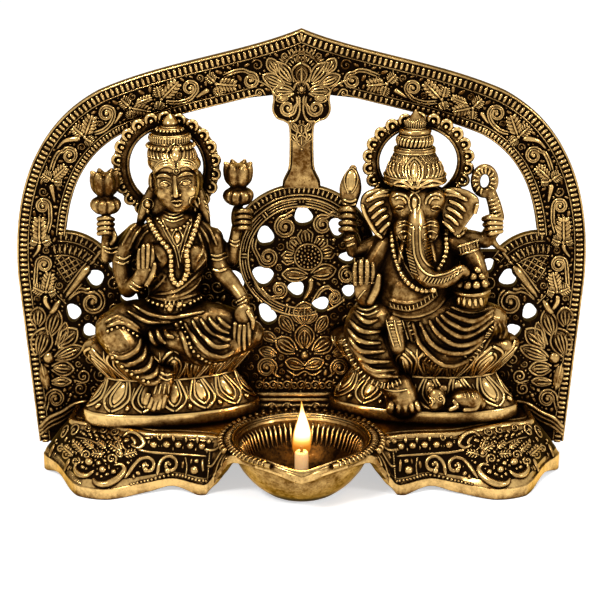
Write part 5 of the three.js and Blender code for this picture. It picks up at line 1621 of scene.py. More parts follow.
def lakshmi_masses():
    """Lakshmi's body, seated at ease, as three groups of masses: legs, torso and head."""
    legs, torso, head, fingers = (Clay(LAKSHMI) for _ in range(4))
    legs.oval([(42, 19, 11, 2, -3), (50, 17, 10.5, 2, -3), (58, 13.4, 9, 2.4, -3)])
    legs.limb([(-8, -3, 52, 10.5), (-19, -9, 53.5, 10), (-26, -14, 51, 8.6)])
    legs.limb([(-26, -14.6, 51, 9.4), (-17.6, -16.4, 38.5, 8.6), (-9.5, -17.6, 29, 6.4)])
    legs.blob(-26, -16, 51.6, 8.4, 7.6, 8.6)
    legs.limb([legs.seen(165, 376, -17.8) + (4.8,), legs.seen(161, 388, -18.8) + (5.6,),
               legs.seen(155, 401, -18.8) + (5.7,)],
              flat=0.8)
    legs.limb([(8, -4, 52, 10.5), (26, -9, 51.5, 10), (40, -10.5, 47.6, 6.8)])
    legs.limb([(38, -11.5, 46, 6.6), (22, -17, 42.5, 6.8), (2, -15.5, 46.5, 5)])
    legs.limb([(4, -15.5, 46.4, 4), (-6.5, -15.8, 48.2, 3.2)])
    legs.blob(18.5, -11.5, 43.5, 17.5, 8.6, 12, tip=-6)
    torso.oval([(54, 16, 10.4, 2.2, -3), (60, 13.8, 9.4, 2.5, -3), (68, 12.6, 8.8, 2.8, -3.5),
                (78, 14.4, 9, 3, -3.5), (88, 17, 9, 3.4, -3), (94, 18.6, 8.4, 4, -2.4),
                (99, 17.4, 7, 4.4, -2), (103, 12, 6, 4.6, -1.8), (107, 6, 5, 4.8, -2)])
    for x, z in ((-4, 87), (12.6, 86.6)):
        torso.blob(x, -9.4, z, 7.2, 6, 6.9)
    torso.limb([(4.3, -1.5, 98, 4.7), (5.4, -2.8, 114, 4.3)])
    torso.limb([(-14.5, -2.4, 96, 5.2), (-22, -4, 83, 5), (-19, -9, 70, 4.4)])
    torso.limb([(-19, -9, 70, 4.3), (-14, -14.2, 75.5, 3.6), (-12, -16, 80.5, 2.8)])
    torso.blob(*torso.seen(145.4, 274, -16.8), 4.5, 2, 5.8)
    torso.limb([(-15, 0.5, 96, 4.6), (-24.5, 0.5, 88, 4), (-29.2, -0.5, 83.8, 3.6)])
    torso.limb([(-29.2, -0.5, 83.8, 3.5), (-29.2, -1.6, 91, 2.9), (-28.9, -2.4, 96, 2.6)])
    torso.blob(-28.9, -2.8, 99.4, 3.6, 3, 7.4)
    torso.limb([(22, -1.2, 93.5, 5.2), (24.4, -3.6, 80, 4.8), (31.4, -7, 71.6, 4.2)])
    torso.limb([(31.4, -7, 71.6, 4), (36, -11.6, 66.6, 3.2), (37, -14, 62, 3)])
    torso.blob(*torso.seen(244, 316, -16.6), 4.9, 2.2, 6.2)
    torso.limb([(20, 1.2, 94, 4.6), (26.6, 0.8, 86.6, 4), (30.5, 0.5, 82, 3.7)])
    torso.limb([(30.5, 0.5, 82, 3.6), (32.4, -0.4, 92, 2.9), (33.6, -1, 99, 2.6)])
    torso.blob(34.4, -1.5, 103.6, 3.6, 3, 7.4)
    hand_fingers(fingers, [
        [(139.4, 268, -17, 1.3), (139.2, 257, -17.4, 1.15), (139.8, 250, -16.8, 0.95)],
        [(143.4, 267, -17.4, 1.35), (143.4, 253, -17.8, 1.2), (143.8, 246, -17, 1)],
        [(147.6, 267, -17.4, 1.35), (148, 252, -17.8, 1.2), (148, 245.4, -17, 1)],
        [(151.6, 269, -17, 1.3), (152.4, 256, -17.4, 1.15), (152.2, 249.6, -16.8, 0.95)],
        [(147, 284, -17.8, 1.5), (152.6, 274, -18.6, 1.4), (154.6, 264, -18.2, 1)],
        [(235.4, 324, -17.8, 1.4), (234.2, 336, -18.8, 1.2), (234.6, 346, -18.6, 0.95)],
        [(240, 326, -18.2, 1.45), (238.8, 339, -19.2, 1.25), (239, 350, -19, 1)],
        [(244.6, 326, -18.2, 1.45), (244, 338, -19.2, 1.25), (244.2, 349, -19, 1)],
        [(249, 324, -17.8, 1.4), (249, 335, -18.8, 1.2), (249.2, 344, -18.6, 0.95)],
        [(248.4, 312, -17.8, 1.5), (252.8, 320, -18.8, 1.35), (252.6, 328, -18.6, 1)],
        *[[(x + 2.4, y - 8, -22, 1.6), (x, y, -22.3, 1.6)]
          for x, y in ((146, 402.6), (149.6, 406.4), (154, 408.4), (158.6, 407.6))],
        [(165, 396, -21.6, 1.8), (162.6, 406, -21.8, 1.6)],
    ])
    for px, wide, rows in ((106, 7, (218, 223, 228, 232.5)), (243, -7, (211, 216.5, 222, 227.5))):
        for py in rows:
            hand_fingers(fingers, [[(px - wide, py + 1, -3.6, 1.3), (px, py - 0.6, -6.4, 1.35),
                                    (px + wide, py + 1.4, -4, 1.1)]])
    hand_fingers(fingers, [[(113, 232, -4, 1.4), (115, 238, -4.6, 1.5), (112, 243, -4, 1.4)]])
    lotus_bud(torso, -29, -2.5, 110.9)
    lotus_bud(torso, 34.6, -1.5, 115.1)
    calm_face(head, 6.4, -5, 124, 1.16, -4)
    head.blob(4.4, 0.8, 121.5, 12, 8, 12.6)
    head.blob(4, 1.4, 108, 13, 3.6, 12)
    for side, x, z in ((-1, -6.2, 121.6), (1, 15.6, 122.4)):
        head.blob(x, -1.4, z, 2.3, 2.8, 5)
        head.blob(x + side * 0.4, -2.6, z + 0.6, 1.6, 2.4, 3.6)
    head.limb([(-6.4, 0.6, 117, 2.8), (-10.4, 0.4, 109, 2.7), (-13.4, 0, 99, 1.8)], flat=0.8)
    head.limb([(15, 0.6, 117, 2.8), (17.6, 0.4, 108, 2.8), (19.4, 0, 97, 1.8)], flat=0.8)
    head.oval(LAKSHMI_CROWN)
    return [clay.mesh() for clay in (legs, torso, head, fingers)]


LAKSHMI_CROWN = [
    (129, 11.6, 11, 4.6, -2.8), (130.6, 12.6, 12, 4.5, -2.6), (132.2, 12.6, 12.1, 4.2, -2.4),
    (134.4, 11.8, 11.2, 3.6, -2.1), (138, 10.7, 9.4, 3, -1.6), (139, 10.2, 8.7, 2.8, -1.4),
    (139.9, 10.9, 9.2, 2.7, -1.2), (140.8, 10.3, 8.6, 2.6, -1), (141.4, 8.8, 7.4, 2.5, -0.9),
    (142.1, 9.6, 8, 2.4, -0.8), (144.8, 9.6, 8, 2.3, -0.4), (145.5, 6.8, 5.9, 2.3, -0.2),
    (146.4, 5.9, 5.2, 2.3, 0), (148, 5.9, 5.2, 2.4, 0.2), (148.7, 3.6, 3.4, 2.4, 0.5),
    (150.4, 3.7, 3.5, 2.5, 0.8), (152.2, 2.7, 2.6, 2.5, 1.1), (153.6, 1.2, 1.2, 2.5, 1.3),
    (154.4, 0.4, 0.4, 2.5, 1.4),
]


def lakshmi_folds(relief):
    """The heavy folds of the cloth, fused with the legs."""
    shin = [[(110, 352), (122, 357), (136, 350), (140, 337)],
            [(115, 358), (127, 364), (142, 357), (145, 340)],
            [(120, 364), (134, 371), (148, 366), (151, 350)],
            [(126, 368), (140, 376), (154, 374), (158, 358)],
            [(134, 374), (148, 382), (160, 378), (163, 364)]]
    for fold in shin:
        relief.line(fold, [0.9, 1.6, 1.6, 1], 6, lift=0.6)
    for fold in ([(105, 323), (120, 318), (140, 328)], [(107, 327), (122, 323), (141, 333)],
                 [(185, 322), (193, 338), (207, 352), (222, 356), (234, 350)],
                 [(192, 319), (202, 336), (216, 347), (230, 345)],
                 [(200, 318), (211, 332), (224, 340), (231, 339)],
                 [(208, 317), (218, 328), (230, 333)], [(217, 317), (224, 324), (231, 328)],
                 [(150, 330), (153, 340), (162, 347)], [(156, 329), (160, 338), (167, 343)],
                 [(163, 329), (168, 336), (175, 338)],
                 [(132, 305), (150, 315), (176, 317), (205, 312)], [(126, 311), (148, 322), (172, 322)]):
        relief.line(fold, [0.8] + [1.45] * (len(fold) - 2) + [0.8], 6, lift=0.65)
    relief.line([(175, 322), (184, 340), (190, 355), (205, 366), (220, 368), (238, 360)], 1.5, 6)


def lakshmi_sash(relief):
    """Sash folds, the drape at the shoulders and the belt, fused with the torso."""
    for fold in ([(150, 293), (160, 283), (166, 275)], [(155, 294), (175, 291), (191, 279), (200, 269)],
                 [(166, 297), (180, 295), (194, 287), (202, 275)], [(149, 286), (156, 279), (163, 272)],
                 [(148, 219), (134, 227), (122, 246)], [(149, 224), (138, 232), (129, 250)],
                 [(150, 230), (142, 237), (136, 250)],
                 [(200, 221), (210, 231), (217, 246)], [(198, 225), (206, 237), (211, 254)],
                 [(197, 231), (202, 244), (206, 262)]):
        relief.line(fold, [0.7] + [1.0] * (len(fold) - 2) + [0.6], 5, lift=0.3)
    for fold in ([(150, 262), (157, 271), (168, 276)], [(149, 268), (156, 277), (166, 282)],
                 [(184, 276), (195, 270), (205, 259)],
                 [(183, 282), (195, 277), (204, 267)], [(152, 242), (154, 252), (161, 262)],
                 [(203, 243), (202, 252), (196, 262)]):
        relief.line(fold, [0.6, 0.85, 0.5], 5, lift=0.25)
    for y in (297, 302):
        relief.line([(146, y - 2), (170, y + 3), (200, y - 4)], 1.0, 5, lift=0.2)


def lakshmi_jewels(relief):
    """Crisp strings, jewels and bands, drawn on the finished figure."""
    beads(relief, [(148, 217), (154, 229), (162, 242), (169, 253), (171, 265), (172, 277), (178, 284),
                   (186, 275), (188, 263), (187, 253), (191, 240), (195, 229), (198, 217)], 1.8, 1.6)
    for left, right in (([(159, 218), (166, 234), (175, 250), (179, 268)],
                         [(192, 222), (186, 240), (181, 258)]),
                        ([(162, 218), (169, 233), (177, 247), (181, 262)],
                         [(189, 222), (183, 238), (179, 254)])):
        relief.line(left, 0.42, 5)
        relief.line(right, 0.42, 5)
    beads(relief, [(158, 219), (163, 226), (172, 230), (183, 227), (191, 220)], 1.9, 0.85)
    for y in (213, 216.5, 220):
        relief.line([(163, y - 2), (173, y + 1.6), (183, y - 2)], 0.5, 4)
    relief.dome((177.5, 238), 3.4, 6.6, 1.7)
    relief.petal((177.5, 229), (177.5, 246), 10, 0, 0.4, 0)
    relief.dome((170, 308), 4.4, 6, 1.5)
    relief.dome((180, 305), 3.4, 5, 1.2)
    for x in (166, 170, 174, 178, 182):
        relief.line([(x, 300), (x - 0.6, 306), (x - 1, 311)], 0.5, 3)
    beads(relief, [(147, 300), (158, 304), (170, 306), (186, 304), (200, 298)], 2.2, 0.95)
    beads(relief, [(113, 357), (129.5, 372), (150, 383)], 2.1, 0.9)
    beads(relief, [(181, 322), (188, 340), (194, 351), (208, 361), (222, 362), (236, 356)], 2.1, 0.9)
    beads(relief, [(108, 331), (121, 327), (138, 337)], 2, 0.8)
    for row, width in (([(129, 285), (138, 291), (147, 288)], 0.75),
                       ([(131, 281), (140, 287), (148, 285)], 0.6),
                       ([(233, 303), (240, 300), (246, 296)], 0.7),
                       ([(235, 306), (242, 303), (248, 299)], 0.6),
                       ([(209, 254), (217, 256), (227, 252)], 0.6),
                       ([(210, 258), (218, 260), (228, 256)], 0.6),
                       ([(211, 268), (219, 271), (228, 268)], 0.8),
                       ([(116, 256), (124, 259), (131, 255)], 0.6),
                       ([(115, 261), (123, 264), (131, 260)], 0.6),
                       ([(103, 246), (110, 249), (118, 247)], 0.6),
                       ([(104, 250), (111, 253), (118, 251)], 0.6),
                       ([(228, 239), (235, 242), (242, 238)], 0.6),
                       ([(229, 243), (236, 246), (242, 242)], 0.6),
                       ([(160, 372), (167, 375), (175, 372)], 0.8),
                       ([(159, 376), (167, 380), (176, 376)], 0.6)):
        relief.line(row, width, 4)
    for x, y, r in ((148, 204, 3.6), (194.5, 201.5, 3.4)):
        relief.dome((x, y), r, r * 1.25, 1.8)
        relief.arc((x, y), r * 1.5, 0, 360, 0.5)
        relief.dome((x, y + 8), 1.8, 3.4, 1.2)
    for x, y in ((99.5, 406), (132, 409), (202, 410)):
        relief.dome((x, y), 3.6, 3.6, 1.8)
    for k in range(5):
        relief.line([(157 + k * 4, 384), (155.4 + k * 4.4, 390), (154 + k * 4.8, 394)], 0.55, 3)
    for k in range(5):
        relief.line([(136 - k * 2.4, 197 + k * 4), (131 - k * 1.6, 201 + k * 4.6),
                     (126.6 - k * 0.4, 204 + k * 4.8)], 0.5, 3)
        relief.line([(203 + k * 2, 200 + k * 5), (207 + k * 1.6, 204 + k * 5), (212, 206 + k * 5)], 0.5, 3)


def lakshmi_head_lines(relief, crown):
    """Turban bands, reeds and beads, and the jewel on its front."""
    for z, width in ((134.6, 0.4), (139, 0.45), (141.6, 0.45), (145.2, 0.45), (148.5, 0.45)):
        crown.line([(u, z) for u in range(0, 361, 8)], width, 1, taper=False)
    beads(crown, [(u, 139.9) for u in range(160, 381, 6)], 1.8, 0.85, 1)
    beads(crown, [(u, 147.2) for u in range(160, 381, 8)], 1.6, 0.75, 1)
    for k in range(-13, 14):
        u = 270 + k * 8
        crown.line([(u, 142.1), (u, 143.4), (u, 144.8)], 0.62, 1)
    for side in (-1, 1):
        for k in range(7):
            u = 270 + side * (20 + k * 12)
            crown.line([(u - side * 5, 135), (u, 136.4), (u + side * 3, 138.4)], 0.55, 2)
        for rise, width in ((0, 1), (3, 0.8), (6, 0.65)):
            relief.line([(175.8 + side * a, b - rise * 0.9)
                         for a, b in ((1, 168.6 + rise * 0.4), (6, 165.6), (12, 165.6), (18, 169),
                                      (21.6, 174.6))],
                        width, 5)
    relief.dome((175.6, 154.4), 4.6, 8, 2)
    relief.petal((175.8, 165.4), (175.4, 143.4), 17, 0, 0.6, 0, foot=0.45, point=0.6)
    relief.petal((175.8, 163), (175.4, 146.6), 9, 0, 0.5, 1.6, foot=0.4, point=0.6)
    relief.dome((176.4, 171), 1.5, 1.5, 0.9)
    relief.arc((176.4, 171), 2.9, 0, 360, 0.4)


GANESHA_CROWN = [
    (121, 13.4, 11, -6.6, -5), (122.4, 14.8, 11.8, -6.7, -4.9), (124.4, 14.9, 11.8, -6.8, -4.7),
    (128, 13.6, 10.6, -6.9, -4), (132, 11.4, 9, -7, -3.1), (135.4, 9.4, 7.6, -7, -2.4),
    (136.1, 10, 8, -7, -2.2), (137.6, 9.9, 7.9, -7, -2), (138.2, 7.8, 6.6, -7, -1.9),
    (140.8, 8.5, 7.1, -7, -1.6), (143.2, 7.8, 6.6, -7, -1.3), (143.8, 7.3, 6.2, -7, -1.2),
    (145.2, 8, 6.7, -7, -1.1), (146.6, 7.2, 6.1, -7, -1), (147.2, 4.8, 4.4, -6.9, -0.9),
    (149.4, 4.9, 4.5, -6.8, -0.7), (152, 3, 2.9, -6.8, -0.4), (154.4, 1.1, 1.1, -6.8, -0.1),
    (155.5, 0.3, 0.3, -6.8, 0),
]


def ear_mass(clay, outline, depth):
    """A fan-shaped ear with a rounded rim, from an outline in the photograph's points."""
    run = [clay.seen(*p, depth) for p in smooth_points([*outline, outline[0]], 4)[:-1]]
    middle = [sum(p[i] for p in run) / len(run) for i in range(3)]
    rings = []
    for y, share in ((1.6, 0.9), (1.1, 0.97), (0, 1), (-1.1, 0.97), (-1.7, 0.9), (-1.2, 0.6)):
        rings.append([Vector((middle[0] + (p[0] - middle[0]) * share, depth + y,
                              middle[2] + (p[2] - middle[2]) * share)) for p in run])
    skin(clay.bm, rings, closed=True, capped=True)


def ganesha_masses():
    """Ganesha's body as masses: legs, torso with its arms, the elephant head, and fingers."""
    legs, torso, head, fingers = (Clay(GANESHA) for _ in range(4))
    legs.oval([(42, 20, 12, -5, -3), (52, 21, 12, -6, -3.4), (58, 20, 11, -6, -3.4)])
    legs.limb([(-20, -5, 56, 10.5), (-29.4, -11, 52.5, 9.6), (-31, -14, 43, 9.4), (-28, -16, 34, 9),
               (-23, -17, 27, 7)])
    legs.limb([(-28, -12, 42, 9.6), (-24, -14.4, 33, 9.4), (-18, -15.6, 27.6, 5)])
    legs.limb([(-20.4, -16, 24, 5), (-15.4, -17, 18, 5.2)])
    legs.limb([legs.seen(399.6, 386, -15) + (6.8,), legs.seen(401.4, 396, -16.6) + (8,),
               legs.seen(403.4, 404, -16) + (8.4,)], flat=0.72)
    legs.limb([(0, -6, 55, 11), (18, -9.6, 54.6, 10.4), (31.6, -10.6, 53, 8)])
    legs.blob(12.6, -10.6, 45, 20.6, 9.6, 15)
    legs.blob(9, -12, 38, 14, 8.8, 10)
    legs.blob(*legs.seen(499, 331.5, -9.6), 4.6, 4, 5.4)
    legs.limb([legs.seen(394, 322, -15.6) + (4.4,), legs.seen(396, 346, -16.8) + (4.8,)], flat=0.6)
    legs.blob(*legs.seen(437, 398.4, -18), 4.6, 3.6, 5.8, tip=-18)
    legs.blob(*legs.seen(434, 405.6, -19.4), 3, 2.6, 2.6)
    for x, y in ((430.6, 390), (443.4, 388.6)):
        legs.blob(*legs.seen(x, y, -17.4), 2.1, 1.3, 2.1)
    legs.limb([legs.seen(451, 402, -15.4) + (4,), legs.seen(461, 398.6, -16) + (5.2,),
               legs.seen(472, 400, -16) + (5.4,),
               legs.seen(480, 404, -15.4) + (3,)])
    legs.blob(*legs.seen(472, 403.6, -18.4), 4.2, 3, 4.2)
    torso.oval([(54, 21, 12.4, -6, -4), (62, 22, 13.4, -6.5, -4.6), (72, 21.6, 13, -6.5, -4),
                (82, 20.5, 10.5, -5.5, -3), (90, 18.6, 8.8, -4.8, -2.4), (96, 11, 7, -5.4, -2.4)])
    torso.blob(-6.6, -10.4, 67.6, 14.6, 9.4, 11.4)
    torso.limb([(-20, -3.6, 90, 5.8), (-27.6, -8, 77, 5.2), (-30, -13, 65, 4.8)])
    torso.limb([(-30, -13, 65, 4.8), (-29.8, -16.4, 69, 3.6)])
    torso.blob(*torso.seen(365.5, 288, -17.6), 5.7, 2.4, 9.4)
    torso.limb([(-19, -1, 91, 5), (-29, -2.5, 87, 4.2), (-35.6, -4.5, 86.4, 3.8)])
    torso.limb([(-35.6, -4.5, 86.4, 3.7), (-37.4, -5.4, 94, 3.2)])
    torso.blob(-38, -5.4, 100.4, 4, 3.2, 5.2)
    torso.limb([(-38, -5.6, 105, 2.4), (-38, -5.4, 110, 3.6), (-37.6, -5, 117, 5.4), (-37, -4.8, 123, 4.4),
                (-36.4, -4.6, 127.6, 2)],
               flat=0.62)
    torso.limb([(12.4, -3.6, 90, 6), (20.4, -6.4, 86, 5.6), (24.6, -10.4, 76, 5)])
    torso.limb([(24.6, -10.4, 76, 4.8), (24, -14, 66, 4.2)])
    torso.blob(21.4, -16, 62.4, 7, 5, 3.6)
    reeded = lambda u, z: 1 + (0.03 * math.cos(16 * 2 * math.pi * u) if z < 69 else 0)
    torso.oval([(62, 4.4, 4, 21.4, -17), (63.6, 6.8, 5.4, 21.4, -17.2), (68, 8, 6.2, 21.4, -17.2),
                (69.4, 8.8, 6.9, 21.4, -17.2), (70.8, 8.6, 6.7, 21.4, -17.2), (71.2, 6.6, 5.2, 21.4, -17.2),
                (73, 4.6, 3.6, 21.4, -16.8), (75, 2, 2, 21.4, -16.4)], swell=reeded)
    for x, y, depth in ((460, 284, -20.4), (467.6, 285.6, -21.8), (476, 285.4, -21.8), (484, 284, -20.4),
                        (465, 277, -18.6), (473, 277.4, -19.6), (481, 277.4, -18.6), (477, 271, -17)):
        fingers.blob(*fingers.seen(x, y, depth), 2.15, 2, 2.15)
    torso.limb([(14, -1.5, 92, 5), (21.4, -2.5, 92, 4.2), (28, -3.4, 91, 3.8)])
    torso.limb([(28, -3.4, 91, 3.7), (30.6, -3.8, 97, 3.3)])
    torso.blob(31.4, -4, 99.6, 4.4, 3.2, 5.2)
    torso.ring(26.8, -2.8, 121, (6.8, 8.4), (2, 3.4), 4.6, 40)
    torso.limb([(30, -2.8, 114.6, 3), (32, -3, 109, 3.3), (33.4, -3.4, 103, 3.6)])
    torso.limb([(32, -3.6, 96, 3.4), (31.4, -3.4, 92, 2), (34, -3, 88, 1.4), (38, -2.6, 85.6, 1)])
    ear_mass(head, [(391, 190), (376, 188), (364, 193), (360, 202), (362, 213), (368, 225), (375, 235),
                    (382, 240), (388, 231), (394, 218)], -6.4)
    ear_mass(head, [(440, 190), (456, 187.4), (470, 191), (479, 199), (477, 209), (469, 221), (461, 232),
                    (456, 238), (449, 230), (441, 217)], -6.4)
    head.blob(-6.2, -5.6, 111, 12.8, 10.4, 13)
    head.blob(-6, -7.6, 99.4, 11.4, 9.4, 10.4)
    head.blob(-5.8, -8, 92, 8.4, 8, 7)
    for x, side in ((-13.9, -1), (2, 1)):
        head.blob(x, -11.4, 114.6, 5.4, 4.4, 5.6)
        head.blob(x - side * 0.6, -11.4, 99.6, 3.6, 4.2, 6)
    for px in (405.7, 429.6):
        head.blob(*head.seen(px, 236.8, -14.4), 2.7, 1.5, 1.9)
    head.limb([(-6.2, -13.4, 111, 3.4), (-6.1, -16, 104, 4.4), (-6, -18, 96, 4.9), (-5.4, -19.6, 88.4, 5),
               (-3.4, -20.8, 81.6, 4.8), (0.6, -21.4, 77.6, 4.4), (6.4, -21.8, 77.2, 4),
               (11.4, -21.8, 79.4, 3.5), (15, -21.4, 82, 2.9), (17.4, -20.8, 80.6, 2.2)], sides=24)
    for side, x in ((-1, -11.6), (1, 0.2)):
        head.limb([(x, -13, 93, 1.9), (x + side * 1.4, -16, 88.4, 1.6), (x + side * 2.4, -18, 85.4, 1)])
    head.oval(GANESHA_CROWN)
    hand_fingers(fingers, [
        [(355.8, 284, -18, 1.55), (355.2, 272, -18.8, 1.45), (355.8, 264, -18.2, 1.15)],
        [(361.2, 283, -18.6, 1.6), (361, 269, -19.4, 1.5), (361.2, 261.4, -18.8, 1.2)],
        [(366.8, 283, -18.6, 1.6), (367, 269, -19.4, 1.5), (367, 261.8, -18.8, 1.2)],
        [(372.2, 284, -18, 1.55), (372.8, 272, -18.8, 1.45), (372.4, 264.4, -18.2, 1.15)],
        [(370, 301, -18.8, 2.2), (376, 289, -19.6, 2.1), (378.6, 276, -18.8, 1.4)],
        *[[(x - lean * 0.4, 402.6, -20, r * 0.9), (x, 406.6, -21, r),
           (x + lean * 0.4, 411.4 - 0.4 * abs(lean), -20.6, r * 0.94)]
          for x, lean, r in ((390.6, -1.6, 2.1), (398.4, -0.4, 1.7), (405, 0.6, 1.65), (411.4, 1.8, 1.6),
                             (417.4, 3.2, 1.5))],
        [(454, 401, -19.4, 1.4), (456.6, 406, -20.4, 1.5), (450.4, 409.4, -20.8, 1.3)],
        [(478, 402, -18.6, 1.5), (475, 408.4, -20, 1.6), (465, 409.6, -20.6, 1.4)],
        *[[(341, y + 1.6, -6, 1.5), (348, y - 0.4, -9, 1.6), (355.6, y + 2.4, -6.6, 1.3)]
          for y in (209, 215.4, 222, 228.4)],
        *[[(484 + k, 219 + k * 5.6, -5, 1.4), (492, 217 + k * 5.2, -7.4, 1.6), (501, 219 + k * 4, -5.4, 1.3)]
          for k in range(4)],
    ])
    return [clay.mesh() for clay in (legs, torso, head, fingers)]


def ganesha_folds(relief):
    """The heavy folds of both drapes, fused with the legs."""
    left = [[(354, 311), (366, 322), (378, 319)], [(350, 320), (362, 331), (380, 331)],
            [(348, 328), (361, 341), (381, 343)], [(349, 336), (362, 351), (385, 351)],
            [(351, 345), (366, 360), (390, 361)], [(355, 353), (371, 369), (395, 370)],
            [(359, 361), (375, 374), (399, 376)]]
    right = [[(412, 321), (420, 342), (435, 359), (450, 365), (466, 359), (481, 345)],
             [(420, 321), (431, 342), (447, 352), (469, 350), (490, 331)],
             [(429, 319), (438, 333), (455, 344), (475, 341), (494, 325)],
             [(436, 317), (448, 330), (466, 336), (494, 320)],
             [(440, 314), (452, 323), (469, 328), (493, 315)],
             [(445, 311), (460, 318), (476, 320), (494, 310)], [(450, 307), (469, 312), (493, 308)]]
    for fold in left + right:
        relief.line(fold, [0.8] + [1.55] * (len(fold) - 2) + [0.8], 6, lift=0.65)
    relief.line([(345, 309), (342, 326), (346, 345), (355, 364), (368, 379), (386, 386), (401, 381)], 1.2, 6)
    relief.line([(406, 320), (410, 333), (415, 349), (424, 361), (436, 370), (450, 374), (465, 369),
                 (478, 357), (487, 342), (496, 326)], 1.2, 6)
    for x in (494, 498.6, 503):
        relief.line([(x, 323), (x + 2, 331), (x, 339)], 0.8, 4)


def ganesha_wraps(relief):
    """The belt and the shoulder wraps, fused with the torso."""
    for lift in (0, 7):
        relief.line([(388, 299 + lift), (407, 303 + lift), (424, 298 + lift), (437, 288 + lift)], 0.9, 6)
    relief.line([(392, 313), (405, 316.5), (420, 315.4), (436, 309), (446, 297)], 1, 6)
    relief.line([(454, 291), (463, 294.4), (472.6, 295.4), (482, 294), (490, 290.6)], 0.9, 6)


def ganesha_jewels(relief):
    """Strings, bands, hems and the trunk's ridges, drawn crisp on the finished figure."""
    beads(relief, [(392, 232), (393, 244), (396, 258), (401, 272), (410, 284), (422, 290),
                   (436, 288)], 1.8, 1.7)
    beads(relief, [(446, 230), (446, 246), (443, 260), (437, 270)], 1.8, 1.6)
    for row in ([(397, 236), (400, 250), (405, 264), (414, 279)],
                [(413.4, 226), (413.6, 244), (415.6, 258), (422, 270), (433, 276), (447, 273.6), (458, 268)],
                [(419.6, 226), (420, 244), (422, 256), (428, 265), (436, 270)]):
        relief.line(row, 0.6, 5, lift=0.2)
    for k in range(11):
        y = 243 + k * 3.2
        relief.line([(405.6 + k * 0.7, y), (411.2 + k * 0.75, y + 2.9)], 0.95, 1, lift=0.35)
    for k in range(9):
        relief.line([(422.4 + k * 0.6, 240.4 + k * 3), (428.8 + k * 0.5, 238 + k * 3)], 0.95, 1, lift=0.35)
    for k in range(12):
        t = k / 11
        relief.line([(424 + 36 * t, 281 + 4 * math.sin(math.pi * t) - 9 * t * t),
                     (427.4 + 35 * t, 276.4 + 4 * math.sin(math.pi * t) - 8 * t * t)], 0.9, 1, lift=0.35)
    for k in range(13):
        t = k / 12
        x = 390 + 46 * t
        y = 302.6 + 5 * math.sin(math.pi * min(t * 1.15, 1)) - 11 * t * t
        relief.line([(x, y), (x + 1.2, y + 4.4)], 0.55, 1)
    comb(relief, [(345, 309), (342, 326), (346, 345), (355, 364), (368, 379), (386, 386), (401, 381)],
         1.35, 2.6, 0.5)
    comb(relief, [(408, 319), (413, 334), (418, 348), (426, 358.6), (438, 367), (450, 370.6), (463, 366),
                  (475, 355), (484, 341), (492, 327)], 1.3, 2.4, 0.5)
    for x, lean in ((386, 8), (394, 7), (402, 9)):
        relief.line([(x, 320), (x + lean * 0.5, 334), (x + lean, 347)], 0.55, 3)
    for k in range(8):
        relief.line([(388 + k * 0.9, 322 + k * 3.3), (393 + k * 0.9, 321.6 + k * 3.3)], 0.6, 1)
        relief.line([(396 + k * 0.9, 321.4 + k * 3.3), (400.6 + k * 0.9, 321 + k * 3.3)], 0.5, 1)
    for row, width in (([(355, 306), (366, 310), (378, 305)], 0.9),
                       ([(356, 311), (367, 315), (379, 310)], 0.7),
                       ([(457, 247), (468, 243.6), (479, 240)], 0.7),
                       ([(459, 255), (470, 252), (480, 248)], 0.7),
                       ([(336, 236), (345, 240), (354, 237)], 0.8),
                       ([(336, 242), (345, 246), (355, 243)], 0.8),
                       ([(384, 389), (396, 391), (408, 389)], 0.6),
                       ([(428, 396), (433, 401), (431, 406)], 0.6),
                       ([(440, 394), (444, 399), (443, 405)], 0.6),
                       ([(365, 290), (360, 296), (357, 301)], 0.4)):
        relief.line(row, width, 4)
    for k in range(7):
        relief.line([(459.6 + k * 2.8, 246 - k), (461 + k * 2.8, 253.4 - k)], 0.6, 1)
    for k in range(6):
        relief.dome((458.6 + k * 5.6, 300.6 + 2 * math.sin(math.pi * (k + 0.5) / 6)), 2.1, 4.4, 0.9)
    for x, y in ((432.4, 400.6), (440.4, 398.6)):
        relief.dome((x, y), 1.2, 1.2, 0.8)
        relief.arc((x, y), 2.6, 0, 360, 0.35)
    for k in range(4):
        relief.line([(463 + k * 4, 391.4), (465 + k * 4, 395), (465 + k * 4, 398.6)], 0.4, 2)
    for k in range(4):
        for x in (355.6, 361.1, 367, 372.5):
            relief.line([(x - 2.1, 266 + k * 5.4), (x, 267 + k * 5.4), (x + 2.1, 266 + k * 5.4)], 0.28, 1)
    relief.petal((350, 193), (352, 168), 13, 2, 0.55, 0.6)
    for y in (199, 203):
        relief.line([(343, y), (350, y + 2.6), (357, y)], 0.7, 4)
    for k in range(13):
        t = math.radians(-50 + k * 24)
        relief.line([(484.3 + 13.8 * a * math.cos(t + a * 0.3), 180.8 - 16.4 * a * math.sin(t + a * 0.3))
                     for a in (0.46, 0.66, 0.86)], 0.8, 1)
    for k in range(5):
        relief.line([(488.6 + k * 0.8, 201 + k * 4), (493 + k * 0.8, 200 + k * 4),
                     (498 + k * 0.8, 197 + k * 4)], 0.8, 1)


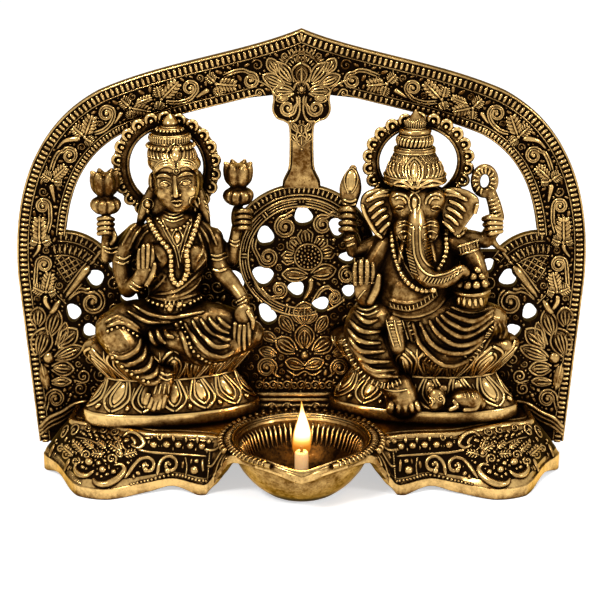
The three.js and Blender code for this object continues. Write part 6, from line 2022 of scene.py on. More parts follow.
def ganesha_head_lines(relief, crown):
    """Crown bands and leaves, the forehead mark, brows, temple curls and ear ribs."""
    for z, width in ((122.2, 0.7), (125, 0.55), (135.9, 0.5), (137.9, 0.5), (143.7, 0.5), (147, 0.4)):
        crown.line([(u, z) for u in range(0, 361, 8)], width, 1, taper=False)
    for k in range(-9, 10):
        u = 270 + k * 13
        crown.line([(u - 5, 138.6), (u, 141), (u + 5, 143.2)], 0.8, 2)
        crown.line([(u, 147.4), (u, 149.4), (u, 151.6)], 0.4, 1)
        for row in range(3):
            lean = 6 if row % 2 else 0
            crown.line([(u - 5 + lean, 131.4 + row * 1.5), (u + lean, 132.8 + row * 1.5),
                        (u + 5 + lean, 131.4 + row * 1.5)], 0.4, 1)
    for side in (-1, 1):
        for k in range(6):
            u = 270 + side * (16 + k * 13)
            crown.line([(270 + side * (10 + k * 9), 125.6), (u - side * 2, 128.4), (u, 131)], 0.65, 3)
            crown.dome((u, 130.6), 2.8, 0.9, 0.9)
    relief.petal((414.4, 186), (414.4, 157.6), 17, 0, 0.75, 0, foot=0.35, point=0.6)
    relief.petal((414.4, 184), (414.4, 161), 10, 0, 0.55, 1.3, foot=0.4, point=0.6)
    relief.line([(414.4, 181), (414.4, 167)], 0.4, 1, lift=1.2)
    for lift in (0, 4):
        relief.line([(389, 188 + lift), (398, 181.4 + lift), (407, 184 + lift), (415, 188.6 + lift),
                     (423, 184 + lift), (434, 180.4 + lift), (446, 185 + lift)], 0.85 - lift * 0.07, 5)
    relief.dome((414.4, 203), 3, 7.4, 1.3)
    relief.petal((414.4, 212.6), (414.4, 192.6), 11, 0, 0.55, 0, foot=0.4, point=0.6)
    for side, x in ((-1, 399.4), (1, 435.6)):
        for r, width in ((10, 0.85), (6.4, 0.7)):
            relief.arc((x, 204), r, min(90 + side * 92, 90 - side * 44),
                       max(90 + side * 92, 90 - side * 44), width, 12)
        relief.line([(x - 4.6, 208.6), (x - 1, 206), (x + 3, 206.4), (x + 4.6, 208.4)], 0.5, 4)
        relief.line([(x - 4.4, 209.4), (x, 211), (x + 4.4, 209.2)], 0.45, 4)
    for px, side in ((405.7, -1), (429.6, 1)):
        for row, width in (([(-6, -1), (-2, -5), (3, -5.6), (7.6, -3)], 0.5),
                           ([(-6, 2), (-1, 4.4), (4, 3), (7.6, -1.6)], 0.45),
                           ([(-7, -8.6), (0, -12), (8, -10)], 0.6),
                           ([(-6.4, -12), (0.4, -15.6), (8, -14)], 0.5)):
            relief.line([(px + side * a, 236.8 + b) for a, b in row], width, 4)
        relief.dome((px, 236.4), 2, 2, 1)
    ribs = [[(372, 197), (382, 192), (391, 192)], [(366, 201), (378, 195.6), (390, 195)],
            [(368, 212), (376, 205), (385, 201)], [(371, 219), (379, 212), (387, 208)],
            [(375, 226), (382, 219), (389, 215)], [(379, 233), (385, 227), (391, 222)],
            [(362, 204), (365, 214), (371, 225), (377, 234), (383, 238)]]
    # The right ear's ribs mirror the left's, and its top one is a little narrower.
    for rib in ribs:
        relief.line(rib, 1.15, 4)
        relief.line([(833.4 - x, y - 0.6) for x, y in rib] if rib[0][0] > 365
                    else [(836 - x * 0.99, y - 1) for x, y in rib], 1.15, 4)


# Materials
def new_group(name, inputs, outputs):
    group = bpy.data.node_groups.new(name, "ShaderNodeTree")
    for label, kind, default in inputs:
        socket = group.interface.new_socket(name=label, in_out="INPUT", socket_type=kind)
        socket.default_value = default
    for label, kind in outputs:
        group.interface.new_socket(name=label, in_out="OUTPUT", socket_type=kind)
    return group


class Nodes:
    """Adds nodes to a tree and links them, each with its settings and inputs."""

    def __init__(self, tree):
        self.tree = tree

    def add(self, kind, settings=None, **inputs):
        node = self.tree.nodes.new(kind)
        for key, value in (settings or {}).items():
            setattr(node, key, value)
        for key, value in inputs.items():
            self.feed(node, key, value)
        return node

    def feed(self, node, key, value):
        """Links a value to an input, or sets it. The key is _2 for the third input, or the input's name."""
        numbered = key[0] == "_" and key[1:].isdigit()
        socket = node.inputs[int(key[1:]) if numbered else key.replace("_", " ")]
        if isinstance(value, bpy.types.NodeSocket):
            self.tree.links.new(value, socket)
        else:
            socket.default_value = value

    def sum(self, operation, a, b=0.0, clamp=False):
        node = self.add("ShaderNodeMath", {"operation": operation, "use_clamp": clamp}, _0=a, _1=b)
        return node.outputs[0]

    def span(self, value, low, high, to_low=0.0, to_high=1.0):
        node = self.add("ShaderNodeMapRange", {"clamp": True})
        for index, entry in enumerate((value, low, high, to_low, to_high)):
            self.feed(node, f"_{index}", entry)
        return node.outputs[0]

    def blend(self, factor, a, b):
        node = self.add("ShaderNodeMix", {"data_type": "RGBA"})
        self.feed(node, "_0", factor)
        self.feed(node, "_6", a)
        self.feed(node, "_7", b)
        return node.outputs[2]


def gilding_with_painted_shade():
    """Antique gold over a cast ground: bright where hands and cloths reach, dark in the hollows with patina
    and painted shade, with painted light on upward faces and painted shade under downward ones.
    """
    group = new_group(
        "Worn gilding with painted shade",
        [
            ("Gilt", "NodeSocketColor", (0.62, 0.36, 0.10, 1)),
            ("Shade", "NodeSocketColor", (0.20, 0.10, 0.025, 1)),
            ("Patina and shade", "NodeSocketColor", (0.014, 0.009, 0.005, 1)),
            ("Hollow", "NodeSocketFloat", 0.0024),
            ("Wear", "NodeSocketFloat", 0.5),
            ("Speckle", "NodeSocketFloat", 0.5),
            ("Polish", "NodeSocketFloat", 0.5),
            ("Grain", "NodeSocketFloat", 0.3),
        ],
        [("Color", "NodeSocketColor"), ("Roughness", "NodeSocketFloat"), ("Metallic", "NodeSocketFloat"),
         ("Normal", "NodeSocketVector")],
    )
    n = Nodes(group)
    given = n.add("NodeGroupInput").outputs
    place = n.add("ShaderNodeTexCoord").outputs["Object"]
    broad = n.add("ShaderNodeTexNoise", Vector=place, Scale=70.0, Detail=4.0, Roughness=0.55).outputs[0]
    patches = n.add("ShaderNodeTexNoise", Vector=place, Scale=240.0, Detail=3.0, Roughness=0.6).outputs[0]
    fine = n.add("ShaderNodeTexNoise", Vector=place, Scale=620.0, Detail=5.0, Roughness=0.65).outputs[0]
    specks = n.add("ShaderNodeTexVoronoi", Vector=place, Scale=620.0).outputs["Distance"]
    # Near occlusion: hollows and creases go dark, as patina and as painted shade where parts meet.
    near = n.add("ShaderNodeAmbientOcclusion", {"samples": 8}, Distance=given["Hollow"]).outputs["AO"]
    # Far occlusion is painted shade: broad darkening near other parts and the floor.
    broad_shade_reach = n.sum("MULTIPLY", given["Hollow"], 5.0)
    broad_painted_shade = n.add("ShaderNodeAmbientOcclusion", {"samples": 8}, Distance=broad_shade_reach).outputs["AO"]
    jitter = n.sum("MULTIPLY", n.sum("SUBTRACT", fine, 0.5), 0.55)
    swing = n.sum("MULTIPLY", n.sum("SUBTRACT", n.sum("ADD", broad, patches), 1.0), 0.6)
    crest = n.sum("SUBTRACT", n.add("ShaderNodeNewGeometry").outputs["Pointiness"], 0.5)
    crest = n.span(crest, -0.10, 0.10, -0.35, 0.35)
    open_near = n.sum("POWER", n.span(near, 0.35, 0.98), 1.5)
    clear_of_broad_shade = n.span(broad_painted_shade, 0.2, 0.95, 0.1, 1.0)
    raised = n.sum("ADD", n.sum("MULTIPLY", open_near, clear_of_broad_shade), crest)
    wear_and_shade = n.sum("ADD", raised, n.sum("ADD", jitter, swing))
    # Painted light and shade: faces that look up are lighter, faces that look down darker.
    painted_top_light = n.add("ShaderNodeSeparateXYZ",
                   Vector=n.add("ShaderNodeNewGeometry").outputs["Normal"]).outputs["Z"]
    wear_and_shade = n.sum("ADD", wear_and_shade, n.sum("MULTIPLY", painted_top_light, 0.2))
    wear_and_shade = n.sum("ADD", wear_and_shade, n.sum("SUBTRACT", given["Wear"], 0.7))
    pits = n.span(specks, 0.05, 0.32, 1.0, 0.0)
    pits = n.sum("MULTIPLY", pits, n.span(fine, 0.52, 0.66))
    wear_and_shade = n.sum("SUBTRACT", wear_and_shade, n.sum("MULTIPLY", pits, given["Speckle"]))
    low = n.span(wear_and_shade, 0.22, 0.62)
    high = n.span(wear_and_shade, 0.55, 1.05)
    colour = n.blend(low, given["Patina and shade"], given["Shade"])
    colour = n.blend(high, colour, given["Gilt"])
    rough = n.span(wear_and_shade, 0.1, 0.95, 0.55, 0.26)
    rough = n.sum("SUBTRACT", rough, n.sum("MULTIPLY", given["Polish"], n.sum("MULTIPLY", high, 0.16)))
    rough = n.sum("ADD", rough, n.sum("MULTIPLY", jitter, 0.25), clamp=True)
    metal = n.span(wear_and_shade, 0.2, 0.5, 0.9, 1.0)
    height = n.sum("ADD", n.sum("MULTIPLY", fine, given["Grain"]), n.sum("MULTIPLY", pits, -0.5))
    bump = n.add("ShaderNodeBump", Strength=0.35, Distance=0.00025, Height=height).outputs[0]
    done = n.add("NodeGroupOutput")
    for label, value in (("Color", colour), ("Roughness", rough), ("Metallic", metal), ("Normal", bump)):
        n.feed(done, label, value)
    return group


def new_material(name):
    material = bpy.data.materials.new(name)
    material.use_nodes = True
    material.node_tree.nodes.clear()
    nodes = Nodes(material.node_tree)
    shader = nodes.add("ShaderNodeBsdfPrincipled")
    done = nodes.add("ShaderNodeOutputMaterial")
    material.node_tree.links.new(shader.outputs[0], done.inputs["Surface"])
    return material, nodes, shader


def gilded(name, wear=0.5, speckle=0.5, polish=0.5, hollow=None, grain=0.3):
    """A casting's finish, with its own share of wear, which also sets how much painted shade it shows."""
    finish = finishes()
    group = bpy.data.node_groups.get("Worn gilding with painted shade") or gilding_with_painted_shade()
    material, nodes, shader = new_material(name)
    shader.inputs["Specular IOR Level"].default_value = 0.15
    shader.inputs["Specular Tint"].default_value = (1, 0.74, 0.4, 1)
    gilding = nodes.add("ShaderNodeGroup", {"node_tree": group})
    gilding.inputs["Gilt"].default_value = (*finish.gilt, 1)
    gilding.inputs["Shade"].default_value = (*finish.shade, 1)
    gilding.inputs["Patina and shade"].default_value = (*finish.patina_and_shade, 1)
    gilding.inputs["Hollow"].default_value = finish.hollow if hollow is None else hollow
    for label, value in (("Wear", wear), ("Speckle", speckle), ("Polish", polish), ("Grain", grain)):
        gilding.inputs[label].default_value = value
    for source, target in (("Color", "Base Color"), ("Roughness", "Roughness"), ("Metallic", "Metallic"),
                           ("Normal", "Normal")):
        nodes.feed(shader, target.replace(" ", "_"), gilding.outputs[source])
    return material


# The white room: the light that it gives, the floor's own glow for the camera, and the
# height in metres that the lamps point at
ROOM_LIGHT = 0.45
FLOOR_GLOW = 0.52
LIT_HEIGHT = 0.09


# Settings
class OilLampSizes(bpy.types.PropertyGroup):
    reed_ridges: IntProperty(
        name="Ridge Sides", description="How round the raised lines are", default=1, min=0, max=4)


class OilLampFinish(bpy.types.PropertyGroup):
    gilt: FloatVectorProperty(
        name="Gilt", description="Colour of the rubbed gold", subtype="COLOR", size=3,
        default=(0.70, 0.45, 0.16), min=0, max=1)
    shade: FloatVectorProperty(
        name="Shade", description="Colour of gold under lacquer", subtype="COLOR", size=3,
        default=(0.1, 0.038, 0.006), min=0, max=1)
    # The patina colour also paints shade: in hollows, where parts meet and on downward faces.
    patina_and_shade: FloatVectorProperty(
        name="Patina and shade", description="Colour of the dark hollows", subtype="COLOR", size=3,
        default=(0.0045, 0.0018, 0.0006), min=0, max=1)
    # The hollow reach sets how far patina and painted shade spread into hollows; five times it spreads the
    # broad painted shade.
    hollow: FloatProperty(
        name="Hollow Reach", description="How far a hollow holds its patina", default=0.0024,
        min=0.0005, max=0.01, subtype="DISTANCE", unit="LENGTH")
    floor: FloatVectorProperty(
        name="Floor", description="Colour of the floor", subtype="COLOR", size=3,
        default=(0.86, 0.86, 0.86), min=0, max=1)
    key_light: FloatProperty(
        name="Key Light", description="Strength of the main soft light", default=3.2, min=0, subtype="POWER",
        unit="POWER")


def finishes():
    return bpy.context.scene.oil_lamp_finish


def seen_directly(nodes):
    """1 for a ray from the camera, or by way of a mirror or glass, and 0 for one that only carries light."""
    light = nodes.add("ShaderNodeLightPath").outputs
    by_surface = nodes.sum("MAXIMUM", light["Is Glossy Ray"], light["Is Transmission Ray"])
    return nodes.sum("MAXIMUM", light["Is Camera Ray"], by_surface)


class OILLAMP_OT_stage(bpy.types.Operator):
    """Add the floor, the soft lights, the white surroundings and the camera"""
    bl_idname = "oillamp.stage"
    bl_label = "Add Stage"

    def execute(self, context):
        self.floor()
        self.surroundings(context.scene)
        self.lights()
        self.camera(context.scene)
        context.scene.view_settings.view_transform = "Standard"
        return {"FINISHED"}

    def floor(self):
        bm = bmesh.new()
        bmesh.ops.create_grid(bm, x_segments=1, y_segments=1, size=4)
        mesh = new_mesh(bm, "floor")
        floor = placed("floor", mesh)
        material, nodes, shader = new_material("White floor")
        glow = nodes.sum("MULTIPLY", seen_directly(nodes), FLOOR_GLOW)
        shader.inputs["Base Color"].default_value = (*finishes().floor, 1)
        shader.inputs["Roughness"].default_value = 0.9
        shader.inputs["Emission Color"].default_value = (1, 1, 1, 1)
        nodes.feed(shader, "Emission_Strength", glow)
        mesh.materials.append(material)

    def surroundings(self, scene):
        world = bpy.data.worlds.new("White room")
        world.use_nodes = True
        world.node_tree.nodes.clear()
        nodes = Nodes(world.node_tree)
        strength = nodes.span(seen_directly(nodes), 0.0, 1.0, ROOM_LIGHT, 1.0)
        background = nodes.add("ShaderNodeBackground", Strength=strength)
        background.inputs["Color"].default_value = (1, 1, 1, 1)
        done = nodes.add("ShaderNodeOutputWorld")
        world.node_tree.links.new(background.outputs[0], done.inputs["Surface"])
        scene.world = world

    def lights(self):
        key = finishes().key_light
        for name, place, size, power in (
            ("key", (-0.45, -0.65, 0.85), 0.20, key * 2.2),
            ("fill", (0.75, -0.55, 0.55), 0.20, key * 0.9),
            ("top", (0.1, 0.15, 1.1), 0.40, key * 1.4),
        ):
            lamp = bpy.data.lights.new(name, "AREA")
            lamp.size = size
            lamp.energy = power
            held = placed(name, lamp)
            towards = Vector((0, 0, LIT_HEIGHT)) - Vector(place)
            turn = towards.to_track_quat("-Z", "Y").to_matrix().to_4x4()
            held.matrix_world = Matrix.Translation(place) @ turn

    def camera(self, scene):
        lens = bpy.data.cameras.new("view")
        lens.sensor_width = SENSOR_WIDTH
        lens.lens = VIEW_FOCUS * SENSOR_WIDTH / PHOTO_SIDE
        lens.shift_x = -(VIEW_MIDDLE[0] - PHOTO_SIDE / 2) / PHOTO_SIDE
        lens.clip_start = 0.05
        camera = placed("view", lens)
        place = TO_ROW @ EYE
        camera.matrix_world = Matrix.Translation(place) @ Matrix.Rotation(math.radians(90)
                                                                          - VIEW_PITCH, 4, "X")
        scene.camera = camera


def relief_pieces(name, relief, material, mirrored=False):
    """A relief, on one or both sides of the lamp, added as pieces."""
    made = relief.meshes(mirrored, bpy.context.scene.oil_lamp_sizes.reed_ridges)
    names = [f"{name}_left", f"{name}_right"] if mirrored else [name]
    return [add_piece(label, mesh, material) for label, mesh in zip(names, made)]


class OILLAMP_OT_back_panel(bpy.types.Operator):
    """Add the pierced back panel with its borders, vine, medallion and side fans"""
    bl_idname = "oillamp.back_panel"
    bl_label = "Add Back Panel"

    def execute(self, context):
        ground = gilded("Panel ground", wear=-0.24, speckle=0.55, polish=0.3, hollow=0.0026)
        chased = gilded("Panel ornament", wear=0.31, speckle=0.35, polish=0.8, hollow=0.0018)
        # Painted shade: a darker copy of the panel's ornament for the lower panel, which the figures shade.
        low = gilded("Shaded lower ornament", wear=0.2, speckle=0.4, polish=0.8, hollow=0.002)
        sunk = gilded("Sunk ornament", wear=0.04, speckle=0.4, polish=0.7, hollow=0.002)
        rear = gilded("Panel back", wear=-0.12, speckle=0.2, polish=0.2, hollow=0.0012, grain=0.2)
        plate = add_piece("panel_plate", panel_plate(), ground, sharp=35)
        plate.data.materials.append(rear)
        for face in plate.data.polygons:
            face.material_index = 1 if face.normal.y > 0.5 else 0
        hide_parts("back_panel")
        border = arch_border()
        relief_pieces("arch_border", border, chased)
        drawn = Relief(on_panel, bold=1.25)
        vine(drawn)
        peak_lotus(drawn)
        relief_pieces("vine", drawn, chased, mirrored=True)
        fans = Relief(on_panel, bold=1.25)
        side_fan(fans)
        relief_pieces("side_fan", fans, low, mirrored=True)
        nets = Relief(flat, up=1)
        fan_net(nets)
        relief_pieces("fan_net", nets, low, mirrored=True)
        rings = Relief(flat, up=1, bold=1.15)
        medallion_ring(rings)
        peak_reeds(rings)
        relief_pieces("medallion_ring", rings, chased)
        middle = Relief(on_panel, bold=1.25)
        medallion_flower(middle)
        peak_middle(middle)
        relief_pieces("medallion_flower", middle, low)
        curls = panel_curls([border, drawn, fans, nets],
                            [(-PANEL_HALF_WIDTH, -46, 22, 170), (-110, 0, 170, PANEL_PEAK_Z)])
        relief_pieces("side_curls", curls, sunk, mirrored=True)
        curls = panel_curls([border, drawn, fans, nets, rings, middle], [(-46, 46, 22, 140)])
        relief_pieces("middle_curls", curls, sunk)
        plain_face = gilded("Stem face", wear=0.2, speckle=0.9, polish=0.5, hollow=0.0016)
        add_piece("stem_face", stem_face(), plain_face, sharp=35)
        return {"FINISHED"}


class OILLAMP_OT_base(bpy.types.Operator):
    """Add the base casting with its oil bowl, bright edge and chased wings"""
    bl_idname = "oillamp.base"
    bl_label = "Add Base and Bowl"

    def execute(self, context):
        looks = {
            "ground": gilded("Base ground", wear=0.3, speckle=0.5, polish=0.8, hollow=0.003),
            "field": gilded("Base field", wear=-0.3, speckle=0.5, polish=0.3, hollow=0.003),
            "hollow": gilded("Bowl inside", wear=0.02, speckle=1.2, polish=0.5, hollow=0.002),
            "polished": gilded("Polished edge", wear=0.47, speckle=0.4, polish=0.9, hollow=0.001),
        }
        chased = gilded("Base ornament", wear=0.22, speckle=0.35, polish=0.7, hollow=0.002)
        sunk = gilded("Base curls", wear=0.15, speckle=0.35, polish=0.7, hollow=0.002)
        mesh = base_mesh()
        numbers = base_finishes(mesh, list(looks))
        tree = tree_of(mesh)
        base = add_piece("base_casting", mesh, looks["ground"], sharp=42)
        for label in list(looks)[1:]:
            base.data.materials.append(looks[label])
        base.data.polygons.foreach_set("material_index", numbers)
        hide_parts("base_tray")
        wing = Relief(seen_on(tree))
        wing_ornament(wing)
        curls = wing_curls(wing, under(tree))
        relief_pieces("wing", wing, chased, mirrored=True)
        relief_pieces("wing_curls", curls, sunk, mirrored=True)
        plan = Relief(under(tree), up=1)
        wing_rib_rows(plan)
        brow_lip(plan)
        bowl_border(plan)
        relief_pieces("base_border", plan, chased)
        scrolls = Relief(seen_on(tree))
        behind_bowl(scrolls)
        relief_pieces("platform_scrolls", scrolls, chased)
        return {"FINISHED"}


def before_panel(place):
    return place.y < -0.9


def cast_figure(figure, masses, folds, jewels, crown_rows, crown_lines, halo, lotus, node, face=None):
    """A seated figure on its plinth: fused masses with heavy folds, then crisp jewels.

    The halo is its middle, its outer and inner half sizes and the blob that joins it to the
    back. The lotus is how many petals hang and stand on the plinth, and their turn."""
    name = figure["name"]
    modelled = gilded("Figure casting", wear=0.34, speckle=0.35, polish=0.8, hollow=0.0044)
    bright = gilded("Figure face", wear=0.62, speckle=0.2, polish=0.9, hollow=0.0018)
    head = gilded(f"{name.capitalize()} head", wear=0.52 if face else 0.4, speckle=0.25, polish=0.85,
                  hollow=0.003)
    chased = gilded("Figure ornament", wear=0.5, speckle=0.25, polish=0.8, hollow=0.0016)
    plinth = add_piece(f"{name}_plinth", trimmed(plinth_mesh(figure)), modelled, sharp=50)
    plinth.data.materials.append(bright)
    for side in plinth.data.polygons:
        side.material_index = 1 if side.center.z < (PLATFORM_Z + 6.8) * MM else 0
    relief_pieces(f"{name}_petals", plinth_ornament(figure, *lotus).keep(before_panel), chased)
    pieces = []
    for mesh, fold, voxel in zip(masses[:3], folds, (0.42, 0.46, 0.335)):
        if fold:
            strokes = Relief(seen_on(tree_of(mesh)))
            fold(strokes)
            mesh = joined([mesh, *strokes.meshes(sides=3)])
        pieces.append(trimmed(fused(mesh, voxel, 1)))
    pieces += masses[3:]
    tree = tree_of(joined([piece.copy() for piece in pieces]))
    drawn = Relief(seen_on(tree))
    jewels(drawn)
    crown = Relief(Turned(figure, crown_rows))
    crown_lines(drawn, crown)
    relief_pieces(f"{name}_jewels", drawn.keep(before_panel), chased)
    relief_pieces(f"{name}_crown", crown.keep(before_panel), chased)
    if face:
        features = Relief(front_of(tree, figure), up=1)
        face(features)
        relief_pieces(f"{name}_features", features, head)
    ring = Clay(figure)
    x, y, z, outer, inner, fill = halo
    halo_ring(ring, x, y, z, outer, inner)
    ring.blob(*fill)
    add_piece(f"{name}_halo", trimmed(ring.mesh()), modelled)
    rays = Relief(halo_face(figure, x, y - 1.4, z), up=1)
    halo_ornament(rays, outer, inner)
    relief_pieces(f"{name}_rays", rays, chased)
    for label, mesh in zip(("legs", "torso", "head", "fingers"), pieces):
        last = add_piece(f"{name}_{label}", mesh, head if label == "head" else modelled, sharp=70)
    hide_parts(node)


class OILLAMP_OT_lakshmi(bpy.types.Operator):
    """Add Lakshmi, seated on her lotus plinth in front of her ring"""
    bl_idname = "oillamp.lakshmi"
    bl_label = "Add Lakshmi"

    def execute(self, context):
        halo = (-0.1, 6.4, 127.1, (27, 27.5), (17.6, 18.6), (2, 5.4, 106, 15, 3, 12))
        face = lambda relief: face_lines(relief, 6.4, 124, 1.16, -4)
        cast_figure(LAKSHMI, lakshmi_masses(), (lakshmi_folds, lakshmi_sash, None), lakshmi_jewels,
                    LAKSHMI_CROWN, lakshmi_head_lines, halo, (12, 14), "lakshmi_figure", face)
        return {"FINISHED"}


class OILLAMP_OT_ganesha(bpy.types.Operator):
    """Add Ganesha, seated on his lotus plinth in front of his ring, with the mouse"""
    bl_idname = "oillamp.ganesha"
    bl_label = "Add Ganesha"

    def execute(self, context):
        halo = (-4.9, 2.2, 129.3, (27, 24), (18.6, 16.8), (-6, 1.2, 104, 21, 3.6, 16))
        cast_figure(GANESHA, ganesha_masses(), (ganesha_folds, ganesha_wraps, None), ganesha_jewels,
                    GANESHA_CROWN, ganesha_head_lines, halo, (12, 14, 8), "ganesha_figure")
        return {"FINISHED"}


# Stub, wick and screws, with the part's own sizes
STUB_R = 3.3
STUB_Y = -53
STUB_LOW_Z = BOWL_FLOOR_Z + CLEAR
STUB_TOP_Z = STUB_LOW_Z + 20.5
WICK_R = 0.85
WICK_ABOVE = 3
SCREW_R = 2
SCREW_HEAD_R = 3.7
SCREW_HEAD = 2.2
PANEL_SCREW_REACH = PANEL_THICKNESS + 2 * CLEAR + 3 + 7 - 2
PLINTH_SCREW_REACH = SHEET + CLEAR + 9


def own_height(nodes):
    """The height of a place in the lamp's own frame, in metres."""
    place = nodes.add("ShaderNodeTexCoord").outputs["Object"]
    return nodes.add("ShaderNodeSeparateXYZ", Vector=place).outputs["Z"]


def plain(name, colour, roughness, scale=0.0, depth=0.0, metallic=0.0):
    """A plain surface with a fine mottle of its own."""
    material, nodes, shader = new_material(name)
    place = nodes.add("ShaderNodeTexCoord").outputs["Object"]
    mottle = nodes.add("ShaderNodeTexNoise", Vector=place, Scale=scale, Detail=4.0).outputs[0]
    shade = tuple(c * 0.72 for c in colour)
    nodes.feed(shader, "Base_Color", nodes.blend(mottle, (*shade, 1), (*colour, 1)))
    nodes.feed(shader, "Roughness", nodes.span(mottle, 0.3, 0.7, roughness - 0.08, roughness + 0.08))
    nodes.feed(shader, "Normal", nodes.add("ShaderNodeBump", Strength=0.3, Distance=depth,
                                           Height=mottle).outputs[0])
    shader.inputs["Metallic"].default_value = metallic
    return material, nodes, shader


def turned_piece(rows, sides=48, closed=False):
    """A round piece about the stub's axis: [height, radius] for each row."""
    bm = bmesh.new()
    rings = [[Vector((r * cos, STUB_Y + r * sin, z)) for cos, sin in circle(sides)] for z, r in rows]
    skin(bm, rings, closed=True, capped=not closed)
    return finished(bm, "turned")


FLAME_FULLNESS = 1.12


class OILLAMP_OT_wick(bpy.types.Operator):
    """Add the wax stub, its wick and the flame"""
    bl_idname = "oillamp.wick"
    bl_label = "Add Stub and Flame"

    def execute(self, context):
        wax_with_painted_glow, nodes, shader = plain("Ghee wax with painted glow", (0.9, 0.62, 0.32), 0.45, 420.0, 0.0002)
        shader.inputs["Subsurface Weight"].default_value = 0.35
        shader.inputs["Subsurface Radius"].default_value = (0.003, 0.0016, 0.0008)
        shader.inputs["Subsurface Scale"].default_value = 1.0
        # Painted light: the wax glows orange, more towards its top, as if lit by the flame.
        shader.inputs["Emission Color"].default_value = (1.0, 0.5, 0.16, 1)
        height = own_height(nodes)
        nodes.feed(shader, "Emission_Strength", nodes.span(height, 0.012, STUB_TOP_Z * MM, 0.05, 0.5))
        low, top, r = STUB_LOW_Z, STUB_TOP_Z, STUB_R
        rows = [
            (low, r - 0.4), (low + 0.15, r - 0.1), (low + 0.5, r), (top - 2.4, r), (top - 1, r - 0.15),
            (top - 0.35, r - 0.5), (top - 0.1, r - 1), (top - 0.35, r - 1.5), (top - 0.6, WICK_R + 0.5),
            (top - 0.55, WICK_R + 0.2), (low + 0.6, WICK_R + 0.2), (low, WICK_R + 0.2), (low, r - 0.4),
        ]
        stub = add_piece("wax_body", turned_piece(rows, closed=True), wax_with_painted_glow, "wick_stub", sharp=40)
        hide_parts("wax_stub")
        char = plain("Charred cotton", (0.008, 0.005, 0.004), 0.95, 900.0, 0.0004)[0]
        strand_r = WICK_R * 0.62
        strands = Relief(lambda u, z: (Vector((strand_r * math.cos(u), STUB_Y + strand_r * math.sin(u), z)),
                                       Vector((math.cos(u), math.sin(u), 0))), up=1)
        tip = STUB_TOP_Z + WICK_ABOVE
        for k in range(3):
            start = 2 * math.pi * k / 3
            winding = [(start + 0.9 * z, low + z) for z in range(0, int(tip - low))]
            winding.append((start + 0.9 * (tip - low), tip - 0.5))
            strands.line(winding, [0.34] * (int(tip - low) - 1) + [0.5, 0.45], 3, taper=False)
        wick = add_piece("wick_strands", strands.meshes(sides=2)[0], char, "wick_stub")
        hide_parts("cotton_wick")
        add_piece("flame", self.flame(tip), self.burning(tip), "wick_stub")
        return {"FINISHED"}

    def flame(self, tip):
        rows = [(-4.4, 2.2), (-4, 3), (-2.5, 3.7), (0, 4.05), (3, 4.15), (6.5, 3.9), (10, 3.15), (14, 2),
                (18, 0.95), (21, 0.4), (23, 0.1)]
        bm = bmesh.new()
        rings = []
        for z, r in smooth_points(rows, 5):
            drift = 0.5 * math.sin(max(z, 0) / 23 * math.pi)
            r *= FLAME_FULLNESS
            rings.append([Vector((drift + r * cos, STUB_Y + r * sin, tip - 0.2 + z))
                          for cos, sin in circle(32)])
        skin(bm, rings, closed=True, capped=True)
        return finished(bm, "flame")

    def burning(self, tip):
        """A flame: pale within, yellow then orange towards its edge, clear and faint at its foot."""
        material, nodes, shader = new_material("Flame")
        edge = nodes.add("ShaderNodeLayerWeight")
        edge.inputs["Blend"].default_value = 0.5
        heart = nodes.sum("SUBTRACT", 1.0, edge.outputs["Facing"])
        height = own_height(nodes)
        low = nodes.span(height, (tip - 4) * MM, (tip + 8) * MM)
        hot = nodes.sum("MULTIPLY", nodes.span(heart, 0.25, 0.62), nodes.span(low, 0.4, 0.95))
        hot = nodes.sum("MULTIPLY", hot, nodes.span(height, (tip + 22) * MM, (tip + 15) * MM, 0.3, 1.0))
        colour = nodes.blend(nodes.span(hot, 0.0, 0.5), (1.0, 0.30, 0.02, 1), (1.0, 0.62, 0.12, 1))
        colour = nodes.blend(nodes.span(hot, 0.4, 1.0), colour, (1.0, 0.9, 0.66, 1))
        clear = nodes.sum("MULTIPLY", nodes.span(heart, 0.04, 0.42, 0.0, 1.0),
                          nodes.span(low, 0.05, 0.7, 0.12, 1.0))
        seen = nodes.add("ShaderNodeLightPath").outputs["Is Camera Ray"]
        lighting = nodes.sum("ADD", seen, nodes.sum("MULTIPLY", nodes.sum("SUBTRACT", 1.0, seen),
                                                    nodes.span(low, 0.2, 1.0, 0.0, 18.0)))
        shader.inputs["Base Color"].default_value = (0, 0, 0, 1)
        shader.inputs["Specular IOR Level"].default_value = 0
        nodes.feed(shader, "Emission_Color", colour)
        nodes.feed(shader, "Emission_Strength",
                   nodes.sum("MULTIPLY", nodes.span(hot, 0.0, 1.0, 1.05, 2.4), lighting))
        nodes.feed(shader, "Alpha", clear)
        return material


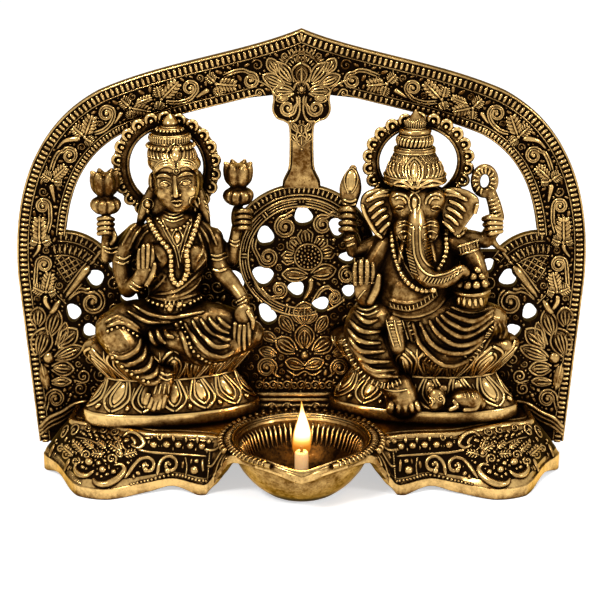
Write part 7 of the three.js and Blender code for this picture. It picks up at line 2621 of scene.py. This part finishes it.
class OILLAMP_OT_screws(bpy.types.Operator):
    """Add the eight slotted screws behind the panel and under the plinths"""
    bl_idname = "oillamp.screws"
    bl_label = "Add Screws"

    def execute(self, context):
        steel = plain("Screw steel", (0.36, 0.35, 0.33), 0.36, 300.0, 0.00005, 1.0)[0]
        inward = Matrix.Rotation(math.radians(90), 4, "X")
        for k, (x, z) in enumerate(panel_screw_places()):
            place = Matrix.Translation((x, PANEL_THICKNESS + CLEAR, z)) @ inward
            self.screw(f"panel_screw_{k + 1}", place @ Matrix.Rotation(0.7 + 0.9 * k, 4, "Z"),
                       PANEL_SCREW_REACH, steel)
        for figure in (LAKSHMI, GANESHA):
            for k, (x, y) in enumerate(plinth_screw_places(figure)):
                place = Matrix.Translation((x, y, PLATFORM_Z - SHEET - CLEAR))
                self.screw(f"{figure['name']}_screw_{k + 1}", place @ Matrix.Rotation(0.4 + k, 4, "Z"),
                           PLINTH_SCREW_REACH, steel)
        return {"FINISHED"}

    def screw(self, node, place, reach, material):
        """A pan head below the origin and a threaded shank above it, along Z."""
        bm = bmesh.new()
        sides = 48
        r, head, deep = SCREW_R, SCREW_HEAD_R, SCREW_HEAD
        rows = [(-deep, 0.01), (-deep, head * 0.62), (-deep + 0.2, head * 0.8), (-deep + 0.6, head * 0.94),
                (-deep + 1.1, head),
                (-0.12, head), (0, head - 0.12), (0, r)]
        turns = int((reach - 1.2) / 0.7)
        for k in range(turns):
            rows += [(0.5 + 0.7 * k, r), (0.68 + 0.7 * k, r - 0.28), (0.92 + 0.7 * k, r - 0.28),
                     (1.1 + 0.7 * k, r)]
        rows += [(reach - 0.7, r), (reach, r - 0.6), (reach, 0.01)]
        rings = [[Vector((reach_out * cos, reach_out * sin, z)) for cos, sin in circle(sides)]
                 for z, reach_out in rows]
        skin(bm, rings, closed=True, capped=True)
        made = finished(bm, "screw")
        slot = bmesh.new()
        bmesh.ops.create_cube(slot, size=1,
                              matrix=Matrix.Translation((0, 0,
                                                         -deep)) @ Matrix.Diagonal((0.9, 3 * head, 1.6, 1)))
        made = cut_by(made, new_mesh(slot, "slot"))
        made.transform(place)
        piece = add_piece(f"{node}_turned", made, material, "lamp", sharp=35)
        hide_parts(node)


STEPS = (
    OILLAMP_OT_stage,
    OILLAMP_OT_back_panel,
    OILLAMP_OT_base,
    OILLAMP_OT_lakshmi,
    OILLAMP_OT_ganesha,
    OILLAMP_OT_wick,
    OILLAMP_OT_screws,
)


class OILLAMP_PT_sidebar(bpy.types.Panel):
    """The lamp's steps and settings"""
    bl_label = "Oil Lamp"
    bl_idname = "OILLAMP_PT_sidebar"
    bl_space_type = "VIEW_3D"
    bl_region_type = "UI"
    bl_category = "Oil Lamp"

    def draw(self, context):
        for group in (context.scene.oil_lamp_sizes, context.scene.oil_lamp_finish):
            for key in group.__annotations__:
                self.layout.prop(group, key)
        for step in STEPS:
            self.layout.operator(step.bl_idname)


CLASSES = (OilLampSizes, OilLampFinish, *STEPS, OILLAMP_PT_sidebar)


def register():
    for entry in CLASSES:
        bpy.utils.register_class(entry)
    bpy.types.Scene.oil_lamp_sizes = PointerProperty(type=OilLampSizes)
    bpy.types.Scene.oil_lamp_finish = PointerProperty(type=OilLampFinish)


def unregister():
    del bpy.types.Scene.oil_lamp_finish
    del bpy.types.Scene.oil_lamp_sizes
    for entry in reversed(CLASSES):
        bpy.utils.unregister_class(entry)


def main():
    register()
    for step in STEPS:
        group, call = step.bl_idname.split(".")
        getattr(getattr(bpy.ops, group), call)()


if __name__ == "__main__":
    main()
